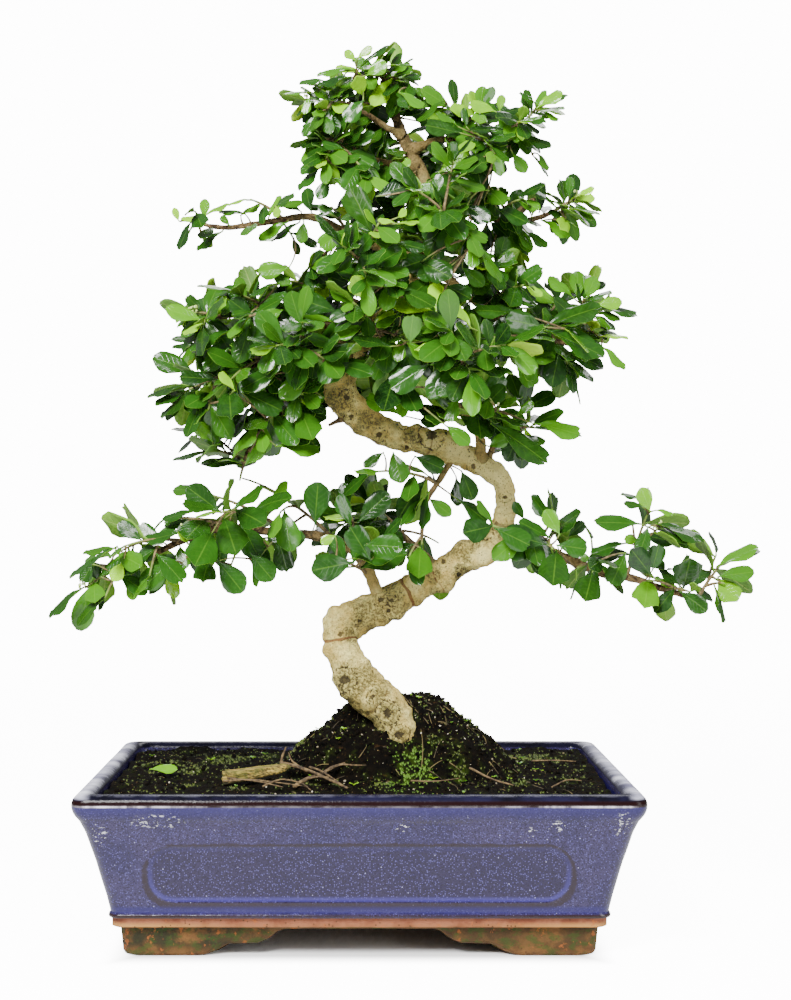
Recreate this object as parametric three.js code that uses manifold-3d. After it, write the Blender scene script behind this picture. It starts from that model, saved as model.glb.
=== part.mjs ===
// A fukien tea bonsai in its glazed rectangular pot.
// Millimetres, +Z up. The side that is looked at most faces -Y, with +X to the right.
// Places below are measured from the pot's middle, at the height of its feet.

import * as THREE from 'three';
import { mergeVertices } from 'three/addons/utils/BufferGeometryUtils.js';
import Module from 'manifold-3d';

const wasm = await Module();
wasm.setup();

// Driving dimensions

const GAP = 0.35; // left between two pieces that touch

const POT = {
  halfWidth: 160,
  halfDepth: 112.5,
  height: 95,
  cornerRadius: 8,
  cornerSteps: 2,
  floorTop: 25,
  innerCorner: 5,
  drainSpacing: 156,
  drainRadius: 9,
};

// The outside of the pot from its base to its rim, as the inset from the rim's edge and the height.
const POT_OUTSIDE = [
  [20, 17.5], [20, 22.6], [18.2, 23.2], [18.2, 25], [19, 26], [17, 36], [12, 56], [7, 73],
  [4, 80], [1, 82], [0, 86], [0.2, 91], [2, 94.2], [5, 95],
];
const POT_INSIDE = [[10, 95], [12, 93], [13.5, 80], [21, 56], [26, 36], [31, 27], [33, 25]];

const PANEL = { halfWidth: 120, halfDepth: 72, bottom: 32, top: 66, cornerRadius: 15, depth: 1 };

// One half of the cloud-shaped apron between two feet: distance from the middle and height.
const FEET = {
  thickness: 14,
  bandTop: 20,
  front: [[43, 15.5], [55, 7], [77, 7], [89, 0], [131, 0], [136, 3.5], [141, 17.5]],
  side: [[10, 15.5], [20, 7], [36, 7], [46, 0], [84, 0], [89, 3.5], [94, 17.5]],
};

const DRAIN_MESH = { size: 30, thickness: 1.2, slots: 4, slotWidth: 3, slotLength: 22 };

const SOIL = {
  level: 91,
  slump: 5,
  floor: 25 + GAP,
  moundX: 26,
  moundY: 8,
  moundHeight: 50,
  moundLeft: 77,
  moundRight: 72,
  moundFront: 47,
  moundBack: 64,
  sideStepsX: 6,
  sideStepsY: 3,
  contours: [1.04, 0.87, 0.7, 0.53, 0.36, 0.19],
};

// The trunk from its foot in the soil to the apex: place and radius.
const TRUNK = [
  [38, -9, 64, 7.5], [37, -10, 82, 8.2], [33, -11, 98, 9],
  [29, -12, 110, 10], [22, -13, 123, 12], [15, -13, 134, 13.2], [2, -11, 146, 13.6],
  [-6, -9, 158, 12], [-11, -7, 171, 10.5], [-10, -4, 181, 11.2], [2, 0, 189, 10.8],
  [20, 3, 198, 10.2], [35, 5, 205, 8.7], [49, 7, 213, 8.3], [63, 8, 222, 8.7],
  [75, 8, 228, 9.6], [85, 7, 236, 8.4], [90, 5, 248, 7], [91, 3, 260, 6.6],
  [89, 1, 270, 6.8], [82, -1, 278, 7.3], [68, -3, 286, 7.9], [53, -5, 293, 8.4],
  [37, -7, 297, 8.1], [23, -9, 299, 8.2], [10, -10, 305, 9.2], [-2, -10, 315, 9.4],
  [-10, -9, 325, 9.6], [-12, -7, 336, 9], [-8, -3, 349, 7.9], [4, 3, 364, 7.5],
  [23, 9, 384, 6.9], [39, 11, 405, 6.2], [45, 9, 424, 5.8], [44, 5, 444, 5.2],
  [38, 1, 464, 4.6], [29, -1, 481, 4], [23, -2, 496, 3.2], [18, -3, 510, 2.6],
  [15, -4, 522, 2],
];

const TRUNK_FACETS = { steps: 50, sides: 9 };
const LIMB_FACETS = { thin: 2.7 };

// Swellings of the trunk: point along it, direction, share of the radius, reach in points.
const KNOTS = [
  [9.4, [-0.7, 0, 0.7], 0.18, 0.8],
  [11.2, [0.2, -0.4, -0.9], 0.2, 0.5],
  [13.2, [0.2, 0, -1], 0.3, 0.45],
  [14.3, [-0.4, -0.2, 0.9], 0.3, 0.5],
  [15.8, [0.7, 0, -0.7], 0.22, 0.5],
  [22, [0, -0.8, 0.6], 0.24, 0.6],
  [26.6, [-0.7, -0.3, -0.6], 0.2, 0.7],
  [28.2, [-0.9, -0.3, 0.2], 0.16, 0.6],
];

// Woody limbs: the places they pass through, and their radius at the root and the end.
const LIMBS = {
  lower_left: {
    radii: [4.2, 1.6],
    points: [
      [14, 2, 194], [10, -2, 205], [4, -7, 219], [-6, -11, 231], [-25, -15, 238], [-55, -19, 241],
      [-84, -22, 243], [-111, -25, 234], [-135, -27, 222],
    ],
  },
  lower_right: {
    radii: [4, 1.6],
    points: [
      [87, 6, 244], [100, -3, 235], [115, -8, 229], [133, -11, 222], [150, -14, 215],
      [168, -17, 212], [188, -19, 205], [206, -20, 200],
    ],
  },
  droop_left: {
    radii: [4, 1.6],
    points: [
      [-7, -4, 346], [-21, -10, 348], [-32, -14, 341], [-41, -16, 324], [-56, -17, 304],
      [-69, -17, 288],
    ],
  },
  mid_left: {
    radii: [3.2, 1.5],
    points: [[-5, -3, 352], [-21, -16, 357], [-42, -24, 352], [-60, -27, 344], [-78, -28, 336]],
  },
  left_upper: {
    radii: [3.2, 1.5],
    points: [[3, 2, 361], [-17, -8, 367], [-43, -14, 372], [-67, -16, 374], [-86, -18, 372]],
  },
  shoulder_left: {
    radii: [2.6, 1.4],
    points: [[14, 6, 375], [0, 0, 382], [-14, -6, 386], [-26, -8, 390]],
  },
  long_left: {
    radii: [3, 1.3],
    points: [
      [40, 9, 410], [16, -4, 415], [-8, -14, 424], [-29, -18, 433], [-53, -20, 430],
      [-78, -22, 426], [-92, -22, 427],
    ],
  },
  crown_left: {
    radii: [2.2, 1.2],
    points: [[27, -2, 486], [15, -8, 491], [4, -11, 498], [-8, -13, 504]],
  },
  crown_left_low: {
    radii: [2.4, 1.2],
    points: [[36, 0, 468], [15, -9, 468], [-2, -14, 474], [-12, -16, 482]],
  },
  crown_right: {
    radii: [2.4, 1.3],
    points: [[32, -1, 477], [48, -8, 482], [64, -10, 481], [80, -11, 478], [94, -12, 479]],
  },
  upper_right: {
    radii: [2.8, 1.3],
    points: [[45, 8, 432], [57, -2, 440], [74, -7, 437], [92, -9, 431], [110, -10, 434], [120, -10, 438]],
  },
  mid_right: {
    radii: [3.4, 1.5],
    points: [[42, 10, 410], [56, 0, 397], [74, -8, 381], [94, -12, 367], [114, -14, 359], [128, -15, 356]],
  },
  front_crown: {
    radii: [2.6, 1.3],
    points: [[45, 9, 424], [48, -12, 430], [50, -34, 430], [52, -56, 426]],
  },
  front_mid: {
    radii: [3, 1.4],
    points: [[27, 9, 388], [24, -14, 386], [14, -38, 388], [6, -62, 392]],
  },
  front_left: {
    radii: [2.8, 1.4],
    points: [[-10, -6, 341], [-17, -22, 344], [-26, -40, 346], [-32, -54, 348]],
  },
  front_right: {
    radii: [3, 1.4],
    points: [[0, 1, 359], [18, -18, 352], [38, -40, 346], [56, -62, 344]],
  },
  front_rise: {
    radii: [3.2, 1.4],
    points: [[75, -2, 282], [73, -18, 300], [61, -25, 315], [48, -28, 328], [32, -36, 340], [16, -50, 352]],
  },
  right_low: {
    radii: [2.2, 1.2],
    points: [[78, 0, 280], [84, -6, 296], [94, -10, 304]],
  },
  hanging: {
    radii: [2.2, 1.1],
    points: [[60, -4, 290], [50, -12, 274], [41, -16, 259], [38, -18, 240]],
  },
  back_low: {
    radii: [3.6, 1.4],
    points: [[52, 7, 215], [42, 30, 224], [27, 56, 238], [12, 80, 248]],
  },
  back_mid: {
    radii: [3.4, 1.4],
    points: [[-4, -10, 317], [-8, 14, 324], [-20, 46, 334], [-32, 78, 342]],
  },
  back_left: {
    radii: [3, 1.4],
    points: [[-8, -3, 349], [-30, 20, 356], [-60, 38, 361], [-84, 48, 362]],
  },
  back_right: {
    radii: [3.2, 1.4],
    points: [[4, 3, 364], [28, 30, 366], [52, 56, 369], [68, 76, 373]],
  },
  back_crown: {
    radii: [2.8, 1.4],
    points: [[42, 11, 410], [38, 34, 416], [28, 56, 424], [18, 72, 430]],
  },
  back_top: {
    radii: [2.4, 1.3],
    points: [[42, 4, 450], [48, 20, 456], [56, 38, 462]],
  },
  stub_right: { radii: [2.4, 1.8], points: [[92, -9, 431], [101, -20, 439], [106, -26, 442]] },
  thorn: { radii: [2.2, 0.8], points: [[-4, -11, 313], [-13, -12, 309], [-19, -13, 306]] },
};

// Leafy sprays: the limb each grows from, how far along it, and the tips of its shoots.
// Some tips are followed by the place that the apex of their last leaf reaches.
const SPRAYS = [
  ['lower_left', 1, [[-166, -28, 207, -190, -30, 189], [-151, -48, 202], [-163, -10, 220]]],
  ['lower_left', 0.86, [[-139, -46, 233], [-154, 4, 225], [-125, -44, 215]]],
  ['lower_left', 0.72, [[-118, -22, 249], [-114, -24, 210], [-114, 14, 243]]],
  ['lower_left', 0.58, [[-94, -24, 264], [-81, -58, 253], [-78, -42, 217]]],
  ['lower_left', 0.44, [[-59, -14, 268], [-74, 16, 274], [-62, -32, 224], [-47, -46, 253]]],
  ['lower_left', 0.2, [[-15, -36, 223], [-6, -22, 255], [14, -30, 236]]],
  ['lower_right', 1, [[222, -18, 222, 244, -14, 233], [220, -30, 210, 234, -33, 204], [222, 2, 226]]],
  ['lower_right', 0.84, [[198, -38, 205], [202, 8, 214], [172, -40, 212, 172, -43, 195]]],
  ['lower_right', 0.68, [[176, -18, 252, 177, -20, 268], [184, -32, 246, 208, -34, 237], [169, -2, 247, 145, -5, 250]]],
  ['lower_right', 0.5, [[144, -40, 224], [145, 6, 235], [131, -28, 219, 131, -32, 200]]],
  ['lower_right', 0.24, [[118, -18, 248], [115, -44, 231, 115, -48, 210], [110, 20, 240], [99, -38, 240]]],
  ['droop_left', 1, [[-73, -20, 272], [-88, -28, 290], [-96, -8, 303]]],
  ['droop_left', 0.56, [[-58, -46, 302], [-72, 8, 300], [-37, -36, 303], [-33, -54, 323]]],
  ['mid_left', 1, [[-106, -28, 325, -129, -31, 330], [-90, -44, 314], [-105, -8, 338]]],
  ['mid_left', 0.6, [[-77, -58, 330], [-74, 16, 341], [-57, -42, 334]]],
  ['front_left', 0.9, [[-48, -78, 349], [-33, -74, 364], [-15, -76, 338]]],
  ['left_upper', 1, [[-101, -22, 374, -121, -24, 381], [-93, -46, 364], [-101, 0, 384]]],
  ['left_upper', 0.6, [[-72, -38, 383], [-66, -60, 366], [-68, 18, 384]]],
  ['shoulder_left', 1, [[-44, -18, 394, -63, -22, 402], [-29, -46, 398], [-26, 18, 396]]],
  ['long_left', 1, [[-108, -22, 430, -127, -24, 431], [-99, -32, 434], [-97, -10, 422]]],
  ['long_left', 0.62, [[-66, -28, 442], [-50, -38, 436], [-41, -8, 422]]],
  ['long_left', 0.32, [[-18, -42, 431], [-12, -30, 412], [-19, 12, 444]]],
  ['crown_left', 0.9, [[-31, -15, 504, -49, -18, 510], [-20, -26, 514], [-21, -38, 491], [-2, 16, 512]]],
  ['crown_left_low', 0.9, [[-26, -18, 480, -43, -22, 477], [-20, -40, 464], [-16, 14, 482], [4, -52, 452]]],
  ['trunk', 0.99, [[9, -6, 528, 18, -9, 544], [24, 8, 528], [-4, -14, 519, -26, -18, 525], [31, -18, 512]]],
  ['crown_right', 1, [[108, -12, 500, 126, -13, 512], [106, -14, 472], [95, -38, 486]]],
  ['crown_right', 0.5, [[74, -26, 498], [80, -46, 466], [78, 20, 492], [52, -20, 500]]],
  ['upper_right', 1, [[133, -10, 445, 149, -15, 438], [125, -24, 430], [130, 10, 443, 135, 12, 461]]],
  ['upper_right', 0.5, [[96, -38, 440], [100, 10, 416], [74, -42, 446]]],
  ['front_crown', 1, [[46, -80, 426], [66, -76, 408], [32, -70, 440], [56, -56, 462]]],
  ['front_mid', 1, [[-10, -88, 405], [11, -86, 418], [4, -94, 386], [24, -82, 380]]],
  ['mid_right', 1, [[148, -15, 377, 172, -17, 374], [140, 0, 388, 150, -2, 405], [147, -28, 357, 164, -32, 341]]],
  ['mid_right', 0.74, [[122, -46, 362], [126, 16, 386], [128, -22, 340]]],
  ['mid_right', 0.42, [[98, -44, 388], [102, -44, 350], [78, -42, 403]]],
  ['front_right', 1, [[63, -88, 332], [84, -80, 349], [52, -92, 356], [44, -78, 368]]],
  ['front_rise', 1, [[-4, -78, 374], [27, -66, 352], [24, -56, 326]]],
  ['front_rise', 0.36, [[50, -46, 306], [84, -36, 314]]],
  ['right_low', 1, [[110, -15, 304, 136, -18, 300], [98, -32, 297, 117, -36, 281], [100, -2, 320]]],
  ['hanging', 1, [[38, -20, 233, 36, -22, 213], [30, -30, 226]]],
  ['hanging', 0.42, [[26, -34, 276], [46, 12, 272], [8, -30, 277]]],
  ['back_low', 1, [[4, 102, 258], [-14, 90, 242], [30, 96, 244]]],
  ['back_low', 0.5, [[6, 46, 258], [52, 62, 232]]],
  ['back_mid', 1, [[-40, 104, 350], [-62, 84, 338], [-22, 98, 366]]],
  ['back_mid', 0.55, [[-44, 44, 320], [6, 62, 346], [-10, 60, 316]]],
  ['back_left', 1, [[-110, 60, 362], [-98, 46, 382], [-92, 74, 346]]],
  ['back_left', 0.55, [[-48, 52, 384], [-62, 22, 346], [-34, 60, 372]]],
  ['back_right', 1, [[84, 100, 380], [104, 78, 364], [62, 98, 394]]],
  ['back_right', 0.5, [[72, 42, 346], [90, 52, 392], [36, 68, 340], [64, 20, 360]]],
  ['back_crown', 1, [[6, 92, 440], [34, 90, 450], [-12, 74, 424], [50, 66, 406]]],
  ['back_top', 1, [[66, 58, 476], [84, 44, 452], [46, 60, 490]]],
];

const SHOOT = {
  mainRadius: 1.1,
  sideRadius: 0.75,
  bow: 0.12,
  leafSpacing: 6,
  leavesMost: 8,
};

const LEAF = {
  thickness: 0.7,
  petiole: 0.45,
  length: 27,
  widthShare: 0.26,
  bigFrom: 22,
  clearance: 1.2,
  tries: 6,
};

// A leaf widens slowly to a blunt apex: share of the length, share of the half width.
const BLUNT = [[0.32, 0.66], [0.7, 1], [1, 0.5]];
const SMALL = [[0.5, 1], [0.96, 0.62]];

// Solids and curves

const vec = (x, y, z) => new THREE.Vector3(x, y, z);
const mix = THREE.MathUtils.lerp;

// A closed geometry as a solid that can be joined and cut.
function solidOf(geometry) {
  const bare = new THREE.BufferGeometry();
  bare.setAttribute('position', geometry.getAttribute('position'));
  bare.setIndex(geometry.getIndex());
  const merged = mergeVertices(bare, 1e-4);
  return new wasm.Manifold(new wasm.Mesh({
    numProp: 3,
    vertProperties: new Float32Array(merged.getAttribute('position').array),
    triVerts: new Uint32Array(merged.getIndex().array),
  }));
}

function geometryOf(solid) {
  const mesh = solid.getMesh();
  const geometry = new THREE.BufferGeometry();
  geometry.setAttribute('position', new THREE.BufferAttribute(mesh.vertProperties, 3));
  geometry.setIndex(new THREE.BufferAttribute(mesh.triVerts, 1));
  geometry.computeVertexNormals();
  return geometry;
}

function facetGeometry(points, faces) {
  const geometry = new THREE.BufferGeometry();
  const places = points.flatMap((point) => point.toArray());
  geometry.setAttribute('position', new THREE.Float32BufferAttribute(places, 3));
  geometry.setIndex(faces);
  return geometry;
}

const joined = (solids) => wasm.Manifold.union(solids);

function largestPart(solid) {
  const parts = solid.decompose();
  return parts.reduce((best, part) => (part.volume() > best.volume() ? part : best));
}

// A closed solid through rings of points, each end closed with a fan.
function loft(rings) {
  const count = rings[0].length;
  const middle = (ring) => ring.reduce((sum, point) => sum.add(point), vec(0, 0, 0)).divideScalar(count);
  const points = [middle(rings[0]), ...rings.flat(), middle(rings.at(-1))];
  const at = (ring, i) => 1 + ring * count + (i % count);
  const last = rings.length - 1;
  const faces = [];
  for (let i = 0; i < count; i++) {
    faces.push(0, at(0, i + 1), at(0, i));
    for (let ring = 0; ring < last; ring++) {
      faces.push(at(ring, i), at(ring, i + 1), at(ring + 1, i + 1));
      faces.push(at(ring, i), at(ring + 1, i + 1), at(ring + 1, i));
    }
    faces.push(at(last, i), at(last, i + 1), points.length - 1);
  }
  return facetGeometry(points, faces);
}

// The corners and sides of a rounded rectangle, anticlockwise seen from above.
function roundedRing(halfX, halfY, radius, z, cornerSteps, stepsX = 1, stepsY = 1) {
  const corners = [[1, 1], [-1, 1], [-1, -1], [1, -1]];
  const points = [];
  corners.forEach(([signX, signY], corner) => {
    const centre = vec(signX * (halfX - radius), signY * (halfY - radius), z);
    for (let step = 0; step <= cornerSteps; step++) {
      const angle = (corner + step / cornerSteps) * Math.PI / 2;
      points.push(centre.clone().add(vec(Math.cos(angle), Math.sin(angle), 0).multiplyScalar(radius)));
    }
    const from = points.at(-1);
    const alongX = corner % 2 === 0;
    const steps = alongX ? stepsX : stepsY;
    const to = alongX
      ? vec(-from.x, from.y, z)
      : vec(from.x, -from.y, z);
    for (let step = 1; step < steps; step++) points.push(from.clone().lerp(to, step / steps));
  });
  return points;
}

function smoothCurve(points) {
  return new THREE.CatmullRomCurve3(points, false, 'catmullrom', 0.5);
}

// A round rod along a curve. radiusAt gets the share along the curve and the outward direction.
function rod(curve, steps, sides, radiusAt, lengthen = 0) {
  const geometry = new THREE.CylinderGeometry(1, 1, 1, sides, steps);
  const centres = [];
  const tangents = [];
  for (let step = 0; step <= steps; step++) {
    centres.push(curve.getPoint(step / steps));
    tangents.push(curve.getTangent(step / steps));
  }
  centres[0].addScaledVector(tangents[0], -lengthen);
  centres[steps].addScaledVector(tangents[steps], lengthen);
  const sidewise = [];
  const start = Math.abs(tangents[0].z) < 0.9 ? vec(0, 0, 1) : vec(1, 0, 0);
  let previous = start;
  for (const tangent of tangents) {
    previous = previous.clone().addScaledVector(tangent, -previous.dot(tangent)).normalize();
    sidewise.push(previous);
  }
  const position = geometry.getAttribute('position');
  for (let i = 0; i < position.count; i++) {
    const step = Math.round((position.getY(i) + 0.5) * steps);
    const across = sidewise[step].clone().cross(tangents[step]);
    const outward = sidewise[step].clone().multiplyScalar(position.getX(i));
    outward.addScaledVector(across, position.getZ(i));
    const place = centres[step].clone().addScaledVector(outward, radiusAt(step / steps, outward));
    position.setXYZ(i, place.x, place.y, place.z);
  }
  return solidOf(geometry);
}

function extruded(outline, depth) {
  return new THREE.ExtrudeGeometry(new THREE.Shape(outline), { depth, bevelEnabled: false });
}

// A draw between 0 and 1 that depends on whole numbers alone.
function draw(...keys) {
  let hash = 2166136261;
  for (const key of keys) {
    hash = Math.imul(hash ^ (key + 1), 16777619);
    hash = Math.imul(hash ^ (hash >>> 15), 2246822519);
    hash ^= hash >>> 13;
  }
  return (hash >>> 0) / 4294967296;
}

// The pot

function potRings(profile, grow, radius) {
  return profile.map(([inset, z]) => roundedRing(
    POT.halfWidth - inset + grow, POT.halfDepth - inset + grow, radius, z, POT.cornerSteps,
  ));
}

// The slab that a sunken panel takes from a wall: a rounded outline pushed through the pot.
function panelSlab(halfLength, turn) {
  const { bottom, top, cornerRadius } = PANEL;
  const ring = roundedRing(halfLength, (top - bottom) / 2, cornerRadius, 0, 4);
  const outline = ring.map((point) => new THREE.Vector2(point.x, point.y));
  const reach = 2 * POT.halfWidth + 20;
  const geometry = extruded(outline, reach);
  geometry.translate(0, 0, -reach / 2);
  geometry.rotateX(Math.PI / 2);
  geometry.rotateZ(turn);
  geometry.translate(0, 0, (bottom + top) / 2);
  return solidOf(geometry);
}

// The skirt under the base: two walls with the outline of the feet, one behind the other.
function feetWalls(profile, halfGap, turn) {
  const { bandTop, thickness } = FEET;
  const reach = profile.at(-1)[0];
  const half = [...profile, [reach, bandTop]];
  const mirrored = half.map(([along, z]) => [-along, z]).reverse();
  const outline = [...half, ...mirrored].map(([along, z]) => new THREE.Vector2(along, z));
  return [-1, 1].map((side) => {
    const geometry = extruded(outline, thickness);
    geometry.translate(0, 0, -thickness / 2);
    geometry.rotateX(Math.PI / 2);
    geometry.translate(0, side * (halfGap - thickness / 2), 0);
    geometry.rotateZ(turn);
    return solidOf(geometry);
  });
}

function makePot() {
  const outside = solidOf(loft(potRings(POT_OUTSIDE, 0, POT.cornerRadius)));
  const sunk = solidOf(loft(potRings(POT_OUTSIDE, -PANEL.depth, POT.cornerRadius)));
  const inside = solidOf(loft([
    ...potRings([...POT_INSIDE].reverse(), 0, POT.innerCorner),
    ...potRings([[5, 97]], 0, POT.innerCorner),
  ]));
  const [baseInset, baseZ] = POT_OUTSIDE[0];
  const baseX = POT.halfWidth - baseInset;
  const baseY = POT.halfDepth - baseInset;
  const base = solidOf(loft([-1, FEET.bandTop].map(
    (z) => roundedRing(baseX, baseY, POT.cornerRadius, z, POT.cornerSteps),
  )));
  const walls = [
    ...feetWalls(FEET.front, baseY, 0),
    ...feetWalls(FEET.side, baseX, Math.PI / 2),
  ];
  const skirt = joined(walls).intersect(base);
  const frontPanels = panelSlab(PANEL.halfWidth, 0);
  const sidePanels = panelSlab(PANEL.halfDepth, Math.PI / 2);
  const skin = outside.subtract(sunk).intersect(joined([frontPanels, sidePanels]));
  const drains = [-1, 1].map((side) => {
    const geometry = new THREE.CylinderGeometry(POT.drainRadius, POT.drainRadius, 20, 12);
    geometry.rotateX(Math.PI / 2);
    geometry.translate(side * POT.drainSpacing / 2, 0, (POT.floorTop + baseZ) / 2);
    return solidOf(geometry);
  });
  return outside.add(skirt).subtract(skin).subtract(inside).subtract(joined(drains));
}

function makeDrainMesh(side) {
  const { size, thickness, slots, slotWidth, slotLength } = DRAIN_MESH;
  const plate = new THREE.BoxGeometry(size, size, thickness);
  const x = side * POT.drainSpacing / 2;
  const z = POT.floorTop + GAP + thickness / 2;
  plate.translate(x, 0, z);
  const pitch = size / (slots + 0.5);
  const cuts = Array.from({ length: slots }, (_, i) => {
    const slot = new THREE.BoxGeometry(slotWidth, slotLength, 2 * thickness);
    slot.translate(x + (i - (slots - 1) / 2) * pitch, 0, z);
    return solidOf(slot);
  });
  return solidOf(plate).subtract(joined(cuts));
}

function makeDrainPocket(side) {
  const { size, thickness } = DRAIN_MESH;
  const height = 2 * (thickness + 2 * GAP);
  const pocket = new THREE.BoxGeometry(size + 2 * GAP, size + 2 * GAP, height);
  pocket.translate(side * POT.drainSpacing / 2, 0, POT.floorTop);
  return solidOf(pocket);
}

// The soil

// How far out on the mound a place is: 0 at its top, 1 at its foot.
function awayFromMound(x, y) {
  const acrossX = (x - SOIL.moundX) / (x < SOIL.moundX ? SOIL.moundLeft : SOIL.moundRight);
  const acrossY = (y - SOIL.moundY) / (y < SOIL.moundY ? SOIL.moundFront : SOIL.moundBack);
  return Math.hypot(acrossX, acrossY);
}

// The height of the crumbly surface with its mound, which is steepest in front.
function soilTop(x, y) {
  const mound = SOIL.moundHeight * (1 - Math.min(1, awayFromMound(x, y)) ** 1.8);
  const toRight = THREE.MathUtils.smoothstep(x, 60, 150) * THREE.MathUtils.smoothstep(-y, -20, 90);
  const lumps = 1.1 * Math.sin(x / 7.3 + 1.7 * Math.sin(y / 9.1)) + 0.9 * Math.sin(y / 6.1 + x / 13);
  const crumble = 1 + 1.2 * Math.min(1, mound / 12);
  return SOIL.level + mound - SOIL.slump * toRight + lumps * crumble;
}

function makeSoil(trunkHole) {
  const ring = (inset, z) => roundedRing(
    POT.halfWidth - inset - GAP, POT.halfDepth - inset - GAP, POT.innerCorner, z,
    POT.cornerSteps, SOIL.sideStepsX, SOIL.sideStepsY,
  );
  const walls = [[33, SOIL.floor], [31, 27 + GAP], [26, 36], [21, 56], [13.5, 80]]
    .map(([inset, z]) => ring(inset, z));
  const edge = ring(12.6, SOIL.level);
  const centre = vec(SOIL.moundX, SOIL.moundY, SOIL.level);
  const raise = (point) => vec(point.x, point.y, soilTop(point.x, point.y));
  const contour = (level) => edge.map(
    (point) => raise(centre.clone().lerp(point, level / awayFromMound(point.x, point.y))),
  );
  const foot = contour(SOIL.contours[0]);
  const between = edge.map((point, index) => raise(point.clone().lerp(foot[index], 0.5)));
  const top = [edge.map(raise), between, ...SOIL.contours.map(contour)];
  const heap = solidOf(loft([...walls, ...top]));
  return heap.subtract(joined([trunkHole, makeDrainPocket(-1), makeDrainPocket(1)]));
}

// The trunk and its limbs

const trunkCurve = smoothCurve(TRUNK.map(([x, y, z]) => vec(x, y, z)));

function trunkRadius(share) {
  const along = share * (TRUNK.length - 1);
  const index = Math.min(TRUNK.length - 2, Math.floor(along));
  return mix(TRUNK[index][3], TRUNK[index + 1][3], along - index);
}

function trunkSurface(share, outward) {
  const along = share * (TRUNK.length - 1);
  const swelling = KNOTS.reduce((sum, [place, toward, height, reach]) => {
    const facing = Math.max(0, outward.dot(vec(...toward).normalize()));
    return sum + height * facing ** 2 * Math.exp(-(((along - place) / reach) ** 2));
  }, 0);
  return trunkRadius(share) * (1 + swelling);
}

const limbs = Object.entries(LIMBS).map(([name, { radii, points }]) => ({
  name,
  curve: smoothCurve(points.map((point) => vec(...point))),
  radiusAt: (share) => mix(radii[0], radii[1], share),
  steps: points.length - 1,
  sides: radii[0] < LIMB_FACETS.thin ? 4 : 5,
}));
limbs.push({ name: 'trunk', curve: trunkCurve, radiusAt: trunkRadius });

// All the wood, grown by the gap where its neighbours are cut to fit it.
function makeWood(grow) {
  const trunk = rod(
    trunkCurve, TRUNK_FACETS.steps, TRUNK_FACETS.sides, (share, outward) => trunkSurface(share, outward) + grow, grow,
  );
  const branches = limbs.filter((limb) => limb.steps).map(
    (limb) => rod(limb.curve, limb.steps, limb.sides, (share) => limb.radiusAt(share) + grow, grow),
  );
  return joined([trunk, ...branches]);
}

// Shoots and leaves

// The shoots of one spray: the first grows from the limb, the others fork from the first.
function shootsOfSpray([limbName, along, tips], sprayIndex) {
  const limb = limbs.find(({ name }) => name === limbName);
  const root = limb.curve.getPoint(along);
  const bowed = (from, tip) => {
    const middle = from.clone().lerp(tip, 0.5);
    middle.z += SHOOT.bow * from.distanceTo(tip);
    return new THREE.QuadraticBezierCurve3(from, middle, tip);
  };
  const main = bowed(root, vec(...tips[0].slice(0, 3)));
  return tips.map((places, shootIndex) => {
    const tip = vec(...places.slice(0, 3));
    const fork = shootIndex === 0 ? root : main.getPoint(0.16 + 0.12 * shootIndex);
    const curve = shootIndex === 0 ? main : bowed(fork, tip);
    const apex = places.length > 3 ? vec(...places.slice(3)) : null;
    const length = fork.distanceTo(tip);
    const leafCount = THREE.MathUtils.clamp(
      Math.round(length / SHOOT.leafSpacing) + 2, 5, SHOOT.leavesMost,
    );
    return { sprayIndex, shootIndex, curve, apex, leafCount };
  });
}

// One leaf of a shoot. Each further try turns it a little more.
function leafOf(shoot, index, attempt) {
  const { sprayIndex, shootIndex, curve, leafCount } = shoot;
  const atTip = index === leafCount - 1;
  const apex = atTip ? shoot.apex : null;
  const keys = [sprayIndex, shootIndex, index];
  const share = index / (leafCount - 1);
  const place = mix(0.3, 1, share);
  const base = curve.getPoint(place);
  const axis = curve.getTangent(place);
  const side = axis.clone().cross(vec(0, 0, 1)).normalize();
  const above = side.clone().cross(axis);
  const turn = 2.4 * index + 6.28 * draw(...keys, 1) + 0.8 * attempt;
  const opening = mix(1.25, 0.42, share ** 2) + 0.35 * (draw(...keys, 2) - 0.5) + 0.06 * attempt;
  const spread = side.multiplyScalar(Math.cos(turn)).addScaledVector(above, Math.sin(turn));
  const along = axis.clone().multiplyScalar(Math.cos(opening)).addScaledVector(spread, Math.sin(opening));
  along.z += 0.1;
  if (apex) along.copy(apex).sub(base);
  along.normalize();
  const outward = vec(base.x - 30, base.y, 0).normalize();
  const normal = vec(0, 0, 0.65).addScaledVector(outward, 0.6).addScaledVector(axis, 0.25);
  normal.x += 0.7 * (draw(...keys, 3) - 0.5);
  normal.y += 0.7 * (draw(...keys, 4) - 0.5);
  normal.addScaledVector(along, -normal.dot(along)).normalize();
  const tipShrink = mix(1, 0.86, share ** 4);
  const drawnLength = LEAF.length * mix(0.74, 1.2, draw(...keys, 5)) * tipShrink;
  const length = apex ? apex.distanceTo(base) : drawnLength;
  return {
    sprayIndex,
    shootIndex,
    atTip,
    base,
    along,
    normal,
    across: normal.clone().cross(along),
    length,
    halfWidth: length * LEAF.widthShare * mix(0.88, 1.12, draw(...keys, 6)),
    bend: mix(0.04, 0.26, draw(...keys, 7)),
    fold: mix(0.12, 0.42, draw(...keys, 8)),
  };
}

// A place on a leaf's middle surface: share of its length, share of its half width.
function onLeaf(leaf, u, v) {
  const rise = leaf.fold * Math.abs(v) * leaf.halfWidth - leaf.bend * leaf.length * u * u;
  return leaf.base.clone()
    .addScaledVector(leaf.along, leaf.length * u)
    .addScaledVector(leaf.across, leaf.halfWidth * v)
    .addScaledVector(leaf.normal, rise);
}

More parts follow.
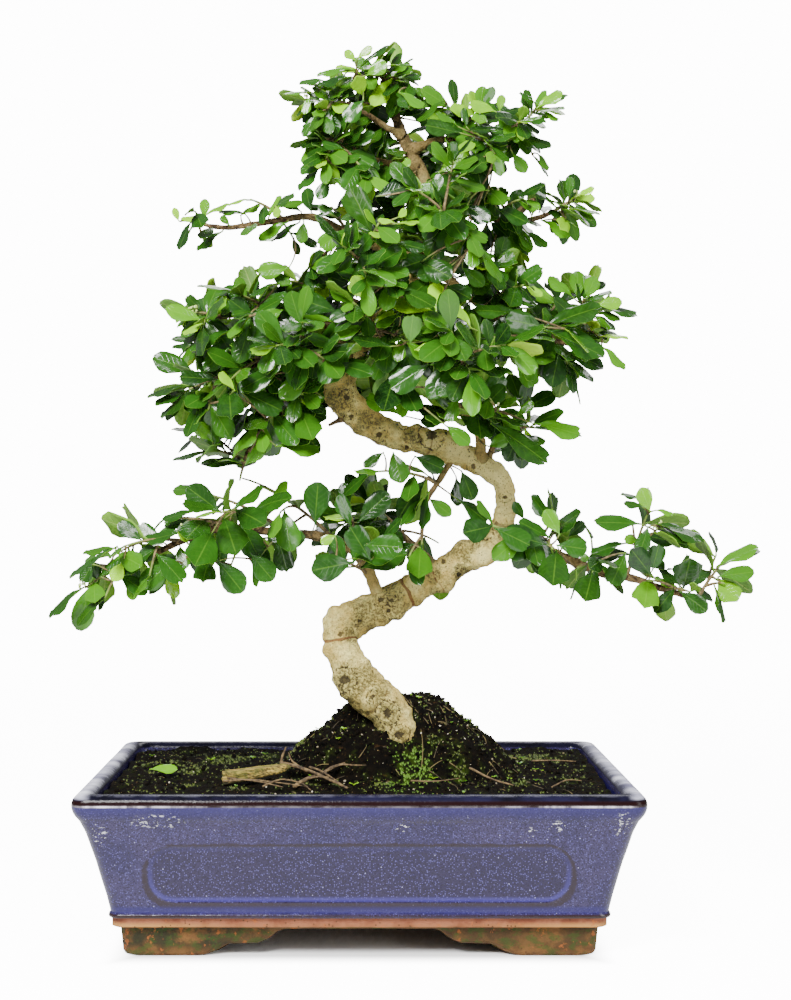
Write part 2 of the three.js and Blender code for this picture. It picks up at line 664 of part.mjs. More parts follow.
// A point as seen by a leaf: along it, across it, and its height over the blade.
function leafCoordinates(leaf, point) {
  const from = point.clone().sub(leaf.base);
  const u = from.dot(leaf.along) / leaf.length;
  const v = from.dot(leaf.across) / leaf.halfWidth;
  const rise = leaf.fold * Math.abs(v) * leaf.halfWidth - leaf.bend * leaf.length * u * u;
  return { u, v, height: from.dot(leaf.normal) - rise };
}

function leafLines(leaf) {
  const at = (u, v) => onLeaf(leaf, u, v);
  return [
    [at(0.1, 0), at(0.5, 0)], [at(0.5, 0), at(1, 0)],
    [at(0.1, 0), at(0.45, 0.7)], [at(0.45, 0.7), at(0.9, 0.9)],
    [at(0.1, 0), at(0.45, -0.7)], [at(0.45, -0.7), at(0.9, -0.9)],
    [at(0.9, -0.9), at(0.9, 0.9)], [at(0.6, -0.9), at(0.6, 0.9)],
  ];
}

// Whether a line comes through a leaf's blade or close to it.
function linePierces(leaf, [from, to]) {
  const a = leafCoordinates(leaf, from);
  const b = leafCoordinates(leaf, to);
  const apart = a.height * b.height > 0;
  if (apart && Math.min(Math.abs(a.height), Math.abs(b.height)) > LEAF.clearance) return false;
  const t = apart ? (Math.abs(a.height) < Math.abs(b.height) ? 0 : 1) : a.height / (a.height - b.height);
  const u = mix(a.u, b.u, t);
  const v = mix(a.v, b.v, t);
  return u > 0.08 && u < 1.06 && Math.abs(v) < 1.15 * Math.min(1, 0.2 + 1.3 * u);
}

function leavesCross(one, other) {
  const reach = one.length + other.length;
  if (one.base.distanceTo(other.base) > reach) return false;
  return one.lines.some((line) => linePierces(other, line))
    || other.lines.some((line) => linePierces(one, line));
}

// Places along the wood, close enough together to keep leaves clear of it.
const woodPlaces = limbs.flatMap((limb) => {
  const count = Math.ceil(limb.curve.getLength() / 5);
  return Array.from({ length: count + 1 }, (_, i) => ({
    centre: limb.curve.getPoint(i / count),
    radius: limb.radiusAt(i / count),
  }));
});

function leafMeetsWood(leaf) {
  const points = [0.5, 0.75, 1].flatMap((u) => [-0.8, 0, 0.8].map((v) => onLeaf(leaf, u, v)));
  return woodPlaces.some(({ centre, radius }) => (
    centre.distanceTo(leaf.base) < leaf.length + radius + 4
    && points.some((point) => point.distanceTo(centre) < radius + 2.5)
  ));
}

// The first try of a leaf that stays clear of the wood and of the leaves placed before it.
function placeLeaf(shoot, index, placed) {
  for (let attempt = 0; attempt < LEAF.tries; attempt++) {
    const leaf = leafOf(shoot, index, attempt);
    leaf.lines = leafLines(leaf);
    if (!leafMeetsWood(leaf) && !placed.some((other) => leavesCross(leaf, other))) {
      placed.push(leaf);
      return;
    }
  }
}

// Leaves at the tips of all shoots come first, then one lower down on main shoots and some forks.
function placeLeaves(shoots) {
  const placed = [];
  for (const shoot of shoots) placeLeaf(shoot, shoot.leafCount - 1, placed);
  for (const shoot of shoots) {
    const leafy = shoot.shootIndex === 0 || (shoot.shootIndex === 1 && shoot.sprayIndex % 2 === 0);
    if (leafy) placeLeaf(shoot, shoot.leafCount - 4, placed);
  }
  return placed;
}

// A four-sided body through flat sections, each with its middle, half width and half thickness.
function strip(sections) {
  const corners = [[-1, -1], [1, -1], [1, 1], [-1, 1]];
  const points = sections.flatMap(({ centre, across, normal }) => corners.map(
    ([a, n]) => centre.clone().addScaledVector(across, a).addScaledVector(normal, n),
  ));
  const faces = [0, 2, 1, 0, 3, 2];
  for (let i = 0; i + 4 < points.length; i += 4) {
    for (let k = 0; k < 4; k++) {
      const here = i + k;
      const next = i + ((k + 1) % 4);
      faces.push(here, next, next + 4, here, next + 4, here + 4);
    }
  }
  const end = points.length - 4;
  faces.push(end, end + 1, end + 2, end, end + 2, end + 3);
  return solidOf(facetGeometry(points, faces));
}

function bladeSections(leaf, grow) {
  const outline = leaf.length > LEAF.bigFrom ? BLUNT : SMALL;
  return outline.map(([u, share]) => ({
    centre: onLeaf(leaf, u, 0),
    across: leaf.across.clone().multiplyScalar(share * leaf.halfWidth + grow),
    normal: leaf.normal.clone().multiplyScalar(LEAF.thickness / 2 + grow),
  }));
}

// A leaf as a thin blade on a narrow foot.
function leafSolid(leaf, grow = 0) {
  const foot = {
    centre: leaf.base,
    across: leaf.across.clone().multiplyScalar(LEAF.petiole + grow),
    normal: leaf.normal.clone().multiplyScalar(LEAF.thickness / 2 + grow),
  };
  return strip([foot, ...bladeSections(leaf, grow)]);
}

// A shoot's stem, which runs on into the leaf at its tip. Its sides stay flat from bend to bend.
function stemSolid({ shootIndex, curve }, tipLeaf) {
  const radius = shootIndex === 0 ? SHOOT.mainRadius : SHOOT.sideRadius;
  const chord = curve.v2.clone().sub(curve.v0);
  const across = vec(-chord.y, chord.x, 0).normalize();
  const shares = shootIndex === 0 ? [0, 0.5, 1] : [0, 1];
  const sections = shares.map((share) => {
    const tangent = shootIndex === 0 ? curve.getTangent(share) : chord.clone().normalize();
    return {
      centre: curve.getPoint(share),
      across: across.clone().multiplyScalar(radius),
      normal: tangent.cross(across).multiplyScalar(radius),
    };
  });
  return strip(tipLeaf ? [...sections, ...bladeSections(tipLeaf, 0)] : sections);
}

function boxesMeet(one, other) {
  return [0, 1, 2].every((i) => one.min[i] <= other.max[i] && other.min[i] <= one.max[i]);
}

function solidsMeet(one, other) {
  return boxesMeet(one.boundingBox(), other.boundingBox())
    && !one.intersect(other).isEmpty();
}

// Each spray as one solid. A leaf that would still touch another piece is left out.
function makeSprays(wood) {
  const shootsOf = SPRAYS.map(shootsOfSpray);
  const shoots = shootsOf.flat();
  const bareStems = shootsOf.map((ownShoots) => joined(ownShoots.map((shoot) => stemSolid(shoot))));
  const grown = SPRAYS.map(() => []);
  const kept = placeLeaves(shoots).filter((leaf) => {
    const own = leaf.sprayIndex;
    const fat = leafSolid(leaf, GAP);
    const meetsOthers = SPRAYS.some((_, index) => index !== own
      && [bareStems[index], ...grown[index]].some((other) => solidsMeet(fat, other)));
    if (meetsOthers) return false;
    grown[own].push(fat);
    return true;
  });
  return shootsOf.map((ownShoots, sprayIndex) => {
    const own = kept.filter((leaf) => leaf.sprayIndex === sprayIndex);
    const stems = ownShoots.map((shoot) => stemSolid(shoot, own.find(
      (leaf) => leaf.shootIndex === shoot.shootIndex && leaf.atTip,
    )));
    const sideLeaves = own.filter((leaf) => !leaf.atTip).map((leaf) => leafSolid(leaf));
    return largestPart(joined([...stems, ...sideLeaves]).subtract(wood));
  });
}

// Litter on the soil

// Wood that has settled into the soil: its underside is cut to the soil's own shape.
function settledIn(soil, solid) {
  return largestPart(solid.subtract(soil.translate([0, 0, GAP])));
}

// A light piece that only touches the soil.
function laidOn(soil, solid) {
  const reach = 20;
  return solid.translate([0, 0, GAP - solid.minGap(soil, reach)]);
}

function makeBarkChip() {
  const curve = smoothCurve([vec(-80, -33, 93.5), vec(-66, -30, 94.5), vec(-50, -27, 94.5), vec(-37, -23, 94)]);
  return rod(curve, 4, 6, (share, outward) => {
    const width = mix(5.5, 3.5, share);
    return width * mix(1, 0.5, Math.abs(outward.z));
  });
}

function makeDryTwig() {
  const stems = [
    [[-38, -64, 93], [-24, -40, 96], [-9, -28, 101]],
    [[-24, -42, 96], [-32, -32, 96], [-38, -20, 97]],
  ];
  return joined(stems.map((points) => rod(
    smoothCurve(points.map((point) => vec(...point))), 3, 4, (share) => mix(1.9, 1.1, share),
  )));
}

function makeFallenLeaf() {
  const leaf = {
    base: vec(-127, -29, 97),
    along: vec(1, 0.25, 0.02).normalize(),
    length: 18,
    halfWidth: 5,
    bend: 0.02,
    fold: 0.14,
  };
  leaf.normal = vec(0, 0, 1).addScaledVector(leaf.along, -leaf.along.z).normalize();
  leaf.across = leaf.normal.clone().cross(leaf.along);
  return leafSolid(leaf);
}

// Finishes

const finish = (color, roughness) => new THREE.MeshStandardMaterial({ color, roughness, metalness: 0 });
const glaze = finish(0x4a4c8c, 0.2);
const bark = finish(0xcdbd92, 0.85);
const earth = finish(0x1d1811, 0.95);
const deadWood = finish(0x8d7748, 0.9);
const plastic = finish(0x22252a, 0.6);
const greens = [0x2f6b1d, 0x3c7d24, 0x4b8f2b].map((color) => finish(color, 0.35));

// Assembly

const tree = new THREE.Group();

function addPiece(name, solid, material) {
  const mesh = new THREE.Mesh(geometryOf(solid), material);
  mesh.name = name;
  tree.add(mesh);
}

const grownWood = makeWood(GAP);
const soil = makeSoil(grownWood);
addPiece('pot', makePot(), glaze);
addPiece('drain_mesh_left', makeDrainMesh(-1), plastic);
addPiece('drain_mesh_right', makeDrainMesh(1), plastic);
addPiece('soil', soil, earth);
addPiece('trunk', makeWood(0), bark);
addPiece('bark_chip', settledIn(soil, makeBarkChip()), deadWood);
addPiece('dry_twig', settledIn(soil, makeDryTwig()), deadWood);
addPiece('fallen_leaf', laidOn(soil, makeFallenLeaf()), greens[2]);
makeSprays(grownWood).forEach((spray, index) => {
  const number = String(index + 1).padStart(2, '0');
  addPiece(`spray_${number}_${SPRAYS[index][0]}`, spray, greens[index % greens.length]);
});

// The whole stands with the middle of its box over the origin, its feet at height 0.
const box = new THREE.Box3().setFromObject(tree);
const middle = box.getCenter(vec(0, 0, 0));
tree.position.set(-middle.x, -middle.y, -box.min.z);
tree.updateMatrixWorld(true);

export default tree;
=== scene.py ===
# %% [markdown]
# # A fukien tea bonsai, dressed in Blender
#
# The CAD model already holds the tree's main forms: the pot, the soil with its mound, the trunk
# with its limbs, and fifty leafy sprays. This lesson keeps every piece where the CAD has it and
# gives it what the eye looks for: glaze, bark, crumbs of soil, moss, and hundreds of toothed
# glossy leaves.
#
# Loading the frame comes first, and its box is kept, because the dressed tree may not grow past it.

import math

import bmesh
import bpy
import numpy as np
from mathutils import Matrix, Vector, noise


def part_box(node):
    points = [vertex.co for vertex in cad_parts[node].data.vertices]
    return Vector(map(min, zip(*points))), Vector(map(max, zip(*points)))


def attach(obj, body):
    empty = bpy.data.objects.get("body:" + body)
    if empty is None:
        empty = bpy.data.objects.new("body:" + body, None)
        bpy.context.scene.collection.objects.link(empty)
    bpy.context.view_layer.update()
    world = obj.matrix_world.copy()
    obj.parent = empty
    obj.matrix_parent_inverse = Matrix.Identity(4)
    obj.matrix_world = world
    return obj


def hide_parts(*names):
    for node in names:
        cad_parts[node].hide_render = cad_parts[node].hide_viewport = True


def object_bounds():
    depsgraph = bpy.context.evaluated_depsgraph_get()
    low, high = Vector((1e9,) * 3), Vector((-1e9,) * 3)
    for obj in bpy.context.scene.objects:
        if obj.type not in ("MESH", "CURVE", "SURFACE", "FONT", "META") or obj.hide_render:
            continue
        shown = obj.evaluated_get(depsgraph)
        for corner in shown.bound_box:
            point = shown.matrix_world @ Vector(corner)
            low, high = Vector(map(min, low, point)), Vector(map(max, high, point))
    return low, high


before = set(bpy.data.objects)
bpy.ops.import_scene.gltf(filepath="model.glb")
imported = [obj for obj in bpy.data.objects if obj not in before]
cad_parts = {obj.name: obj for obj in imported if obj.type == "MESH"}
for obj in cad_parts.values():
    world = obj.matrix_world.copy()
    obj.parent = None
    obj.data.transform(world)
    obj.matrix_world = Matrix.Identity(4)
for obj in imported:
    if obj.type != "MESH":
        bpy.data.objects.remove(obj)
cad_box = [list(corner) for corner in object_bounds()]
print("nodes in the frame:", len(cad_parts))
print("CAD box in metres:", cad_box)

# %% [markdown]
# A maker measures a bonsai from its pot, in millimetres. Every place below is measured from the
# middle of the pot at the height of its feet, with x to the right and y to the back. Meshes are
# modelled in those millimetres and brought to the frame's metres in one last step.

# %% Measure from the pot
pot_low, pot_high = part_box("pot")
POT_MIDDLE = Vector(((pot_low.x + pot_high.x) / 2, (pot_low.y + pot_high.y) / 2, pot_low.z))
METRE = 1000


def in_metres(x, y, z):
    """A place measured in millimetres from the pot, as a place in the frame."""
    return Vector((x, y, z)) / METRE + POT_MIDDLE


print("pot middle in the frame:", [round(value, 4) for value in POT_MIDDLE])

# %% [markdown]
# The photograph was taken from a little below the middle of the tree, with the camera level, so
# the trunk and the pot's walls stay upright. A small sideways shift of the lens puts the tree left
# of the middle without turning the camera.

# %% Camera
CAMERA_DISTANCE = 1056
CAMERA_HEIGHT = 259
lens = bpy.data.cameras.new("photo_lens")
lens.sensor_width = 36
lens.lens = 61.2
lens.shift_x = 0.036
lens.shift_y = 0.002
camera = bpy.data.objects.new("photo_camera", lens)
camera.location = in_metres(0, -CAMERA_DISTANCE, CAMERA_HEIGHT)
camera.rotation_euler = (math.pi / 2, 0, 0)
bpy.context.scene.collection.objects.link(camera)
bpy.context.scene.camera = camera
print("camera at", [round(value, 3) for value in camera.location])

# %% Places read from the photograph
PICTURE_MIDDLE = (359.5, 502)
PICTURE_REACH = 1699


def from_photo(across, down, depth):
    """The place seen at a point of the picture when it lies that far behind the pot's middle."""
    scale = (depth + CAMERA_DISTANCE) / PICTURE_REACH
    return np.array(
        (
            (across - PICTURE_MIDDLE[0]) * scale,
            depth,
            CAMERA_HEIGHT - (down - PICTURE_MIDDLE[1]) * scale,
        )
    )


def in_photo(places):
    """Where places are seen in the picture, across and down."""
    scale = PICTURE_REACH / (places[..., 1] + CAMERA_DISTANCE)
    across = PICTURE_MIDDLE[0] + places[..., 0] * scale
    down = PICTURE_MIDDLE[1] - (places[..., 2] - CAMERA_HEIGHT) * scale
    return across, down


print("the pot's middle is seen at", [round(float(value)) for value in in_photo(np.zeros(3))])

# %% [markdown]
# The light is that of a white photo studio: a bright surround, one large soft box high on the left
# in front, a weaker one on the right, and a strip from behind that edges the leaves. Soft boxes
# are what the wet looking leaves and the glaze mirror, so their size matters more than their
# strength.

# %% Studio light
world = bpy.data.worlds.new("white_studio")
world.use_nodes = True
bpy.context.scene.world = world
surround = world.node_tree.nodes["Background"]
surround.inputs["Color"].default_value = (1, 1, 1, 1)
seen = world.node_tree.nodes.new("ShaderNodeLightPath").outputs["Is Camera Ray"]
brightness = world.node_tree.nodes.new("ShaderNodeMapRange")
brightness.inputs["To Min"].default_value = 0.36
brightness.inputs["To Max"].default_value = 14.0
world.node_tree.links.new(seen, brightness.inputs["Value"])
world.node_tree.links.new(brightness.outputs[0], surround.inputs["Strength"])


def soft_box(name, place, target, size, watts, colour=(1, 1, 1)):
    """A rectangular lamp at a place, facing a target, both in millimetres from the pot."""
    lamp = bpy.data.lights.new(name, "AREA")
    lamp.shape = "RECTANGLE"
    lamp.size, lamp.size_y = size
    lamp.energy = watts
    lamp.color = colour
    stand = bpy.data.objects.new(name, lamp)
    stand.location = in_metres(*place)
    towards = in_metres(*target) - stand.location
    stand.rotation_euler = towards.to_track_quat("-Z", "Y").to_euler()
    bpy.context.scene.collection.objects.link(stand)
    return stand


soft_box("key_soft_box", (-500, -1200, 1250), (0, 0, 260), (0.6, 0.6), 84)
soft_box("fill_soft_box", (1200, -1000, 600), (0, 0, 250), (0.7, 1.0), 20)
soft_box("back_strip", (300, 1100, 1300), (0, 0, 300), (1.4, 0.5), 15)
print("lamps:", [lamp.name for lamp in bpy.data.lights])

# %% [markdown]
# Materials are trees of shader nodes. Adding a node takes three or four lines each time, so a few
# short helpers come first: one adds a node and fills its sockets, one does arithmetic, and one
# mixes two colours. Colours are given as a painter would read them off a screen.


# %% Short ways to add nodes
def screen_colour(red, green, blue):
    """A colour as read from a screen, 0 to 255, in the linear values that shaders want."""
    linear = []
    for value in (red, green, blue):
        share = value / 255
        linear.append(share / 12.92 if share <= 0.04045 else ((share + 0.055) / 1.055) ** 2.4)
    return (*linear, 1)


def add_node(tree, kind, settings=None, **inputs):
    """Adds a node. An input is a socket to link from, or a plain value."""
    node = tree.nodes.new("ShaderNode" + kind)
    for name, value in (settings or {}).items():
        setattr(node, name, value)
    for name, value in inputs.items():
        feed(tree, node.inputs[name.replace("_", " ")], value)
    return node


def feed(tree, socket, value):
    """Links a socket to another, or gives it a plain value."""
    if isinstance(value, bpy.types.NodeSocket):
        tree.links.new(value, socket)
    elif value is not None:
        socket.default_value = value


def sums(tree, operation, first, second=None, third=None):
    """Arithmetic on values. Gives the socket of the result."""
    node = tree.nodes.new("ShaderNodeMath")
    node.operation = operation
    for socket, value in zip(node.inputs, (first, second, third)):
        feed(tree, socket, value)
    return node.outputs[0]


def mixed(tree, share, first, second, how="MIX"):
    """Two colours mixed by a share. Gives the socket of the result."""
    node = tree.nodes.new("ShaderNodeMix")
    node.data_type = "RGBA"
    node.blend_type = how
    feed(tree, node.inputs[0], share)
    feed(tree, node.inputs[6], first)
    feed(tree, node.inputs[7], second)
    return node.outputs[2]


def ramp(tree, value, low, high, to_low=0.0, to_high=1.0):
    """A value mapped smoothly from one range to another."""
    node = add_node(tree, "MapRange", {"interpolation_type": "SMOOTHSTEP"})
    for name, number in (
        ("Value", value),
        ("From Min", low),
        ("From Max", high),
        ("To Min", to_low),
        ("To Max", to_high),
    ):
        feed(tree, node.inputs[name], number)
    return node.outputs[0]


def attribute(tree, name):
    """A number that the mesh keeps for each point."""
    return add_node(tree, "Attribute", {"attribute_name": name}).outputs["Fac"]


# %% [markdown]
# Glaze, bark, clay, soil and leaves all need the same two natural effects. Mottling is a soft
# cloud of one tone in another. Speckles are small round spots of which only a share is filled.
# Each is a node group with its own inputs, so that a material only says how large and how strong.
# A third group turns Object coordinates into millimetres from the pot, for what depends on height.


# %% Shared effects as node groups
def new_group(name, inputs, outputs):
    """An empty node group with named sockets. Gives its tree and its first and last node."""
    tree = bpy.data.node_groups.new(name, "ShaderNodeTree")
    for label, kind, value in inputs:
        socket = tree.interface.new_socket(name=label, in_out="INPUT", socket_type=kind)
        if kind == "NodeSocketFloat":
            socket.default_value = value
    for label, kind in outputs:
        tree.interface.new_socket(name=label, in_out="OUTPUT", socket_type=kind)
    start = tree.nodes.new("NodeGroupInput")
    end = tree.nodes.new("NodeGroupOutput")
    return tree, start, end


def make_mottling():
    tree, start, end = new_group(
        "mottling",
        [
            ("Place", "NodeSocketVector", None),
            ("Size", "NodeSocketFloat", 10.0),
            ("Low", "NodeSocketFloat", 0.4),
            ("High", "NodeSocketFloat", 0.6),
            ("Detail", "NodeSocketFloat", 4.0),
        ],
        [("Mask", "NodeSocketFloat")],
    )
    scale = sums(tree, "DIVIDE", 1.0, start.outputs["Size"])
    cloud = add_node(
        tree,
        "TexNoise",
        Vector=start.outputs["Place"],
        Scale=scale,
        Detail=start.outputs["Detail"],
        Roughness=0.6,
    )
    mask = ramp(tree, cloud.outputs[0], start.outputs["Low"], start.outputs["High"])
    tree.links.new(mask, end.inputs["Mask"])
    return tree


def make_speckles():
    tree, start, end = new_group(
        "speckles",
        [
            ("Place", "NodeSocketVector", None),
            ("Size", "NodeSocketFloat", 2.0),
            ("Spot", "NodeSocketFloat", 0.3),
            ("Share", "NodeSocketFloat", 0.5),
        ],
        [("Mask", "NodeSocketFloat")],
    )
    scale = sums(tree, "DIVIDE", 1.0, start.outputs["Size"])
    cells = add_node(tree, "TexVoronoi", Vector=start.outputs["Place"], Scale=scale)
    edge = sums(tree, "MULTIPLY", start.outputs["Spot"], 0.55)
    round_spot = ramp(tree, cells.outputs["Distance"], start.outputs["Spot"], edge)
    chance = add_node(tree, "SeparateColor", Color=cells.outputs["Color"]).outputs[0]
    chosen = sums(tree, "LESS_THAN", chance, start.outputs["Share"])
    mask = sums(tree, "MULTIPLY", round_spot, chosen)
    tree.links.new(mask, end.inputs["Mask"])
    return tree


def make_millimetres():
    tree, start, end = new_group("millimetres", [], [("Place", "NodeSocketVector")])
    place = add_node(tree, "TexCoord").outputs["Object"]
    from_pot = add_node(tree, "VectorMath", {"operation": "SUBTRACT"})
    feed(tree, from_pot.inputs[0], place)
    feed(tree, from_pot.inputs[1], tuple(POT_MIDDLE))
    scaled = add_node(tree, "VectorMath", {"operation": "SCALE"})
    feed(tree, scaled.inputs[0], from_pot.outputs[0])
    feed(tree, scaled.inputs["Scale"], float(METRE))
    tree.links.new(scaled.outputs[0], end.inputs["Place"])
    return tree


EFFECTS = {
    "mottling": make_mottling(),
    "speckles": make_speckles(),
    "millimetres": make_millimetres(),
}
print("shared effects:", sorted(EFFECTS))


# %% Placing an effect in a material
def effect(tree, name, **inputs):
    """Places a shared effect and fills its sockets. Gives its first output."""
    node = tree.nodes.new("ShaderNodeGroup")
    node.node_tree = EFFECTS[name]
    for label, value in inputs.items():
        feed(tree, node.inputs[label], value)
    return node.outputs[0]


def mottling(tree, place, size, low=0.4, high=0.6, detail=4.0):
    return effect(tree, "mottling", Place=place, Size=size, Low=low, High=high, Detail=detail)


def speckles(tree, place, size, spot=0.3, share=0.5):
    return effect(tree, "speckles", Place=place, Size=size, Spot=spot, Share=share)


def new_finish(name):
    """A new material. Gives it with its tree, its shader and places in millimetres."""
    material = bpy.data.materials.new(name)
    material.use_nodes = True
    tree = material.node_tree
    shader = tree.nodes["Principled BSDF"]
    return material, tree, shader, effect(tree, "millimetres")


def stretched(tree, place, x, y, z):
    """Places stretched along the axes, for a pattern that is longer one way."""
    node = add_node(tree, "VectorMath", {"operation": "MULTIPLY"})
    feed(tree, node.inputs[0], place)
    feed(tree, node.inputs[1], (x, y, z))
    return node.outputs[0]


def relief(tree, shader, height, distance, strength=1.0, under=None):
    """Lets a height shade the surface as small bumps. The distance is in millimetres."""
    bump = add_node(tree, "Bump", Height=height, Strength=strength, Distance=distance / METRE)
    if under is not None:
        tree.links.new(under, bump.inputs["Normal"])
    tree.links.new(bump.outputs["Normal"], shader.inputs["Normal"])
    return bump.outputs["Normal"]


# %% [markdown]
# Each piece ends the same way: its mesh is scaled from millimetres to metres, moved to the pot's place, shaded smooth
# except over sharp folds and given its finish, and the CAD nodes that it stands for are hidden. The object itself
# stays at the origin, unturned and unscaled.


# %% Finishing a piece
def finish_piece(name, bm, materials, stands_for=(), sharp_over=None):
    """Turns a bmesh in millimetres into a piece of the tree."""
    if sharp_over is not None:
        limit = math.radians(sharp_over)
        for edge in bm.edges:
            edge.smooth = edge.calc_face_angle(0.0) < limit
    bmesh.ops.scale(bm, vec=(1 / METRE,) * 3, verts=bm.verts)
    bmesh.ops.translate(bm, vec=POT_MIDDLE, verts=bm.verts)
    mesh = bpy.data.meshes.new(name)
    bm.to_mesh(mesh)
    bm.free()
    mesh.polygons.foreach_set("use_smooth", [True] * len(mesh.polygons))
    for material in materials:
        mesh.materials.append(material)
    piece = bpy.data.objects.new(name, mesh)
    bpy.context.scene.collection.objects.link(piece)
    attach(piece, "root")
    if stands_for:
        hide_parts(*stands_for)
    return piece


def triangles(piece):
    return sum(len(face.vertices) - 2 for face in piece.data.polygons)


# %% [markdown]
# The floor is a plain pale disc that fades into the white surround, so that no horizon shows.
# It is a stage, not part of the tree. It glows for the camera alone, except under the pot, where the darker floor is
# a painted shadow.

# %% Floor
floor_form = bmesh.new()
bmesh.ops.create_circle(floor_form, cap_ends=True, segments=96, radius=2.4)
bmesh.ops.translate(floor_form, vec=(POT_MIDDLE.x, POT_MIDDLE.y, 0), verts=floor_form.verts)
floor_mesh = bpy.data.meshes.new("studio_floor")
floor_form.to_mesh(floor_mesh)
floor_form.free()
floor = bpy.data.objects.new("studio_floor", floor_mesh)
bpy.context.scene.collection.objects.link(floor)
floor_finish, tree, shader, place = new_finish("pale_floor")
shader.inputs["Base Color"].default_value = (0.85, 0.85, 0.85, 1)
shader.inputs["Roughness"].default_value = 0.8
shader.inputs["Specular IOR Level"].default_value = 0.1
shader.inputs["Emission Color"].default_value = (1, 1, 1, 1)
apart = add_node(tree, "VectorMath", {"operation": "ABSOLUTE"})
feed(tree, apart.inputs[0], place)
apart = add_node(tree, "SeparateXYZ", Vector=apart.outputs[0])
# The glow stops over the pot's footprint, so the floor there is a painted shadow under the pot.
outside = sums(tree, "MAXIMUM", sums(tree, "SUBTRACT", apart.outputs["X"], 40.0), apart.outputs["Y"])
glow_with_painted_shadow = ramp(tree, outside, 84.0, 108.0, 0.0, 12.0)
seen = add_node(tree, "LightPath").outputs["Is Camera Ray"]
feed(tree, shader.inputs["Emission Strength"], sums(tree, "MULTIPLY", glow_with_painted_shadow, seen))
from_middle = add_node(tree, "VectorMath", {"operation": "LENGTH"})
feed(tree, from_middle.inputs[0], stretched(tree, place, 1, 1, 0))
feed(tree, shader.inputs["Alpha"], ramp(tree, from_middle.outputs["Value"], 500.0, 1800.0, 1.0, 0.0))
floor_mesh.materials.append(floor_finish)
print("floor radius in metres:", 2.4)

# %% [markdown]
# ## The pot
#
# The pot is press moulded stoneware: a rounded rectangle that flares from its foot band to a
# heavy rolled rim, with a sunk panel on each side and four cloud shaped feet. It could be four
# slabs with bevels, but its corners flow round. So it is a sheet rolled round a rounded rectangle,
# each row of the sheet being pulled in by the profile of the wall. Every column of the sheet is a
# station round the pot: a place on the straight core, and the direction that the wall faces there.

# %% Stations round the pot
POT_HALF = (161.3, 112.2)
CORNER = 8
CORNER_STEPS = 7
STATION_GAP = 2.5


def side_stations(start, end, facing):
    """Stations along one straight side, from one corner of the core to the next."""
    core = [2 * (half - CORNER) for half in POT_HALF]
    length = max(abs(end[i] - start[i]) / 2 * core[i] for i in (0, 1))
    count = round(length / STATION_GAP)
    return [
        (*[start[i] + (end[i] - start[i]) * step / count for i in (0, 1)], *facing)
        for step in range(count)
    ]


def corner_stations(corner, from_angle):
    """Stations that turn round one corner, without the last, which starts the next side."""
    angles = [math.radians(from_angle + 90 * step / CORNER_STEPS) for step in range(CORNER_STEPS)]
    return [(*corner, math.cos(angle), math.sin(angle)) for angle in angles]


stations = np.array(
    side_stations((-1, -1), (1, -1), (0, -1))
    + corner_stations((1, -1), -90)
    + side_stations((1, -1), (1, 1), (1, 0))
    + corner_stations((1, 1), 0)
    + side_stations((1, 1), (-1, 1), (0, 1))
    + corner_stations((-1, 1), 90)
    + side_stations((-1, 1), (-1, -1), (-1, 0))
    + corner_stations((-1, -1), 180)
)
print("stations round the pot:", len(stations))

# %% [markdown]
# The profile of the wall is a list of insets and heights, from inside the foot up over the rim and
# down into the pot. The wall itself has many rows, since the edge of the sunk panel is shaped by
# them. The feet come from the rows under the band: each is let down to the height of the cloud
# outline at that station.

# %% Profile of the wall
WALL = [(19.0, 26.2), (17.0, 36.0), (12.0, 56.0), (7.0, 73.0), (4.0, 80.0)]
BAND = [
    (20.6, 17.5), (20.0, 17.9), (19.9, 20.0), (19.8, 22.2), (19.2, 22.7), (18.3, 23.2), (18.0, 24.1), (18.2, 25.0),
]
RIM = [
    (3.0, 81.4), (1.9, 83.0), (1.0, 84.8), (0.4, 86.6), (0.1, 88.2), (0.0, 89.6), (0.1, 90.8), (0.3, 91.8),
    (0.8, 92.9), (1.6, 93.9), (2.8, 94.8), (4.4, 95.4), (6.5, 95.6), (8.6, 95.3), (10.2, 94.6), (11.5, 93.2),
    (12.1, 91.4), (12.6, 87.0), (13.5, 80.0), (21.0, 56.0), (26.0, 36.0), (31.0, 27.0), (33.0, 25.0),
]
ROW_GAP = 1.25


def wall_rows():
    """The band, then the flaring wall in fine rows, then the rolled rim and the inside."""
    heights = np.arange(WALL[0][1], WALL[-1][1], ROW_GAP)
    insets = np.interp(heights, [z for _, z in WALL], [inset for inset, _ in WALL])
    return BAND + list(zip(insets, heights)) + [WALL[-1]] + RIM


FRONT_CLOUD = [(0, 15.5), (43, 15.5), (49, 13.4), (55, 8.6), (59, 7), (77, 6.6), (82, 4.4), (89, 0.6), (94, 0), (200, 0)]
SIDE_CLOUD = [(0, 15.5), (10, 15.5), (15, 12), (20, 7.6), (23, 7), (36, 6.6), (40, 4.4), (46, 0.6), (50, 0), (200, 0)]


FOOT_INSET = 25.6


def foot_heights():
    """The height of the feet's lower outline at each station."""
    along_x = np.abs(stations[:, 0]) * (POT_HALF[0] - CORNER - FOOT_INSET)
    along_y = np.abs(stations[:, 1]) * (POT_HALF[1] - CORNER - FOOT_INSET)
    front = np.interp(along_x, *zip(*FRONT_CLOUD))
    side = np.interp(along_y, *zip(*SIDE_CLOUD))
    facing_front = np.abs(stations[:, 3]) > np.abs(stations[:, 2])
    return np.where(facing_front, front, side)


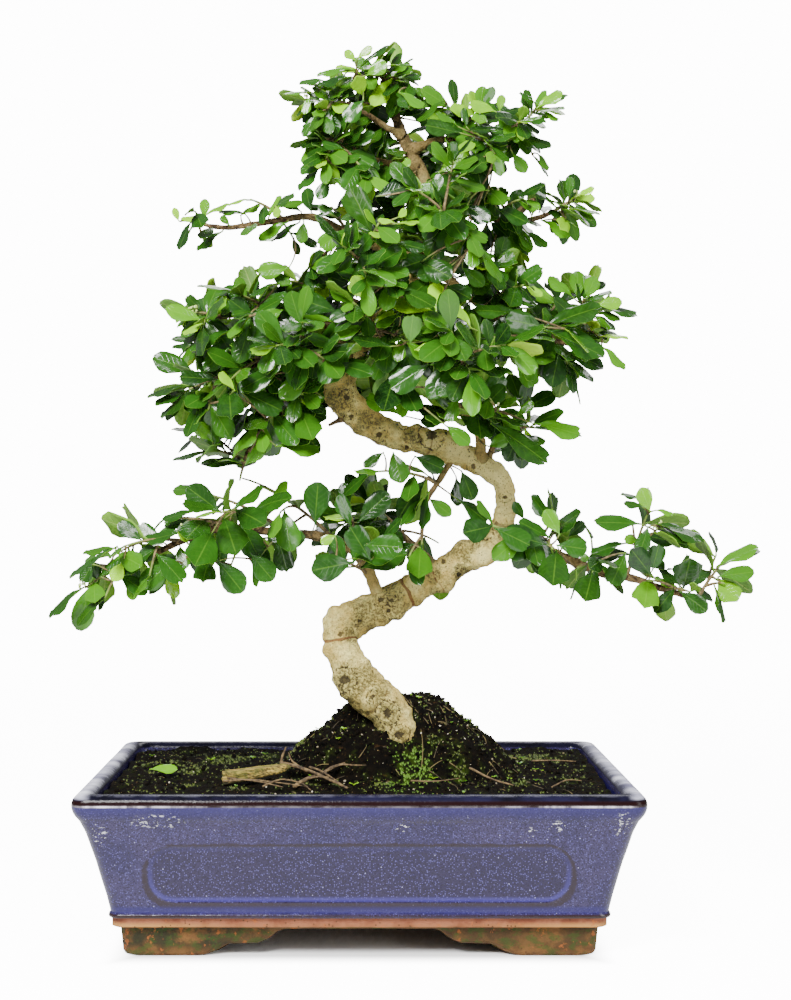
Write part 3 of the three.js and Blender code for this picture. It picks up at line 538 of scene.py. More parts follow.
def foot_rows():
    """The rows of the feet, from the inner top edge down, under, and up outside to the band."""
    low = foot_heights()
    drop = 17.2 - low
    curl = np.minimum(2.4, 0.4 * drop)
    return [
        (38.0 + 0 * low, 17.5 + 0 * low),
        (37.0 + 0 * low, low + 0.4 * drop),
        (36.5 + 0 * low, low),
        (29.0 + 0 * low, low),
        (FOOT_INSET + 0.9 * curl, low + 0.02 * curl),
        (FOOT_INSET + 0.35 * curl, low + 0.28 * curl),
        (FOOT_INSET + 0 * low, low + curl),
        (FOOT_INSET - 1.4 + 0 * low, 17.2 + 0 * low),
    ]


pot_rows = foot_rows() + [(inset + 0 * stations[:, 0], z + 0 * stations[:, 0]) for inset, z in wall_rows()]
print("rows up the pot:", len(pot_rows))

# %% [markdown]
# The panel is one millimetre deep, and its edge is what the glaze reacts to: thin and brown where
# it stands proud, thick and bright blue where it pools at the foot of the step. So the mesh keeps,
# for every point, its distance from the panel's outline. The same number sinks the panel here and
# colours the glaze later.

# %% Distance from the panel's outline
PANEL_MIDDLE = 49
PANEL_HALF_HEIGHT = 17
PANEL_CORNER = 15
PANEL_DEPTH = 1.1


def panel_distance(along, height, half_length):
    """Distance outside a rounded rectangle on a wall, and less than 0 inside it."""
    across = np.abs(along) - (half_length - PANEL_CORNER)
    up = np.abs(height - PANEL_MIDDLE) - (PANEL_HALF_HEIGHT - PANEL_CORNER)
    outer = np.hypot(np.maximum(across, 0), np.maximum(up, 0))
    return outer + np.minimum(np.maximum(across, up), 0) - PANEL_CORNER


def smooth_step(value, low, high):
    share = np.clip((value - low) / (high - low), 0, 1)
    return share * share * (3 - 2 * share)


def pot_places(inset, height):
    """The places of one row, with the distance from the panel at each."""
    core = np.array(POT_HALF) - CORNER - inset[:, None]
    places = stations[:, :2] * core + CORNER * stations[:, 2:]
    facing_front = np.abs(stations[:, 3]) > np.abs(stations[:, 2])
    distance = np.where(
        facing_front,
        panel_distance(places[:, 0], height, 120),
        panel_distance(places[:, 1], height, 72),
    )
    return places, distance


# %% Roll the sheet into the pot
pot_form = bmesh.new()
panel_layer = pot_form.verts.layers.float.new("panel")
bmesh.ops.create_grid(
    pot_form, x_segments=len(stations), y_segments=len(pot_rows) - 1, size=0.5
)
pot_form.verts.ensure_lookup_table()
row_places = []
for row, (inset, height) in enumerate(pot_rows):
    outer_wall = len(foot_rows()) + len(BAND) <= row < len(pot_rows) - len(RIM)
    places, distance = pot_places(inset, height)
    sunk = PANEL_DEPTH * (1 - smooth_step(distance, -2.2, 0.4)) * outer_wall
    places = places - stations[:, 2:] * sunk[:, None]
    wander = np.array([noise.noise(Vector((x / 40, y / 40, row / 14))) for x, y in places])
    places = places + stations[:, 2:] * (0.35 * wander * (row > 9))[:, None]
    distance = distance if outer_wall else distance * 0 + 60
    row_places.append((places, height, distance))
for vert in pot_form.verts:
    column = round((vert.co.x + 0.5) * len(stations)) % len(stations)
    row = round((vert.co.y + 0.5) * (len(pot_rows) - 1))
    places, height, distance = row_places[row]
    vert.co = (*places[column], height[column])
    vert[panel_layer] = float(distance[column])
bmesh.ops.remove_doubles(pot_form, verts=pot_form.verts, dist=0.001)
print("points in the rolled sheet:", len(pot_form.verts))

# %% [markdown]
# The sheet is open at both ends. Its inner end becomes the pot's floor, and the inner edge of the
# feet becomes its underside. Both have the two drain holes, so the edges of the holes are drawn
# first and a triangle fill leaves them open.

# %% Floor, underside and drain holes
DRAIN_PLACES = [(-78, 0), (78, 0)]
DRAIN_RADIUS = 9


def open_loops(bm):
    """The open edges, sorted into the lower and the upper loop."""
    edges = [edge for edge in bm.edges if edge.is_boundary]
    lower = [edge for edge in edges if edge.verts[0].co.z < 20]
    upper = [edge for edge in edges if edge.verts[0].co.z > 20]
    return lower, upper


def drain_loops(bm, height):
    """The two round edges of the drain holes at one height."""
    edges = []
    for x, y in DRAIN_PLACES:
        ring = bmesh.ops.create_circle(bm, segments=28, radius=DRAIN_RADIUS)["verts"]
        bmesh.ops.translate(bm, vec=(x, y, height), verts=ring)
        edges.extend({edge for vert in ring for edge in vert.link_edges})
    return edges


lower_loop, upper_loop = open_loops(pot_form)
lower_drains = drain_loops(pot_form, 17.5)
upper_drains = drain_loops(pot_form, 25.0)
bmesh.ops.triangle_fill(pot_form, use_beauty=True, edges=lower_loop + lower_drains)
bmesh.ops.triangle_fill(pot_form, use_beauty=True, edges=upper_loop + upper_drains)
bmesh.ops.bridge_loops(pot_form, edges=lower_drains[:28] + upper_drains[:28])
bmesh.ops.bridge_loops(pot_form, edges=lower_drains[28:] + upper_drains[28:])
for vert in pot_form.verts:
    if vert.co.z <= 17.5 or vert.co.z == 25.0:
        vert[panel_layer] = 60.0
bmesh.ops.recalc_face_normals(pot_form, faces=pot_form.faces)
print("open edges left in the pot:", sum(edge.is_boundary for edge in pot_form.edges))

# %% [markdown]
# ### Glaze and bare clay
#
# The glaze is a cobalt blue over a dark body. It is never one colour: fine violet grains float in
# it, it turns brown black where it runs thin over an edge, it pools bright blue under the panel's
# step, and hard water has left pale scuffs near the rim. The gloss is broken by a slight orange
# peel. The clay under the band is left bare, and years of damp have stained it green and dark.

# %% Blue glaze
glaze, tree, shader, place = new_finish("blue_glaze")
at = add_node(tree, "SeparateXYZ", Vector=place)
height = at.outputs["Z"]
panel = attribute(tree, "panel")
cloudy = mottling(tree, place, 28.0, 0.35, 0.65, 5.0)
colour = mixed(tree, cloudy, screen_colour(37, 32, 66), screen_colour(49, 42, 74))
inside = ramp(tree, panel, 1.0, -2.0)
colour = mixed(tree, sums(tree, "MULTIPLY", inside, 0.7), colour, screen_colour(30, 24, 48))
grain = add_node(tree, "TexNoise", Vector=place, Scale=1.1, Detail=3.0, Roughness=0.7).outputs[0]
colour = mixed(tree, ramp(tree, grain, 0.48, 0.6, 0.0, 0.9), colour, screen_colour(22, 15, 34))
colour = mixed(tree, speckles(tree, place, 0.95, 0.45, 0.4), colour, screen_colour(72, 68, 122))
colour = mixed(tree, speckles(tree, place, 3.0, 0.14, 0.2), colour, screen_colour(140, 140, 178))
under_lip = sums(tree, "MULTIPLY", ramp(tree, height, 80.0, 88.0), ramp(tree, height, 89.4, 90.0, 1.0, 0.0))
colour = mixed(tree, sums(tree, "MULTIPLY", under_lip, 0.65), colour, screen_colour(24, 18, 78))

# %% Where the glaze pools and where it runs thin
low_side = ramp(tree, height, 62.0, 34.0)
line_width = sums(tree, "MULTIPLY_ADD", low_side, 2.3, 1.0)
line_width = sums(tree, "ADD", line_width, mottling(tree, place, 9.0, 0.3, 0.7))
thin = sums(
    tree,
    "MULTIPLY",
    ramp(tree, panel, -0.7, 0.3),
    ramp(tree, sums(tree, "SUBTRACT", panel, line_width), -0.6, 0.5, 1.0, 0.0),
)


def spot_mask(x, z, reach_x, reach_z, inner=0.5):
    """A soft round mask about a place on the walls, seen from the front."""
    across = sums(tree, "DIVIDE", sums(tree, "SUBTRACT", at.outputs["X"], float(x)), float(reach_x))
    up = sums(tree, "DIVIDE", sums(tree, "SUBTRACT", height, float(z)), float(reach_z))
    square = sums(tree, "MULTIPLY_ADD", across, across, sums(tree, "MULTIPLY", up, up))
    return ramp(tree, square, inner, 1.0, 1.0, 0.0)


worn_corner = spot_mask(-113, 61, 8, 7)
thin = sums(tree, "MULTIPLY", thin, sums(tree, "MULTIPLY_ADD", worn_corner, -0.9, 1.0))
colour = mixed(tree, sums(tree, "MULTIPLY", thin, 0.85), colour, screen_colour(32, 22, 26))
pooled = sums(tree, "MULTIPLY", ramp(tree, panel, -4.2, -2.0), ramp(tree, panel, -1.2, -0.5, 1.0, 0.0))
pooled = sums(tree, "MULTIPLY", pooled, sums(tree, "MULTIPLY_ADD", low_side, 0.5, 0.15))
colour = mixed(tree, pooled, colour, screen_colour(52, 46, 112))
at_foot = sums(tree, "MULTIPLY", ramp(tree, height, 25.4, 26.6), ramp(tree, height, 28.4, 31.0, 1.0, 0.0))
colour = mixed(tree, sums(tree, "MULTIPLY", at_foot, 0.65), colour, screen_colour(28, 22, 82))
to_corner = ramp(tree, sums(tree, "ABSOLUTE", at.outputs["X"]), 40.0, 120.0)
bead = sums(tree, "MULTIPLY", ramp(tree, height, 25.6, 24.8), sums(tree, "MULTIPLY_ADD", to_corner, 0.3, 0.7))
colour = mixed(tree, bead, colour, screen_colour(34, 20, 20))

# %% The rim's colours, and a painted highlight in the groove under it
to_end = ramp(tree, sums(tree, "ABSOLUTE", at.outputs["X"]), 60.0, 150.0)
beside_x = sums(tree, "SUBTRACT", sums(tree, "ABSOLUTE", at.outputs["X"]), float(POT_HALF[0]))
beside_y = sums(tree, "SUBTRACT", sums(tree, "ABSOLUTE", at.outputs["Y"]), float(POT_HALF[1]))
outer = ramp(tree, sums(tree, "MAXIMUM", beside_x, beside_y), -6.0, -4.0)
groove = sums(tree, "MULTIPLY", ramp(tree, height, 88.8, 89.6), ramp(tree, height, 92.0, 93.2, 1.0, 0.0))
groove = sums(tree, "MULTIPLY", groove, outer)
# Painted highlight: a white line for the soft box's reflection along the groove, stronger towards the pot's ends.
painted_gleam = sums(tree, "MULTIPLY", ramp(tree, height, 88.8, 89.3), ramp(tree, height, 89.8, 90.4, 1.0, 0.0))
painted_gleam = sums(tree, "MULTIPLY", painted_gleam, sums(tree, "MULTIPLY_ADD", to_end, 0.85, 0.1))
painted_gleam = sums(tree, "MULTIPLY", painted_gleam, mottling(tree, stretched(tree, place, 1, 0, 0), 15.0, 0.4, 0.6))
painted_gleam = sums(tree, "MULTIPLY", painted_gleam, outer)
rim = ramp(tree, height, 91.6, 92.6)
rim_dark = mixed(tree, cloudy, screen_colour(10, 9, 19), screen_colour(24, 22, 44))
brushed = mottling(tree, stretched(tree, place, 0.5, 0.9, 0.3), 26.0, 0.32, 0.7, 8.0)
wander = sums(tree, "MULTIPLY_ADD", brushed, 3.0, sums(tree, "ABSOLUTE", at.outputs["X"]))
to_side = ramp(tree, wander, 150.0, 157.5)
rim_pale = mixed(tree, brushed, screen_colour(110, 108, 136), screen_colour(226, 226, 236))
rim_top = ramp(tree, height, 92.6, 94.4)
pale_share = sums(tree, "MULTIPLY", rim_top, to_side)
colour = mixed(tree, rim, colour, mixed(tree, pale_share, rim_dark, rim_pale))
colour = mixed(tree, groove, colour, screen_colour(24, 9, 10))
colour = mixed(tree, painted_gleam, colour, screen_colour(214, 206, 216))
crest = sums(tree, "MULTIPLY", ramp(tree, height, 94.3, 94.8), mottling(tree, place, 8.0, 0.42, 0.62, 6.0))
colour = mixed(tree, sums(tree, "MULTIPLY", crest, 0.15), colour, screen_colour(120, 118, 140))

# %% Scuffs and gloss of the glaze
SCUFFS = [(-113, 81, 19, 5), (-146, 73, 6, 9), (147, 79, 6, 9), (110, 78, 8, 4), (95, 74, 6, 4), (24, 77, 5, 3)]
where = spot_mask(*SCUFFS[0], inner=0.1)
for scuffed in SCUFFS[1:]:
    where = sums(tree, "MAXIMUM", where, spot_mask(*scuffed, inner=0.1))
scratches = mottling(tree, stretched(tree, place, 0.6, 0.6, 1.2), 2.0, 0.57, 0.61, 8.0)
scuffs = sums(tree, "MULTIPLY", scratches, where)
colour = mixed(tree, sums(tree, "MULTIPLY", scuffs, 0.85), colour, screen_colour(206, 206, 210))
feed(tree, shader.inputs["Base Color"], colour)
worn = sums(tree, "MAXIMUM", scuffs, pale_share)
feed(tree, shader.inputs["Roughness"], ramp(tree, worn, 0.0, 1.0, 0.2, 0.55))
shader.inputs["Specular IOR Level"].default_value = 0.38
peel = add_node(tree, "TexNoise", Vector=place, Scale=0.5, Detail=4.0).outputs[0]
relief(tree, shader, peel, 0.5, 0.3)
rim_glaze = glaze.copy()
rim_glaze.name = "rim_glaze"
rim_glaze.node_tree.nodes["Principled BSDF"].inputs["Specular IOR Level"].default_value = 0.1
print("blue glaze nodes:", len(tree.nodes))

# %% Bare stained clay
clay, tree, shader, place = new_finish("bare_clay")
at = add_node(tree, "SeparateXYZ", Vector=place)
height = at.outputs["Z"]
patches = mottling(tree, place, 12.0, 0.38, 0.62, 5.0)
colour = mixed(tree, patches, screen_colour(74, 49, 23), screen_colour(106, 72, 34))
band = ramp(tree, height, 17.2, 18.4)
colour = mixed(tree, band, colour, mixed(tree, patches, screen_colour(104, 56, 36), screen_colour(128, 78, 54)))
to_corner = ramp(tree, sums(tree, "ABSOLUTE", at.outputs["X"]), 60.0, 135.0)
lip = sums(tree, "MULTIPLY", band, ramp(tree, height, 21.4, 18.4))
lip = sums(tree, "MULTIPLY", lip, sums(tree, "MULTIPLY_ADD", to_corner, 0.7, 0.15))
colour = mixed(tree, lip, colour, screen_colour(166, 120, 62))
on_feet = sums(tree, "SUBTRACT", 1.0, band)
to_left = ramp(tree, at.outputs["X"], -40.0, -90.0)
high = ramp(tree, height, 2.5, 8.0, 0.25, 1.0)
grime_share = sums(tree, "MULTIPLY", sums(tree, "MULTIPLY_ADD", to_left, 0.45, 0.45), high)
cloud = mottling(tree, place, 13.0, 0.32, 0.52, 6.0)
grime = sums(tree, "MULTIPLY", cloud, sums(tree, "MULTIPLY", on_feet, grime_share))
colour = mixed(tree, grime, colour, screen_colour(26, 30, 14))
algae = mottling(tree, stretched(tree, place, 1, 1, 1.8), 8.0, 0.48, 0.6, 6.0)
colour = mixed(tree, sums(tree, "MULTIPLY", sums(tree, "MULTIPLY", algae, on_feet), 0.6), colour, screen_colour(40, 60, 14))
chips = mottling(tree, place, 5.0, 0.6, 0.66, 6.0)
colour = mixed(tree, sums(tree, "MULTIPLY", chips, 0.6), colour, screen_colour(150, 82, 34))
colour = mixed(tree, speckles(tree, place, 2.2, 0.3, 0.3), colour, screen_colour(70, 44, 22))
feed(tree, shader.inputs["Base Color"], colour)
shader.inputs["Roughness"].default_value = 0.8
shader.inputs["Specular IOR Level"].default_value = 0.25
gritty = add_node(tree, "TexNoise", Vector=place, Scale=0.8, Detail=6.0, Roughness=0.7).outputs[0]
relief(tree, shader, gritty, 0.7, 0.6)
print("bare clay nodes:", len(tree.nodes))

# %% The pot as a piece
for face in pot_form.faces:
    middle = face.calc_center_median().z
    face.material_index = 1 if middle < 23.0 else 2 if middle > 90.8 else 0
pot = finish_piece("glazed_pot", pot_form, [glaze, clay, rim_glaze], ["pot"], sharp_over=50)
print("pot triangles:", triangles(pot))

# %% [markdown]
# ### Drain meshes
#
# Under the soil each drain hole is covered by a square of plastic mesh. Its shape is right in the
# CAD, so the node stays and only gets a better finish: black plastic with a fine grain.

# %% Drain mesh plastic
mesh_plastic, tree, shader, place = new_finish("mesh_plastic")
dust = mottling(tree, place, 3.0, 0.4, 0.7)
feed(tree, shader.inputs["Base Color"], mixed(tree, dust, screen_colour(24, 25, 27), screen_colour(52, 48, 42)))
shader.inputs["Roughness"].default_value = 0.55
relief(tree, shader, add_node(tree, "TexNoise", Vector=place, Scale=2.0).outputs[0], 0.2, 0.4)
for name in ("drain_mesh_left", "drain_mesh_right"):
    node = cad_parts[name]
    node.data.materials.clear()
    node.data.materials.append(mesh_plastic)
print("drain meshes finished")

# %% [markdown]
# ## The soil
#
# The soil is a dark mix of peat and bark that was heaped up round the foot of the trunk and has
# crusted over. The CAD gives the heap. Here a fine sheet is laid over the same heap, and three
# layers of noise give it clods, crumbs and grains. Real crumbs are scattered on it after that,
# because a height alone never overhangs.

# %% The height of the soil
SOIL_LEVEL = 91


def clip_step(value, low, high):
    share = min(1, max(0, (value - low) / (high - low)))
    return share * share * (3 - 2 * share)


def mound_height(x, y):
    """The height of the mound over the level soil."""
    across_x = (x - 26) / (77 if x < 26 else 72)
    across_y = (y - 8) / (47 if y < 8 else 64)
    return 50 * (1 - min(1, math.hypot(across_x, across_y)) ** 1.8)


def soil_top(x, y):
    """The soil's surface as the CAD has it."""
    mound = mound_height(x, y)
    to_right = clip_step(x, 60, 150) * clip_step(-y, -20, 90)
    lumps = 1.1 * math.sin(x / 7.3 + 1.7 * math.sin(y / 9.1)) + 0.9 * math.sin(y / 6.1 + x / 13)
    return SOIL_LEVEL + mound - 5 * to_right + lumps * (1 + 1.2 * min(1, mound / 12))


def clods(x, y):
    """Clods, crumbs and grains over the soil's surface."""
    at = Vector((x, y, 0))
    large = noise.noise(at / 9)
    middle = abs(noise.noise(at / 3.6 + Vector((7, 3, 1))))
    small = noise.noise(at / 1.7 + Vector((2, 9, 4)))
    on_mound = min(1, mound_height(x, y) / 14)
    return 1.1 * large + (1.5 + 1.2 * on_mound) * (middle - 0.25) + 0.45 * small


def soil_surface(x, y):
    return soil_top(x, y) + clods(x, y)


soil_form = bmesh.new()
bmesh.ops.create_grid(soil_form, x_segments=228, y_segments=154, size=0.5)
bmesh.ops.scale(soil_form, vec=(2 * 147.6, 2 * 100.1, 1), verts=soil_form.verts)
for vert in soil_form.verts:
    vert.co.z = soil_surface(vert.co.x, vert.co.y)
rim_edges = [edge for edge in soil_form.edges if edge.is_boundary]
skirt = bmesh.ops.extrude_edge_only(soil_form, edges=rim_edges)["geom"]
for vert in (item for item in skirt if isinstance(item, bmesh.types.BMVert)):
    vert.co.z = 70
    vert.co.x *= 0.97
    vert.co.y *= 0.96
bmesh.ops.holes_fill(soil_form, edges=[edge for edge in soil_form.edges if edge.is_boundary])
bmesh.ops.recalc_face_normals(soil_form, faces=soil_form.faces)
print("soil faces:", len(soil_form.faces))

# %% [markdown]
# Wet soil is almost black, and what lifts it are brown fibres, pale grains and a film of algae.
# The moss patches are given as places with a reach, so that the green film under the moss and the
# moss itself fall together.

# %% Soil finish
MOSS_PATCHES = [
    (33, -36, 17), (14, -44, 9), (-86, 50, 20), (-62, 66, 12), (113, 58, 22), (84, 74, 12), (-122, 30, 12),
    (-30, -52, 10), (60, -30, 9), (70, 20, 14), (-70, -70, 8), (-14, 30, 12), (40, 66, 12), (128, -20, 8),
    (-105, 8, 12), (-136, 25, 7), (-115, 88, 6), (96, -40, 8), (-40, 20, 9), (78, 48, 12), (-100, -50, 8),
]
soil_earth, tree, shader, place = new_finish("dark_soil")
clod_tone = mottling(tree, place, 6.0, 0.35, 0.65, 6.0)
colour = mixed(tree, clod_tone, screen_colour(4, 3, 2), screen_colour(16, 12, 7))
fibres = mottling(tree, stretched(tree, place, 0.5, 1.6, 1.0), 2.4, 0.62, 0.7, 4.0)
colour = mixed(tree, sums(tree, "MULTIPLY", fibres, 0.6), colour, screen_colour(60, 42, 22))
bits = speckles(tree, place, 1.5, 0.34, 0.2)
colour = mixed(tree, sums(tree, "MULTIPLY", bits, 0.7), colour, screen_colour(52, 40, 18))
colour = mixed(tree, speckles(tree, place, 2.2, 0.2, 0.1), colour, screen_colour(120, 100, 66))
moss_film = attribute(tree, "moss")
film = sums(tree, "MULTIPLY", moss_film, mottling(tree, place, 3.0, 0.4, 0.6, 5.0))
colour = mixed(tree, sums(tree, "MULTIPLY", film, 0.8), colour, screen_colour(40, 56, 8))
feed(tree, shader.inputs["Base Color"], colour)
shader.inputs["Specular IOR Level"].default_value = 0.06
feed(tree, shader.inputs["Roughness"], ramp(tree, clod_tone, 0.0, 1.0, 0.75, 0.95))
grit = add_node(tree, "TexNoise", Vector=place, Scale=1.3, Detail=6.0, Roughness=0.75).outputs[0]
relief(tree, shader, grit, 1.6, 0.9)


def moss_share(x, y):
    """How mossy a place is, 0 to 1."""
    best = 0.0
    for patch_x, patch_y, reach in MOSS_PATCHES:
        away = math.hypot(x - patch_x, y - patch_y) / reach
        best = max(best, 1 - away ** 2)
    ragged = noise.noise(Vector((x / 6, y / 6, 3)))
    return min(1, max(0, best + 0.7 * ragged))


moss_layer = soil_form.verts.layers.float.new("moss")
for vert in soil_form.verts:
    vert[moss_layer] = moss_share(vert.co.x, vert.co.y)
soil = finish_piece("potting_soil", soil_form, [soil_earth], ["soil"], sharp_over=80)
print("soil triangles:", triangles(soil))

# %% [markdown]
# ## Copies of a small blank
#
# Crumbs, moss sprigs and leaves are all the same idea: a small blank is made once with mesh
# operators, then stamped many times, each copy turned, sized and bent its own way. Each draw is a
# hash of whole numbers, so every run grows the same tree.


# %% Draws that never change
def draw(*keys):
    """A draw between 0 and 1 that depends on whole numbers alone."""
    value = 2166136261
    for key in keys:
        value = (value ^ (key + 1)) * 16777619 & 0xFFFFFFFF
        value = (value ^ (value >> 15)) * 2246822519 & 0xFFFFFFFF
        value ^= value >> 13
    return value / 4294967296


def mix(low, high, share):
    return low + (high - low) * share


def as_blank(bm, name):
    """Keeps a small form as a mesh that can be stamped, with its places as an array."""
    mesh = bpy.data.meshes.new(name)
    bm.to_mesh(mesh)
    bm.free()
    places = np.zeros(len(mesh.vertices) * 3)
    mesh.vertices.foreach_get("co", places)
    return mesh, places.reshape(-1, 3)


def stamp(bm, blank, copies):
    """Adds a copy of a blank for each list of places. Gives the new points, copy by copy."""
    mesh, flat = blank
    start = len(bm.verts)
    for _ in copies:
        bm.from_mesh(mesh)
    fresh = list(bm.verts)[start:]
    for vert, at in zip(fresh, np.concatenate(copies)):
        vert.co = at
    return [fresh[first:first + len(flat)] for first in range(0, len(fresh), len(flat))]


def turned(direction, roll):
    """Three axes, of which the last points along a direction, turned about it by an angle."""
    last = np.array(direction, float)
    last /= np.linalg.norm(last)
    helper = np.array((0, 0, 1.0)) if abs(last[2]) < 0.9 else np.array((1.0, 0, 0))
    first = np.cross(helper, last)
    first /= np.linalg.norm(first)
    second = np.cross(last, first)
    return np.array(
        [
            first * math.cos(roll) + second * math.sin(roll),
            second * math.cos(roll) - first * math.sin(roll),
            last,
        ]
    )


print("three draws:", [round(draw(1, step), 3) for step in range(3)])

# %% [markdown]
# ### Crumbs
#
# A crumb is a twenty sided ball that has been pushed out of shape. Most are small and a few are larger, and half of
# them gather on the mound, where the soil has dried and cracked.

# %% Crumbs of soil
crumb_form = bmesh.new()
bmesh.ops.create_icosphere(crumb_form, subdivisions=1, radius=1)
crumb_blank = as_blank(crumb_form, "crumb_blank")


def soil_place(*keys, spread_x=143, spread_y=96):
    """A place on the soil that depends on whole numbers alone."""
    return mix(-spread_x, spread_x, draw(*keys, 1)), mix(-spread_y, spread_y, draw(*keys, 2))


def near_mound(*keys):
    """A place on the mound, closer together towards its top."""
    angle = 6.2832 * draw(*keys, 1)
    away = draw(*keys, 2) ** 0.6
    return 26 + 74 * away * math.cos(angle), 8 + 54 * away * math.sin(angle)


def crumb_places(key, x, y, size):
    """The points of one crumb, lying half sunk in the soil."""
    _, ball = crumb_blank
    rough = [
        0.72 + 0.55 * draw(key, 7, index) for index in range(len(ball))
    ]
    axes = turned((draw(key, 3) - 0.5, draw(key, 4) - 0.5, draw(key, 5) - 0.2), 6.28 * draw(key, 6))
    sizes = np.array((mix(0.7, 1.2, draw(key, 8)), mix(0.6, 1.0, draw(key, 9)), mix(0.45, 0.8, draw(key, 10))))
    return (ball * sizes * np.array(rough)[:, None]) @ axes * size + (x, y, soil_surface(x, y) + 0.25 * size)


crumbs = bmesh.new()
crumb_copies = []
for key in range(2600):
    spot = near_mound(key, 21) if key % 2 else soil_place(key, 22)
    crumb_copies.append(crumb_places(key, *spot, mix(0.5, 2.2, draw(key, 11) ** 3)))
stamp(crumbs, crumb_blank, crumb_copies)
soil_crumbs = finish_piece("soil_crumbs", crumbs, [soil_earth])
print("crumb triangles:", triangles(soil_crumbs))

# %% [markdown]
# ## Wood
#
# The trunk follows forty places that were read from the tree, with a radius at each. The limbs are
# the same with a radius that falls evenly. A rod could be a curve object with a bevel, but bark
# has knots, scars and swellings at known places. So each rod is a flat sheet that is rolled round
# its line, and the roll can be pushed in or out anywhere.

# %% The tree's own places
TRUNK = [
    (38, -9, 64, 7.5), (37, -10, 82, 8.2), (33, -11, 98, 9), (29, -12, 110, 10), (22, -13, 123, 12),
    (15, -13, 134, 13.2), (2, -11, 146, 13.6), (-6, -9, 158, 12), (-11, -7, 171, 10.5), (-10, -4, 181, 11.2),
    (2, 0, 189, 10.8), (20, 3, 198, 10.2), (35, 5, 205, 8.7), (49, 7, 213, 8.3), (63, 8, 222, 8.7),
    (75, 8, 228, 9.6), (85, 7, 236, 8.4), (90, 5, 248, 7), (91, 3, 260, 6.6), (89, 1, 270, 6.8),
    (82, -1, 278, 7.3), (68, -3, 286, 7.9), (53, -5, 293, 8.4), (37, -7, 297, 8.1), (23, -9, 299, 8.2),
    (10, -10, 305, 9.2), (-2, -10, 315, 9.4), (-10, -9, 325, 9.6), (-12, -7, 336, 9), (-8, -3, 349, 7.9),
    (4, 3, 364, 7.5), (23, 9, 384, 6.9), (39, 11, 405, 6.2), (45, 9, 424, 5.8), (44, 5, 444, 5.2),
    (38, 1, 464, 4.6), (29, -1, 481, 4), (23, -2, 496, 3.2), (18, -3, 510, 2.6), (15, -4, 522, 2),
]
KNOTS = [
    (9.4, (-0.7, 0, 0.7), 0.18, 0.8), (11.2, (0.2, -0.4, -0.9), 0.2, 0.5), (13.2, (0.2, 0, -1), 0.3, 0.45),
    (14.3, (-0.4, -0.2, 0.9), 0.3, 0.5), (15.8, (0.7, 0, -0.7), 0.22, 0.5), (22, (0, -0.8, 0.6), 0.24, 0.6),
    (26.6, (-0.7, -0.3, -0.6), 0.2, 0.7), (28.2, (-0.9, -0.3, 0.2), 0.16, 0.6),
]
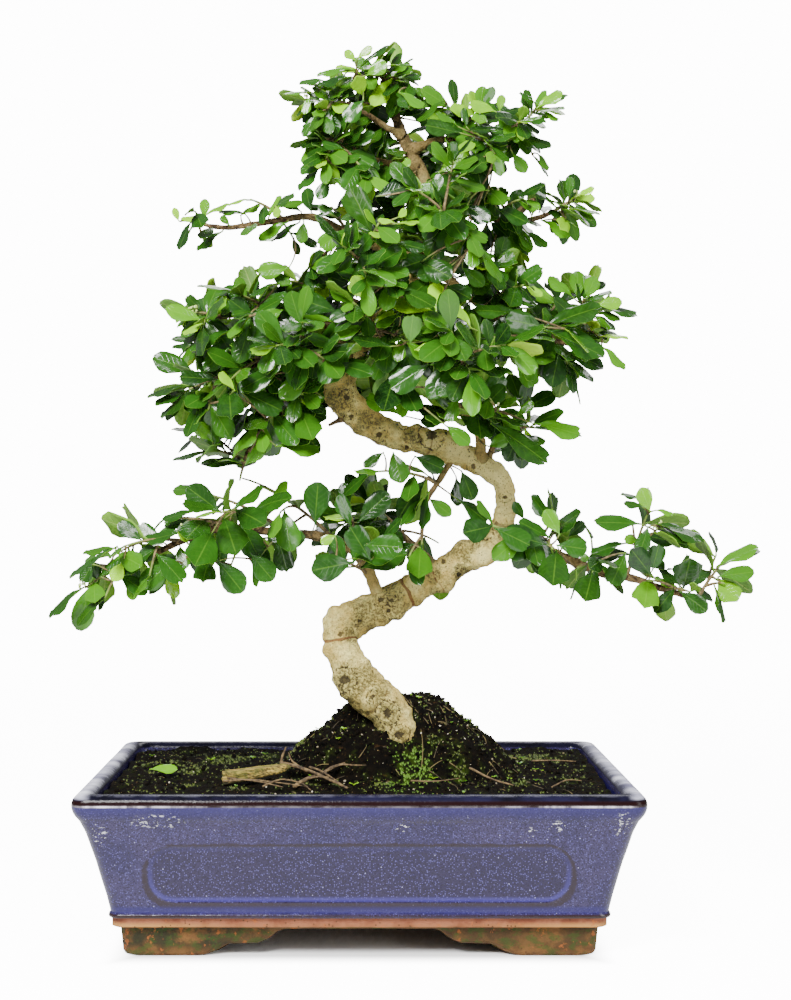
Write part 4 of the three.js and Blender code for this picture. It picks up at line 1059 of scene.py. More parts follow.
LIMBS = {
    "lower_left": (4.2, 1.6, [
        (14, 2, 194), (10, -2, 205), (4, -7, 219), (-6, -11, 231), (-25, -15, 238), (-55, -19, 241),
        (-84, -22, 243), (-111, -25, 234), (-135, -27, 222),
    ]),
    "lower_right": (4, 1.6, [
        (87, 6, 244), (100, -3, 235), (115, -8, 229), (133, -11, 222), (150, -14, 215), (168, -17, 212),
        (188, -19, 205), (206, -20, 200),
    ]),
    "droop_left": (4, 1.6, [
        (-7, -4, 346), (-21, -10, 348), (-32, -14, 341), (-41, -16, 324), (-56, -17, 304), (-69, -17, 288),
    ]),
    "mid_left": (3.2, 1.5, [(-5, -3, 352), (-21, -16, 357), (-42, -24, 352), (-60, -27, 344), (-78, -28, 336)]),
    "left_upper": (3.2, 1.5, [(3, 2, 361), (-17, -8, 367), (-43, -14, 372), (-67, -16, 374), (-86, -18, 372)]),
    "shoulder_left": (2.6, 1.4, [(14, 6, 375), (0, 0, 382), (-14, -6, 386), (-26, -8, 390)]),
    "long_left": (3, 1.3, [
        (40, 9, 410), (16, -4, 415), (-8, -14, 424), (-29, -18, 433), (-53, -20, 430), (-78, -22, 426),
        (-92, -22, 427),
    ]),
    "crown_left": (2.2, 1.2, [(27, -2, 486), (15, -8, 491), (4, -11, 498), (-8, -13, 504)]),
    "crown_left_low": (2.4, 1.2, [(36, 0, 468), (15, -9, 468), (-2, -14, 474), (-12, -16, 482)]),
    "crown_right": (2.4, 1.3, [(32, -1, 477), (48, -8, 482), (64, -10, 481), (80, -11, 478), (94, -12, 479)]),
    "upper_right": (2.8, 1.3, [
        (45, 8, 432), (57, -2, 440), (74, -7, 437), (92, -9, 431), (110, -10, 434), (120, -10, 438),
    ]),
    "mid_right": (3.4, 1.5, [
        (42, 10, 410), (56, 0, 397), (74, -8, 381), (94, -12, 367), (114, -14, 359), (128, -15, 356),
    ]),
    "front_crown": (2.6, 1.3, [(45, 9, 424), (48, -12, 430), (50, -34, 430), (52, -56, 426)]),
    "front_mid": (3, 1.4, [(27, 9, 388), (24, -14, 386), (14, -38, 388), (6, -62, 392)]),
    "front_left": (2.8, 1.4, [(-10, -6, 341), (-17, -22, 344), (-26, -40, 346), (-32, -54, 348)]),
    "front_right": (3, 1.4, [(0, 1, 359), (18, -18, 352), (38, -40, 346), (56, -62, 344)]),
    "front_rise": (3.2, 1.4, [
        (75, -2, 282), (73, -18, 300), (61, -25, 315), (48, -28, 328), (32, -36, 340), (16, -50, 352),
    ]),
    "right_low": (2.2, 1.2, [(78, 0, 280), (84, -6, 296), (94, -10, 304)]),
    "hanging": (2.2, 1.1, [(60, -4, 290), (50, -12, 274), (41, -16, 259), (38, -18, 240)]),
    "back_low": (3.6, 1.4, [(52, 7, 215), (42, 30, 224), (27, 56, 238), (12, 80, 248)]),
    "back_mid": (3.4, 1.4, [(-4, -10, 317), (-8, 14, 324), (-20, 46, 334), (-32, 78, 342)]),
    "back_left": (3, 1.4, [(-8, -3, 349), (-30, 20, 356), (-60, 38, 361), (-84, 48, 362)]),
    "back_right": (3.2, 1.4, [(4, 3, 364), (28, 30, 366), (52, 56, 369), (68, 76, 373)]),
    "back_crown": (2.8, 1.4, [(42, 11, 410), (38, 34, 416), (28, 56, 424), (18, 72, 430)]),
    "back_top": (2.4, 1.3, [(42, 4, 450), (48, 20, 456), (56, 38, 462)]),
    "stub_right": (2.4, 1.8, [(92, -9, 431), (101, -20, 439), (106, -26, 442)]),
    "thorn": (2.2, 0.8, [(-4, -11, 313), (-13, -12, 309), (-19, -13, 306)]),
}
print("limbs:", len(LIMBS))


# %% Smooth lines through places
def unit(vector):
    return vector / np.linalg.norm(vector)


def smooth_line(points):
    """A line through all the points, as a function from a share, 0 to 1, to a place."""
    knots = np.array(points, float)
    padded = np.vstack([2 * knots[0] - knots[1], knots, 2 * knots[-1] - knots[-2]])

    def at(share):
        along = share * (len(knots) - 1)
        index = min(int(along), len(knots) - 2)
        t = along - index
        before, start, end, after = padded[index:index + 4]
        leaving = (end - before) / 2
        arriving = (after - start) / 2
        curve = (-3 * start + 3 * end - 2 * leaving - arriving) * t * t
        return start + leaving * t + curve + (2 * start - 2 * end + leaving + arriving) * t ** 3

    return at


def bowed_line(start, middle, end):
    """A line that leaves its start towards the middle and comes to its end from there."""

    def at(share):
        rest = 1 - share
        return rest * rest * start + 2 * rest * share * middle + share * share * end

    return at


def heading(line, share):
    """The direction of a line at a share of it."""
    return unit(line(min(1, share + 1e-4)) - line(max(0, share - 1e-4)))


def line_length(line):
    places = np.array([line(step / 200) for step in range(201)])
    return float(np.linalg.norm(np.diff(places, axis=0), axis=1).sum())


trunk_line = smooth_line([row[:3] for row in TRUNK])
limb_lines = {name: smooth_line(points) for name, (_, _, points) in LIMBS.items()}
print("trunk length in mm:", round(line_length(trunk_line)))


# %% Rolling a sheet round a line
def ring_frames(line, count):
    """Places along a line, with two directions across it that don't twist."""
    shares = np.linspace(0, 1, count)
    centres = np.array([line(share) for share in shares])
    tangents = np.array([heading(line, share) for share in shares])
    across = np.array((0, 0, 1.0)) if abs(tangents[0][2]) < 0.9 else np.array((1.0, 0, 0))
    first = []
    for tangent in tangents:
        across = unit(across - tangent * across.dot(tangent))
        first.append(across)
    first = np.array(first)
    return shares, centres, first, np.cross(tangents, first)


def rolled_rod(bm, layers, line, count, sides, surface):
    """Rolls a sheet round a line. surface gives the radius for a share, a centre and a direction."""
    rod = bmesh.new()
    marked = {label: rod.verts.layers.float.new(label) for label in layers}
    shares, centres, first, second = ring_frames(line, count)
    bmesh.ops.create_grid(rod, x_segments=sides, y_segments=count - 1, size=0.5)
    for vert in rod.verts:
        angle = (vert.co.x + 0.5) * 2 * math.pi
        ring = round((vert.co.y + 0.5) * (count - 1))
        outward = first[ring] * math.cos(angle) + second[ring] * math.sin(angle)
        radius, marks = surface(shares[ring], centres[ring], outward)
        vert.co = centres[ring] + outward * radius
        for label, value in marks.items():
            vert[marked[label]] = value
    bmesh.ops.remove_doubles(rod, verts=rod.verts, dist=0.0005)
    bmesh.ops.holes_fill(rod, edges=[edge for edge in rod.edges if edge.is_boundary])
    bmesh.ops.recalc_face_normals(rod, faces=rod.faces)
    pour(bm, rod)


def pour(bm, part):
    """Adds a finished part to a form."""
    mesh = bpy.data.meshes.new("part")
    part.to_mesh(mesh)
    part.free()
    bm.from_mesh(mesh)
    bpy.data.meshes.remove(mesh)


# %% [markdown]
# ### Bark
#
# On the trunk the bark is thin and cream coloured, and every old branch has left a ring with a
# dark middle. Those scars are at known places. A ring is a low ridge round a small hollow, and the
# mesh keeps how dark each point is. Two bands of red brown run round the trunk where wire once
# bit into it.

# %% Scars, bands and lumps of the trunk
SCARS = [
    (-8, 323, 2.6), (-5, 311, 2.2), (27, 308, 2.4), (13, 199, 2.6), (20, 198, 2.2), (18, 192, 2.4),
    (-9, 151, 4.4), (-13, 143, 3.0), (17, 131, 4.4), (24, 118, 3.6), (62, 214, 2.4), (44, 300, 4.6),
    (78, 240, 3.0), (88, 229, 2.6), (-12, 178, 2.4), (8, 141, 2.2), (70, 281, 2.4), (90, 262, 2.0),
    (0, 186, 2.0), (52, 222, 2.2), (29, 292, 2.0), (12, 300, 2.6), (-6, 345, 2.4), (14, 370, 2.2),
]
BITES = [(11.6, 1.0), (8.2, 0.9), (12.8, 0.5), (22.6, 0.5), (5.2, 0.4), (17.4, 0.4)]


def knot_swelling(along, outward):
    """How much a knot swells the trunk, as a share of its radius."""
    swelling = 0.0
    for place, toward, height, reach in KNOTS:
        facing = max(0, outward.dot(unit(np.array(toward, float))))
        swelling += height * facing ** 2 * math.exp(-(((along - place) / reach) ** 2))
    return swelling


def scar_relief(place):
    """Height and darkness of the scars at a place on the trunk's front or back."""
    height = 0.0
    dark = 0.0
    for x, z, size in SCARS:
        away = math.hypot(place[0] - x, place[2] - z) / size
        if away < 3:
            height += 0.7 * math.exp(-(((away - 1.15) / 0.4) ** 2)) - 0.9 * math.exp(-((away / 0.7) ** 2))
            dark = max(dark, math.exp(-((away / 0.8) ** 2)), 0.6 * math.exp(-(((away - 1.7) / 0.3) ** 2)))
    return height, dark


BUMPS = [
    (-14, -9, 189, 4.5, 2.4), (-4, -10, 194, 4, 1.6), (57, 3, 204, 4.5, 3.6), (49, 4, 207, 3, 1.2),
    (15, -4, 184, 4, 2.0), (23, -3, 189, 4, 1.6), (64, -2, 233, 5, 2.2), (74, -2, 238, 5, 2.0),
    (84, -2, 224, 6, 2.2), (73, -3, 219, 4, 1.6), (92, 0, 240, 5, 1.4), (51, -14, 293, 9, 1.8),
    (52, -10, 285, 5, 1.2), (-20, -10, 146, 3, 2.2), (-16, -18, 150, 5, 1.4), (-20, -8, 168, 4, 1.2),
    (8, -24, 138, 6, 1.6), (24, -22, 118, 6, 1.8), (36, -18, 108, 5, 1.4), (-21, -8, 326, 5, 1.4),
    (-4, -12, 300, 5, 1.6), (22, -4, 307, 4, 1.4), (36, -6, 305, 4, 1.2), (92, -4, 262, 3.5, 1.0),
    (30, 0, 210, 5, 1.4), (40, 2, 194, 4, 1.4), (0, -8, 336, 5, 1.2), (12, 8, 372, 4, 1.2),
    (53, -4, 206, 4.5, 2.6), (79, -3, 219, 4.5, 2.6), (-19, -6, 184, 3, 1.6), (2, -16, 160, 4, 1.4),
    (28, -14, 131, 4, 1.4), (-10, -20, 143, 4, 1.8), (80, -4, 233, 4, 1.4), (62, -8, 292, 4, 1.4),
]


CRUSTS = [
    (-6, 149, 8), (4, 152, 6), (-12, 142, 5), (2, 188, 7), (10, 194, 8), (17, 199, 8), (21, 191, 7), (-6, 178, 4),
    (19, 132, 6), (10, 123, 6), (12, 143, 6), (25, 118, 5), (58, 233, 6), (67, 225, 5), (72, 232, 7), (90, 240, 5),
    (50, 296, 3), (37, 297, 3), (-12, 322, 6), (4, 309, 5), (88, 262, 4), (46, 214, 4), (64, 216, 5), (30, 300, 4),
]


# Places where painted light lifts the bark to pale, where the crown's shade falls on the trunk.
PAINTED_LIGHT_ON_BARK = [(58, 292, 8), (68, 290, 10), (78, 282, 10), (86, 272, 10), (90, 258, 10), (76, 226, 7), (34, 208, 6), (44, 297, 7), (24, 306, 6)]


def crust_painted_shade_light_at(place, outward):
    """The mark for dark olive patches at a place, plus painted shade where the bark faces down. Below 0 it is painted
    light, which turns the bark pale.
    """
    # Painted shade: bark that faces down gets the same darkening as the dark olive patches.
    best = 0.35 * max(0, -outward[2])
    for x, z, reach in CRUSTS:
        away = ((place[0] - x) ** 2 + (place[2] - z) ** 2) / reach ** 2
        if away < 5:
            best = max(best, math.exp(-away))
    # Painted light: on these places the mark is pulled below 0, so the bark is painted pale.
    for x, z, reach in PAINTED_LIGHT_ON_BARK:
        away = ((place[0] - x) ** 2 + (place[2] - z) ** 2) / reach ** 2
        best = min(best, mix(best, -0.5, math.exp(-away)))
    return best


def bump_height(place):
    """How far knobs and swellings push the bark out at a place."""
    height = 0.0
    for x, y, z, reach, rise in BUMPS:
        away = ((place[0] - x) ** 2 + (place[1] - y) ** 2 + (place[2] - z) ** 2) / reach ** 2
        if away < 6:
            height += 2.0 * rise * math.exp(-away)
    return height


def trunk_surface(share, centre, outward):
    """The radius of the trunk with its knots, lumps and scars, and the marks for its colour."""
    along = share * (len(TRUNK) - 1)
    index = min(int(along), len(TRUNK) - 2)
    radius = mix(TRUNK[index][3], TRUNK[index + 1][3], along - index)
    skin = centre + outward * radius
    at = Vector(skin)
    lumps = 0.07 * radius * noise.noise(at / 14) + 1.1 * noise.noise(at / 6) + 0.55 * noise.noise(at / 2.4)
    creases = 0.9 * (0.22 - abs(noise.noise(at / 5.2 + Vector((4, 8, 2)))))
    height, dark = scar_relief(skin)
    bitten = 0.0
    for place, strength in BITES:
        wavy = along - place + 0.12 * noise.noise(at / 7)
        bitten = max(bitten, strength * math.exp(-((wavy / 0.07) ** 2)))
    fade = min(1, radius / 7)
    marks = {"dark": dark * fade, "bitten": bitten, "twig": clip_step(share, 0.72, 1.0) * 0.8}
    marks["crust"] = crust_painted_shade_light_at(skin, outward)
    swollen = radius * (1 + knot_swelling(along, outward)) - 0.25
    return swollen + (lumps - creases + height + bump_height(skin)) * fade - 0.6 * bitten, marks


# %% Limbs that swell where they leave the trunk
def limb_surface_of(name):
    """The surface of one limb: it flares at its root and has a node every centimetre or so."""
    root, end, _ = LIMBS[name]
    length = line_length(limb_lines[name])

    def surface(share, centre, outward):
        along = share * length
        radius = mix(root, end, share) * (1 + 0.7 * math.exp(-max(0, along - 1.2 * root) / (1.4 * root)))
        at = Vector(centre + outward * radius)
        nodes = 0.12 * radius * max(0, math.sin(along / 2.1 + 3 * noise.noise(Vector((along / 9, root, end)))))
        rough = (0.3 * noise.noise(at / 4) + 0.2 * noise.noise(at / 1.6)) * min(1, radius / 2.5)
        marks = {
            "dark": 0.8 * max(0, noise.noise(at / 4)),
            "bitten": 0.0,
            "crust": 0.0,
            "twig": min(1, 0.35 + 0.65 * share + 0.3 * math.exp(-along / 8)),
        }
        return radius + nodes + rough, marks

    return surface, length


WOOD_MARKS = ("dark", "bitten", "twig", "crust")
wood_form = bmesh.new()
rolled_rod(wood_form, WOOD_MARKS, trunk_line, 660, 56, trunk_surface)
print("trunk faces:", len(wood_form.faces))
for name in LIMBS:
    surface, length = limb_surface_of(name)
    rolled_rod(wood_form, WOOD_MARKS, limb_lines[name], max(8, round(length / 1.6)), 12, surface)
print("trunk and limb faces:", len(wood_form.faces))

# %% Bark finish
bark, tree, shader, place = new_finish("cream_bark")
twig = attribute(tree, "twig")
dark = attribute(tree, "dark")
bitten = attribute(tree, "bitten")
sway = add_node(tree, "TexNoise", Vector=place, Scale=0.35, Detail=5.0).outputs["Color"]
swayed = add_node(tree, "VectorMath", {"operation": "MULTIPLY_ADD"})
feed(tree, swayed.inputs[0], sway)
feed(tree, swayed.inputs[1], (7, 7, 7))
feed(tree, swayed.inputs[2], place)
patches = mottling(tree, place, 16.0, 0.38, 0.62, 6.0)
colour = mixed(tree, patches, screen_colour(232, 204, 112), screen_colour(255, 240, 148))
streaks = mottling(tree, place, 3.0, 0.45, 0.62, 6.0)
colour = mixed(tree, sums(tree, "MULTIPLY", streaks, 0.45), colour, screen_colour(188, 154, 74))
# This mark also holds painted shade on the bark's downward side, and painted light below 0. The film, chinks, cracks
# and dark patches below follow it.
crust_painted_shade_light_mark = attribute(tree, "crust")
# Painted light: pale bark where the mark is below 0.
painted_light_share = ramp(tree, sums(tree, "MULTIPLY", crust_painted_shade_light_mark, -1.0), 0.1, 0.5, 0.0, 0.75)
colour = mixed(tree, painted_light_share, colour, screen_colour(255, 241, 158))
pores = speckles(tree, place, 1.3, 0.4, 0.35)
colour = mixed(tree, sums(tree, "MULTIPLY", pores, 0.75), colour, screen_colour(150, 120, 62))
rough_noise = add_node(tree, "TexNoise", Vector=place, Scale=0.7, Detail=6.0, Roughness=0.65).outputs[0]
wide_noise = add_node(tree, "TexNoise", Vector=place, Scale=0.11, Detail=4.0).outputs[0]
film = ramp(tree, sums(tree, "MULTIPLY_ADD", crust_painted_shade_light_mark, 0.5, wide_noise), 0.46, 0.8)
colour = mixed(tree, sums(tree, "MULTIPLY", film, 0.5), colour, screen_colour(160, 150, 80))
fine_cells = add_node(tree, "TexVoronoi", {"feature": "DISTANCE_TO_EDGE"}, Vector=swayed.outputs[0], Scale=0.62)
fine = ramp(tree, fine_cells.outputs["Distance"], 0.02, 0.2, 1.0, 0.0)
fine = sums(tree, "MULTIPLY", fine, ramp(tree, rough_noise, 0.44, 0.52))
chinked = ramp(tree, sums(tree, "MULTIPLY_ADD", crust_painted_shade_light_mark, 0.45, wide_noise), 0.42, 0.74, 0.34, 1.0)
colour = mixed(tree, sums(tree, "MULTIPLY", sums(tree, "MULTIPLY", fine, chinked), 0.7), colour, screen_colour(112, 94, 50))
cells = add_node(tree, "TexVoronoi", {"feature": "DISTANCE_TO_EDGE"}, Vector=swayed.outputs[0], Scale=0.26)
crack = ramp(tree, cells.outputs["Distance"], 0.0, 0.13, 1.0, 0.0)
crack = sums(tree, "MULTIPLY", crack, ramp(tree, sums(tree, "ADD", crust_painted_shade_light_mark, wide_noise), 0.55, 0.85))
crack = sums(tree, "MULTIPLY", crack, ramp(tree, rough_noise, 0.4, 0.48))
colour = mixed(tree, sums(tree, "MULTIPLY", crack, 0.7), colour, screen_colour(78, 66, 36))
crust = ramp(tree, sums(tree, "MULTIPLY_ADD", crust_painted_shade_light_mark, 0.17, rough_noise), 0.62, 0.66)
colour = mixed(tree, sums(tree, "MULTIPLY", crust, 0.35), colour, screen_colour(120, 108, 60))
spots = speckles(tree, swayed.outputs[0], 6.5, 0.13, 0.2)
colour = mixed(tree, sums(tree, "MULTIPLY", spots, 0.8), colour, screen_colour(52, 42, 26))

# %% Young wood, wire bites and scars on the bark
rough_tone = mottling(tree, place, 3.0, 0.38, 0.62, 6.0)
young = mixed(tree, rough_tone, screen_colour(62, 46, 26), screen_colour(140, 116, 76))
colour = mixed(tree, ramp(tree, twig, 0.1, 0.8), colour, young)
colour = mixed(tree, ramp(tree, bitten, 0.2, 0.6, 0.0, 0.8), colour, screen_colour(112, 56, 30))
scarred = sums(tree, "MULTIPLY_ADD", rough_noise, 1.1, dark)
colour = mixed(tree, ramp(tree, scarred, 0.98, 1.12, 0.0, 0.85), colour, screen_colour(52, 42, 26))
feed(tree, shader.inputs["Base Color"], colour)
shader.inputs["Roughness"].default_value = 0.8
shader.inputs["Specular IOR Level"].default_value = 0.25
cork = add_node(tree, "TexNoise", Vector=place, Scale=0.9, Detail=7.0, Roughness=0.72).outputs[0]
cork = sums(tree, "SUBTRACT", cork, sums(tree, "MULTIPLY", crack, 0.35))
cork = sums(tree, "ADD", cork, sums(tree, "MULTIPLY", crust, 0.3))
relief(tree, shader, cork, 3.4, 1.0)
wood = finish_piece("bark_wood", wood_form, [bark], ["trunk"])
print("wood triangles:", triangles(wood))

# %% [markdown]
# ## Leaves
#
# A fukien tea leaf is spoon shaped: a narrow foot, its greatest width past the middle, and two to
# four blunt teeth round the apex. One blank is made as a grid of a few dozen faces, drawn in to
# the outline, and given an underside by an extrusion. The top and the underside have separate
# finishes, and the edge between them is marked sharp so that the thin rim doesn't darken the top.

# %% One leaf as a blank
LEAF_ROWS = [
    (0.0, 0.06), (0.1, 0.1), (0.25, 0.42), (0.42, 0.78), (0.6, 1.0), (0.77, 0.97), (0.9, 0.7), (1.0, 0.22),
]
LEAF_COLUMNS = 4


def make_leaf_blank():
    """A flat leaf: x is the share of its half width, y the share of its length, z 0 or -1."""
    form = bmesh.new()
    bmesh.ops.create_grid(form, x_segments=LEAF_COLUMNS, y_segments=len(LEAF_ROWS) - 1, size=0.5)
    blade_map = form.loops.layers.uv.new("blade")
    form.verts.layers.float.new("tone")
    form.verts.layers.float.new("youth")
    for vert in form.verts:
        row = round((vert.co.y + 0.5) * (len(LEAF_ROWS) - 1))
        vert.co.x = 2 * vert.co.x
        vert.co.y = LEAF_ROWS[row][0]
    top = list(form.faces)
    for face in top:
        for loop in face.loops:
            loop[blade_map].uv = ((loop.vert.co.x + 1) / 2, loop.vert.co.y)
    for vert in form.verts:
        row = min(range(len(LEAF_ROWS)), key=lambda index: abs(LEAF_ROWS[index][0] - vert.co.y))
        vert.co.x *= LEAF_ROWS[row][1]
    made = bmesh.ops.extrude_face_region(form, geom=top)["geom"]
    bmesh.ops.translate(form, vec=(0, 0, -1), verts=[item for item in made if isinstance(item, bmesh.types.BMVert)])
    bmesh.ops.recalc_face_normals(form, faces=form.faces)
    for face in form.faces:
        face.material_index = 0 if face.normal.z > 0.5 else 1
    for edge in form.edges:
        edge.smooth = len({face.material_index for face in edge.link_faces}) == 1
    return as_blank(form, "leaf_blank")


leaf_blank = make_leaf_blank()
print("faces of a leaf:", len(leaf_blank[0].polygons))


def with_teeth(flat):
    """The same points with the last two rows drawn out into blunt teeth."""
    toothed = flat.copy()
    last = flat[:, 1] > 0.95
    before = (flat[:, 1] > 0.85) & ~last
    toothed[before, 0] *= 1.16
    toothed[last, 0] *= 2.3
    middle = np.abs(flat[:, 0]) < 0.01
    edge = np.abs(flat[:, 0]) > 0.2
    toothed[last & ~middle & ~edge, 1] -= 0.05
    toothed[last & edge, 1] -= 0.03
    return toothed


OUTLINES = [leaf_blank[1], with_teeth(leaf_blank[1])]

# %% [markdown]
# A leaf is placed by its base, the direction it points in, the way its top faces, its length and
# its width. It folds up a little along the midrib, its margins roll back, and it bends down
# towards the apex. The same numbers were used for the plain leaves in the CAD, so these fall on
# them.

# %% Bending a leaf
LEAF_THICKNESS = 0.5


def leaf_places(leaf):
    """Where the points of the blank go for one leaf."""
    flat = OUTLINES[1 if leaf["toothed"] else 0]
    v, u, under = flat[:, 0], flat[:, 1], flat[:, 2]
    width = leaf["half_width"]
    length = leaf["length"]
    half = np.abs(v)
    arched = leaf["fold"] * width * (1.5 * half - 1.7 * half ** 3)
    droop = -leaf["bend"] * length * u * u
    ripple = 0.04 * width * np.sin(9 * u + leaf["phase"]) * v * v
    edge = np.interp(half, [0, 1], [1.0, 0.5]) * np.interp(u, [0, 0.15, 1], [1.5, 1.0, 0.7])
    rise = arched + droop + ripple + under * LEAF_THICKNESS * edge + 0.25 * LEAF_THICKNESS
    return (
        leaf["base"]
        + np.outer(length * u, leaf["along"])
        + np.outer(width * v, leaf["across"])
        + np.outer(rise, leaf["normal"])
    )


# %% [markdown]
# ### Sprays and shoots
#
# A spray grows from one place on a limb: a main shoot, and side shoots that fork from it. The
# tips were read from the tree. Six numbers instead of three give the apex of the last leaf as
# well.

# %% The sprays
SPRAYS = [
    ("lower_left", 1, [(-166, -28, 207, -190, -30, 189), (-151, -48, 202), (-163, -10, 220)]),
    ("lower_left", 0.86, [(-139, -46, 233), (-154, 4, 225), (-125, -44, 215)]),
    ("lower_left", 0.72, [(-118, -22, 249), (-114, -24, 210), (-114, 14, 243)]),
    ("lower_left", 0.58, [(-94, -24, 264), (-81, -58, 253), (-78, -42, 217)]),
    ("lower_left", 0.44, [(-59, -14, 268), (-74, 16, 274), (-62, -32, 224), (-47, -46, 253)]),
    ("lower_left", 0.2, [(-15, -36, 223), (-6, -22, 255), (14, -30, 236)]),
    ("lower_right", 1, [(222, -18, 222, 244, -14, 233), (220, -30, 210, 234, -33, 204), (222, 2, 226)]),
    ("lower_right", 0.84, [(198, -38, 205), (202, 8, 214), (172, -40, 212, 172, -43, 195)]),
    ("lower_right", 0.68, [
        (176, -18, 252, 177, -20, 268), (184, -32, 246, 208, -34, 237), (169, -2, 247, 145, -5, 250),
    ]),
    ("lower_right", 0.5, [(144, -40, 224), (145, 6, 235), (131, -28, 219, 131, -32, 200)]),
    ("lower_right", 0.24, [(118, -18, 248), (115, -44, 231, 115, -48, 210), (110, 20, 240), (99, -38, 240)]),
    ("droop_left", 1, [(-73, -20, 272), (-88, -28, 290), (-96, -8, 303)]),
    ("droop_left", 0.56, [(-58, -46, 302), (-72, 8, 300), (-37, -36, 303), (-33, -54, 323)]),
    ("mid_left", 1, [(-106, -28, 325, -129, -31, 330), (-90, -44, 314), (-105, -8, 338)]),
    ("mid_left", 0.6, [(-77, -58, 330), (-74, 16, 341), (-57, -42, 334)]),
    ("front_left", 0.9, [(-48, -78, 349), (-33, -74, 364), (-15, -76, 338)]),
    ("left_upper", 1, [(-101, -22, 374, -121, -24, 381), (-93, -46, 364), (-101, 0, 384)]),
    ("left_upper", 0.6, [(-72, -38, 383), (-66, -60, 366), (-68, 18, 384)]),
    ("shoulder_left", 1, [(-44, -18, 394, -63, -22, 402), (-29, -46, 398), (-26, 18, 396)]),
    ("long_left", 1, [(-108, -22, 430, -127, -24, 431), (-99, -32, 434), (-97, -10, 422)]),
    ("long_left", 0.62, [(-66, -28, 442), (-50, -38, 436), (-41, -8, 422)]),
    ("long_left", 0.32, [(-18, -42, 431), (-12, -30, 412), (-19, 12, 444)]),
    ("crown_left", 0.9, [(-31, -15, 504, -49, -18, 510), (-20, -26, 514), (-21, -38, 491), (-2, 16, 512)]),
    ("crown_left_low", 0.9, [(-26, -18, 480, -43, -22, 477), (-20, -40, 464), (-16, 14, 482), (4, -52, 452)]),
    ("trunk", 0.99, [(9, -6, 528, 18, -9, 544), (24, 8, 528), (-4, -14, 519, -26, -18, 525), (31, -18, 512)]),
    ("crown_right", 1, [(108, -12, 500, 126, -13, 512), (106, -14, 472), (95, -38, 486)]),
    ("crown_right", 0.5, [(74, -26, 498), (80, -46, 466), (78, 20, 492), (52, -20, 500)]),
    ("upper_right", 1, [(133, -10, 445, 149, -15, 438), (125, -24, 430), (130, 10, 443, 135, 12, 461)]),
    ("upper_right", 0.5, [(96, -38, 440), (100, 10, 416), (74, -42, 446)]),
    ("front_crown", 1, [(46, -80, 426), (66, -76, 408), (32, -70, 440), (56, -56, 462)]),
    ("front_mid", 1, [(-10, -88, 405), (11, -86, 418), (4, -94, 386), (24, -82, 380)]),
    ("mid_right", 1, [(148, -15, 377, 172, -17, 374), (140, 0, 388, 150, -2, 405), (147, -28, 357, 164, -32, 341)]),
    ("mid_right", 0.74, [(122, -46, 362), (126, 16, 386), (128, -22, 340)]),
    ("mid_right", 0.42, [(98, -44, 388), (102, -44, 350), (78, -42, 403)]),
    ("front_right", 1, [(63, -88, 332), (84, -80, 349), (52, -92, 356), (44, -78, 368)]),
    ("front_rise", 1, [(-4, -78, 374), (27, -66, 352), (24, -56, 326)]),
    ("front_rise", 0.36, [(50, -46, 306), (84, -36, 314)]),
    ("right_low", 1, [(110, -15, 304, 136, -18, 300), (98, -32, 297, 117, -36, 281), (100, -2, 320)]),
    ("hanging", 1, [(38, -20, 233, 36, -22, 213), (30, -30, 226)]),
    ("hanging", 0.42, [(26, -34, 276), (46, 12, 272), (8, -30, 277)]),
    ("back_low", 1, [(4, 102, 258), (-14, 90, 242), (30, 96, 244)]),
    ("back_low", 0.5, [(6, 46, 258), (52, 62, 232)]),
    ("back_mid", 1, [(-40, 104, 350), (-62, 84, 338), (-22, 98, 366)]),
    ("back_mid", 0.55, [(-44, 44, 320), (6, 62, 346), (-10, 60, 316)]),
    ("back_left", 1, [(-110, 60, 362), (-98, 46, 382), (-92, 74, 346)]),
    ("back_left", 0.55, [(-48, 52, 384), (-62, 22, 346), (-34, 60, 372)]),
    ("back_right", 1, [(84, 100, 380), (104, 78, 364), (62, 98, 394)]),
    ("back_right", 0.5, [(72, 42, 346), (90, 52, 392), (36, 68, 340), (64, 20, 360)]),
    ("back_crown", 1, [(6, 92, 440), (34, 90, 450), (-12, 74, 424), (50, 66, 406)]),
    ("back_top", 1, [(66, 58, 476), (84, 44, 452), (46, 60, 490)]),
]


def shoots_of_spray(spray):
    """The shoots of one spray: the first grows from the limb, the others fork from it."""
    limb, along, tips = SPRAYS[spray]
    line = trunk_line if limb == "trunk" else limb_lines[limb]
    root = line(along)

    def bowed(start, tip):
        middle = (start + tip) / 2
        middle[2] += 0.12 * np.linalg.norm(tip - start)
        return bowed_line(start, middle, tip)

    main = bowed(root, np.array(tips[0][:3], float))
    shoots = []
    for number, places in enumerate(tips):
        tip = np.array(places[:3], float)
        fork = root if number == 0 else main(0.16 + 0.12 * number)
        length = float(np.linalg.norm(tip - fork))
        shoots.append(
            {
                "spray": spray,
                "number": number,
                "line": main if number == 0 else bowed(fork, tip),
                "apex": np.array(places[3:], float) if len(places) > 3 else None,
                "leaf_count": min(8, max(5, math.floor(length / 6 + 0.5) + 2)),
            }
        )
    return shoots


shoots = [shoot for spray in range(len(SPRAYS)) for shoot in shoots_of_spray(spray)]
print("sprays:", len(SPRAYS), "shoots:", len(shoots))


# %% Growing one leaf
def leaf_turn(shoot, index, attempt, keys):
    """Where a leaf starts, the shoot's direction there, and the direction it leaves in."""
    share = index / (shoot["leaf_count"] - 1)
    place = mix(0.3, 1, share)
    base = shoot["line"](place)
    axis = heading(shoot["line"], place)
    side = unit(np.cross(axis, (0, 0, 1)))
    above = np.cross(side, axis)
    turn = 2.4 * index + 6.28 * draw(*keys, 1) + 0.8 * attempt
    opening = mix(1.25, 0.42, share ** 2) + 0.35 * (draw(*keys, 2) - 0.5) + 0.06 * attempt
    spread = side * math.cos(turn) + above * math.sin(turn)
    along = axis * math.cos(opening) + spread * math.sin(opening)
    along[2] += 0.1
    return share, base, axis, along


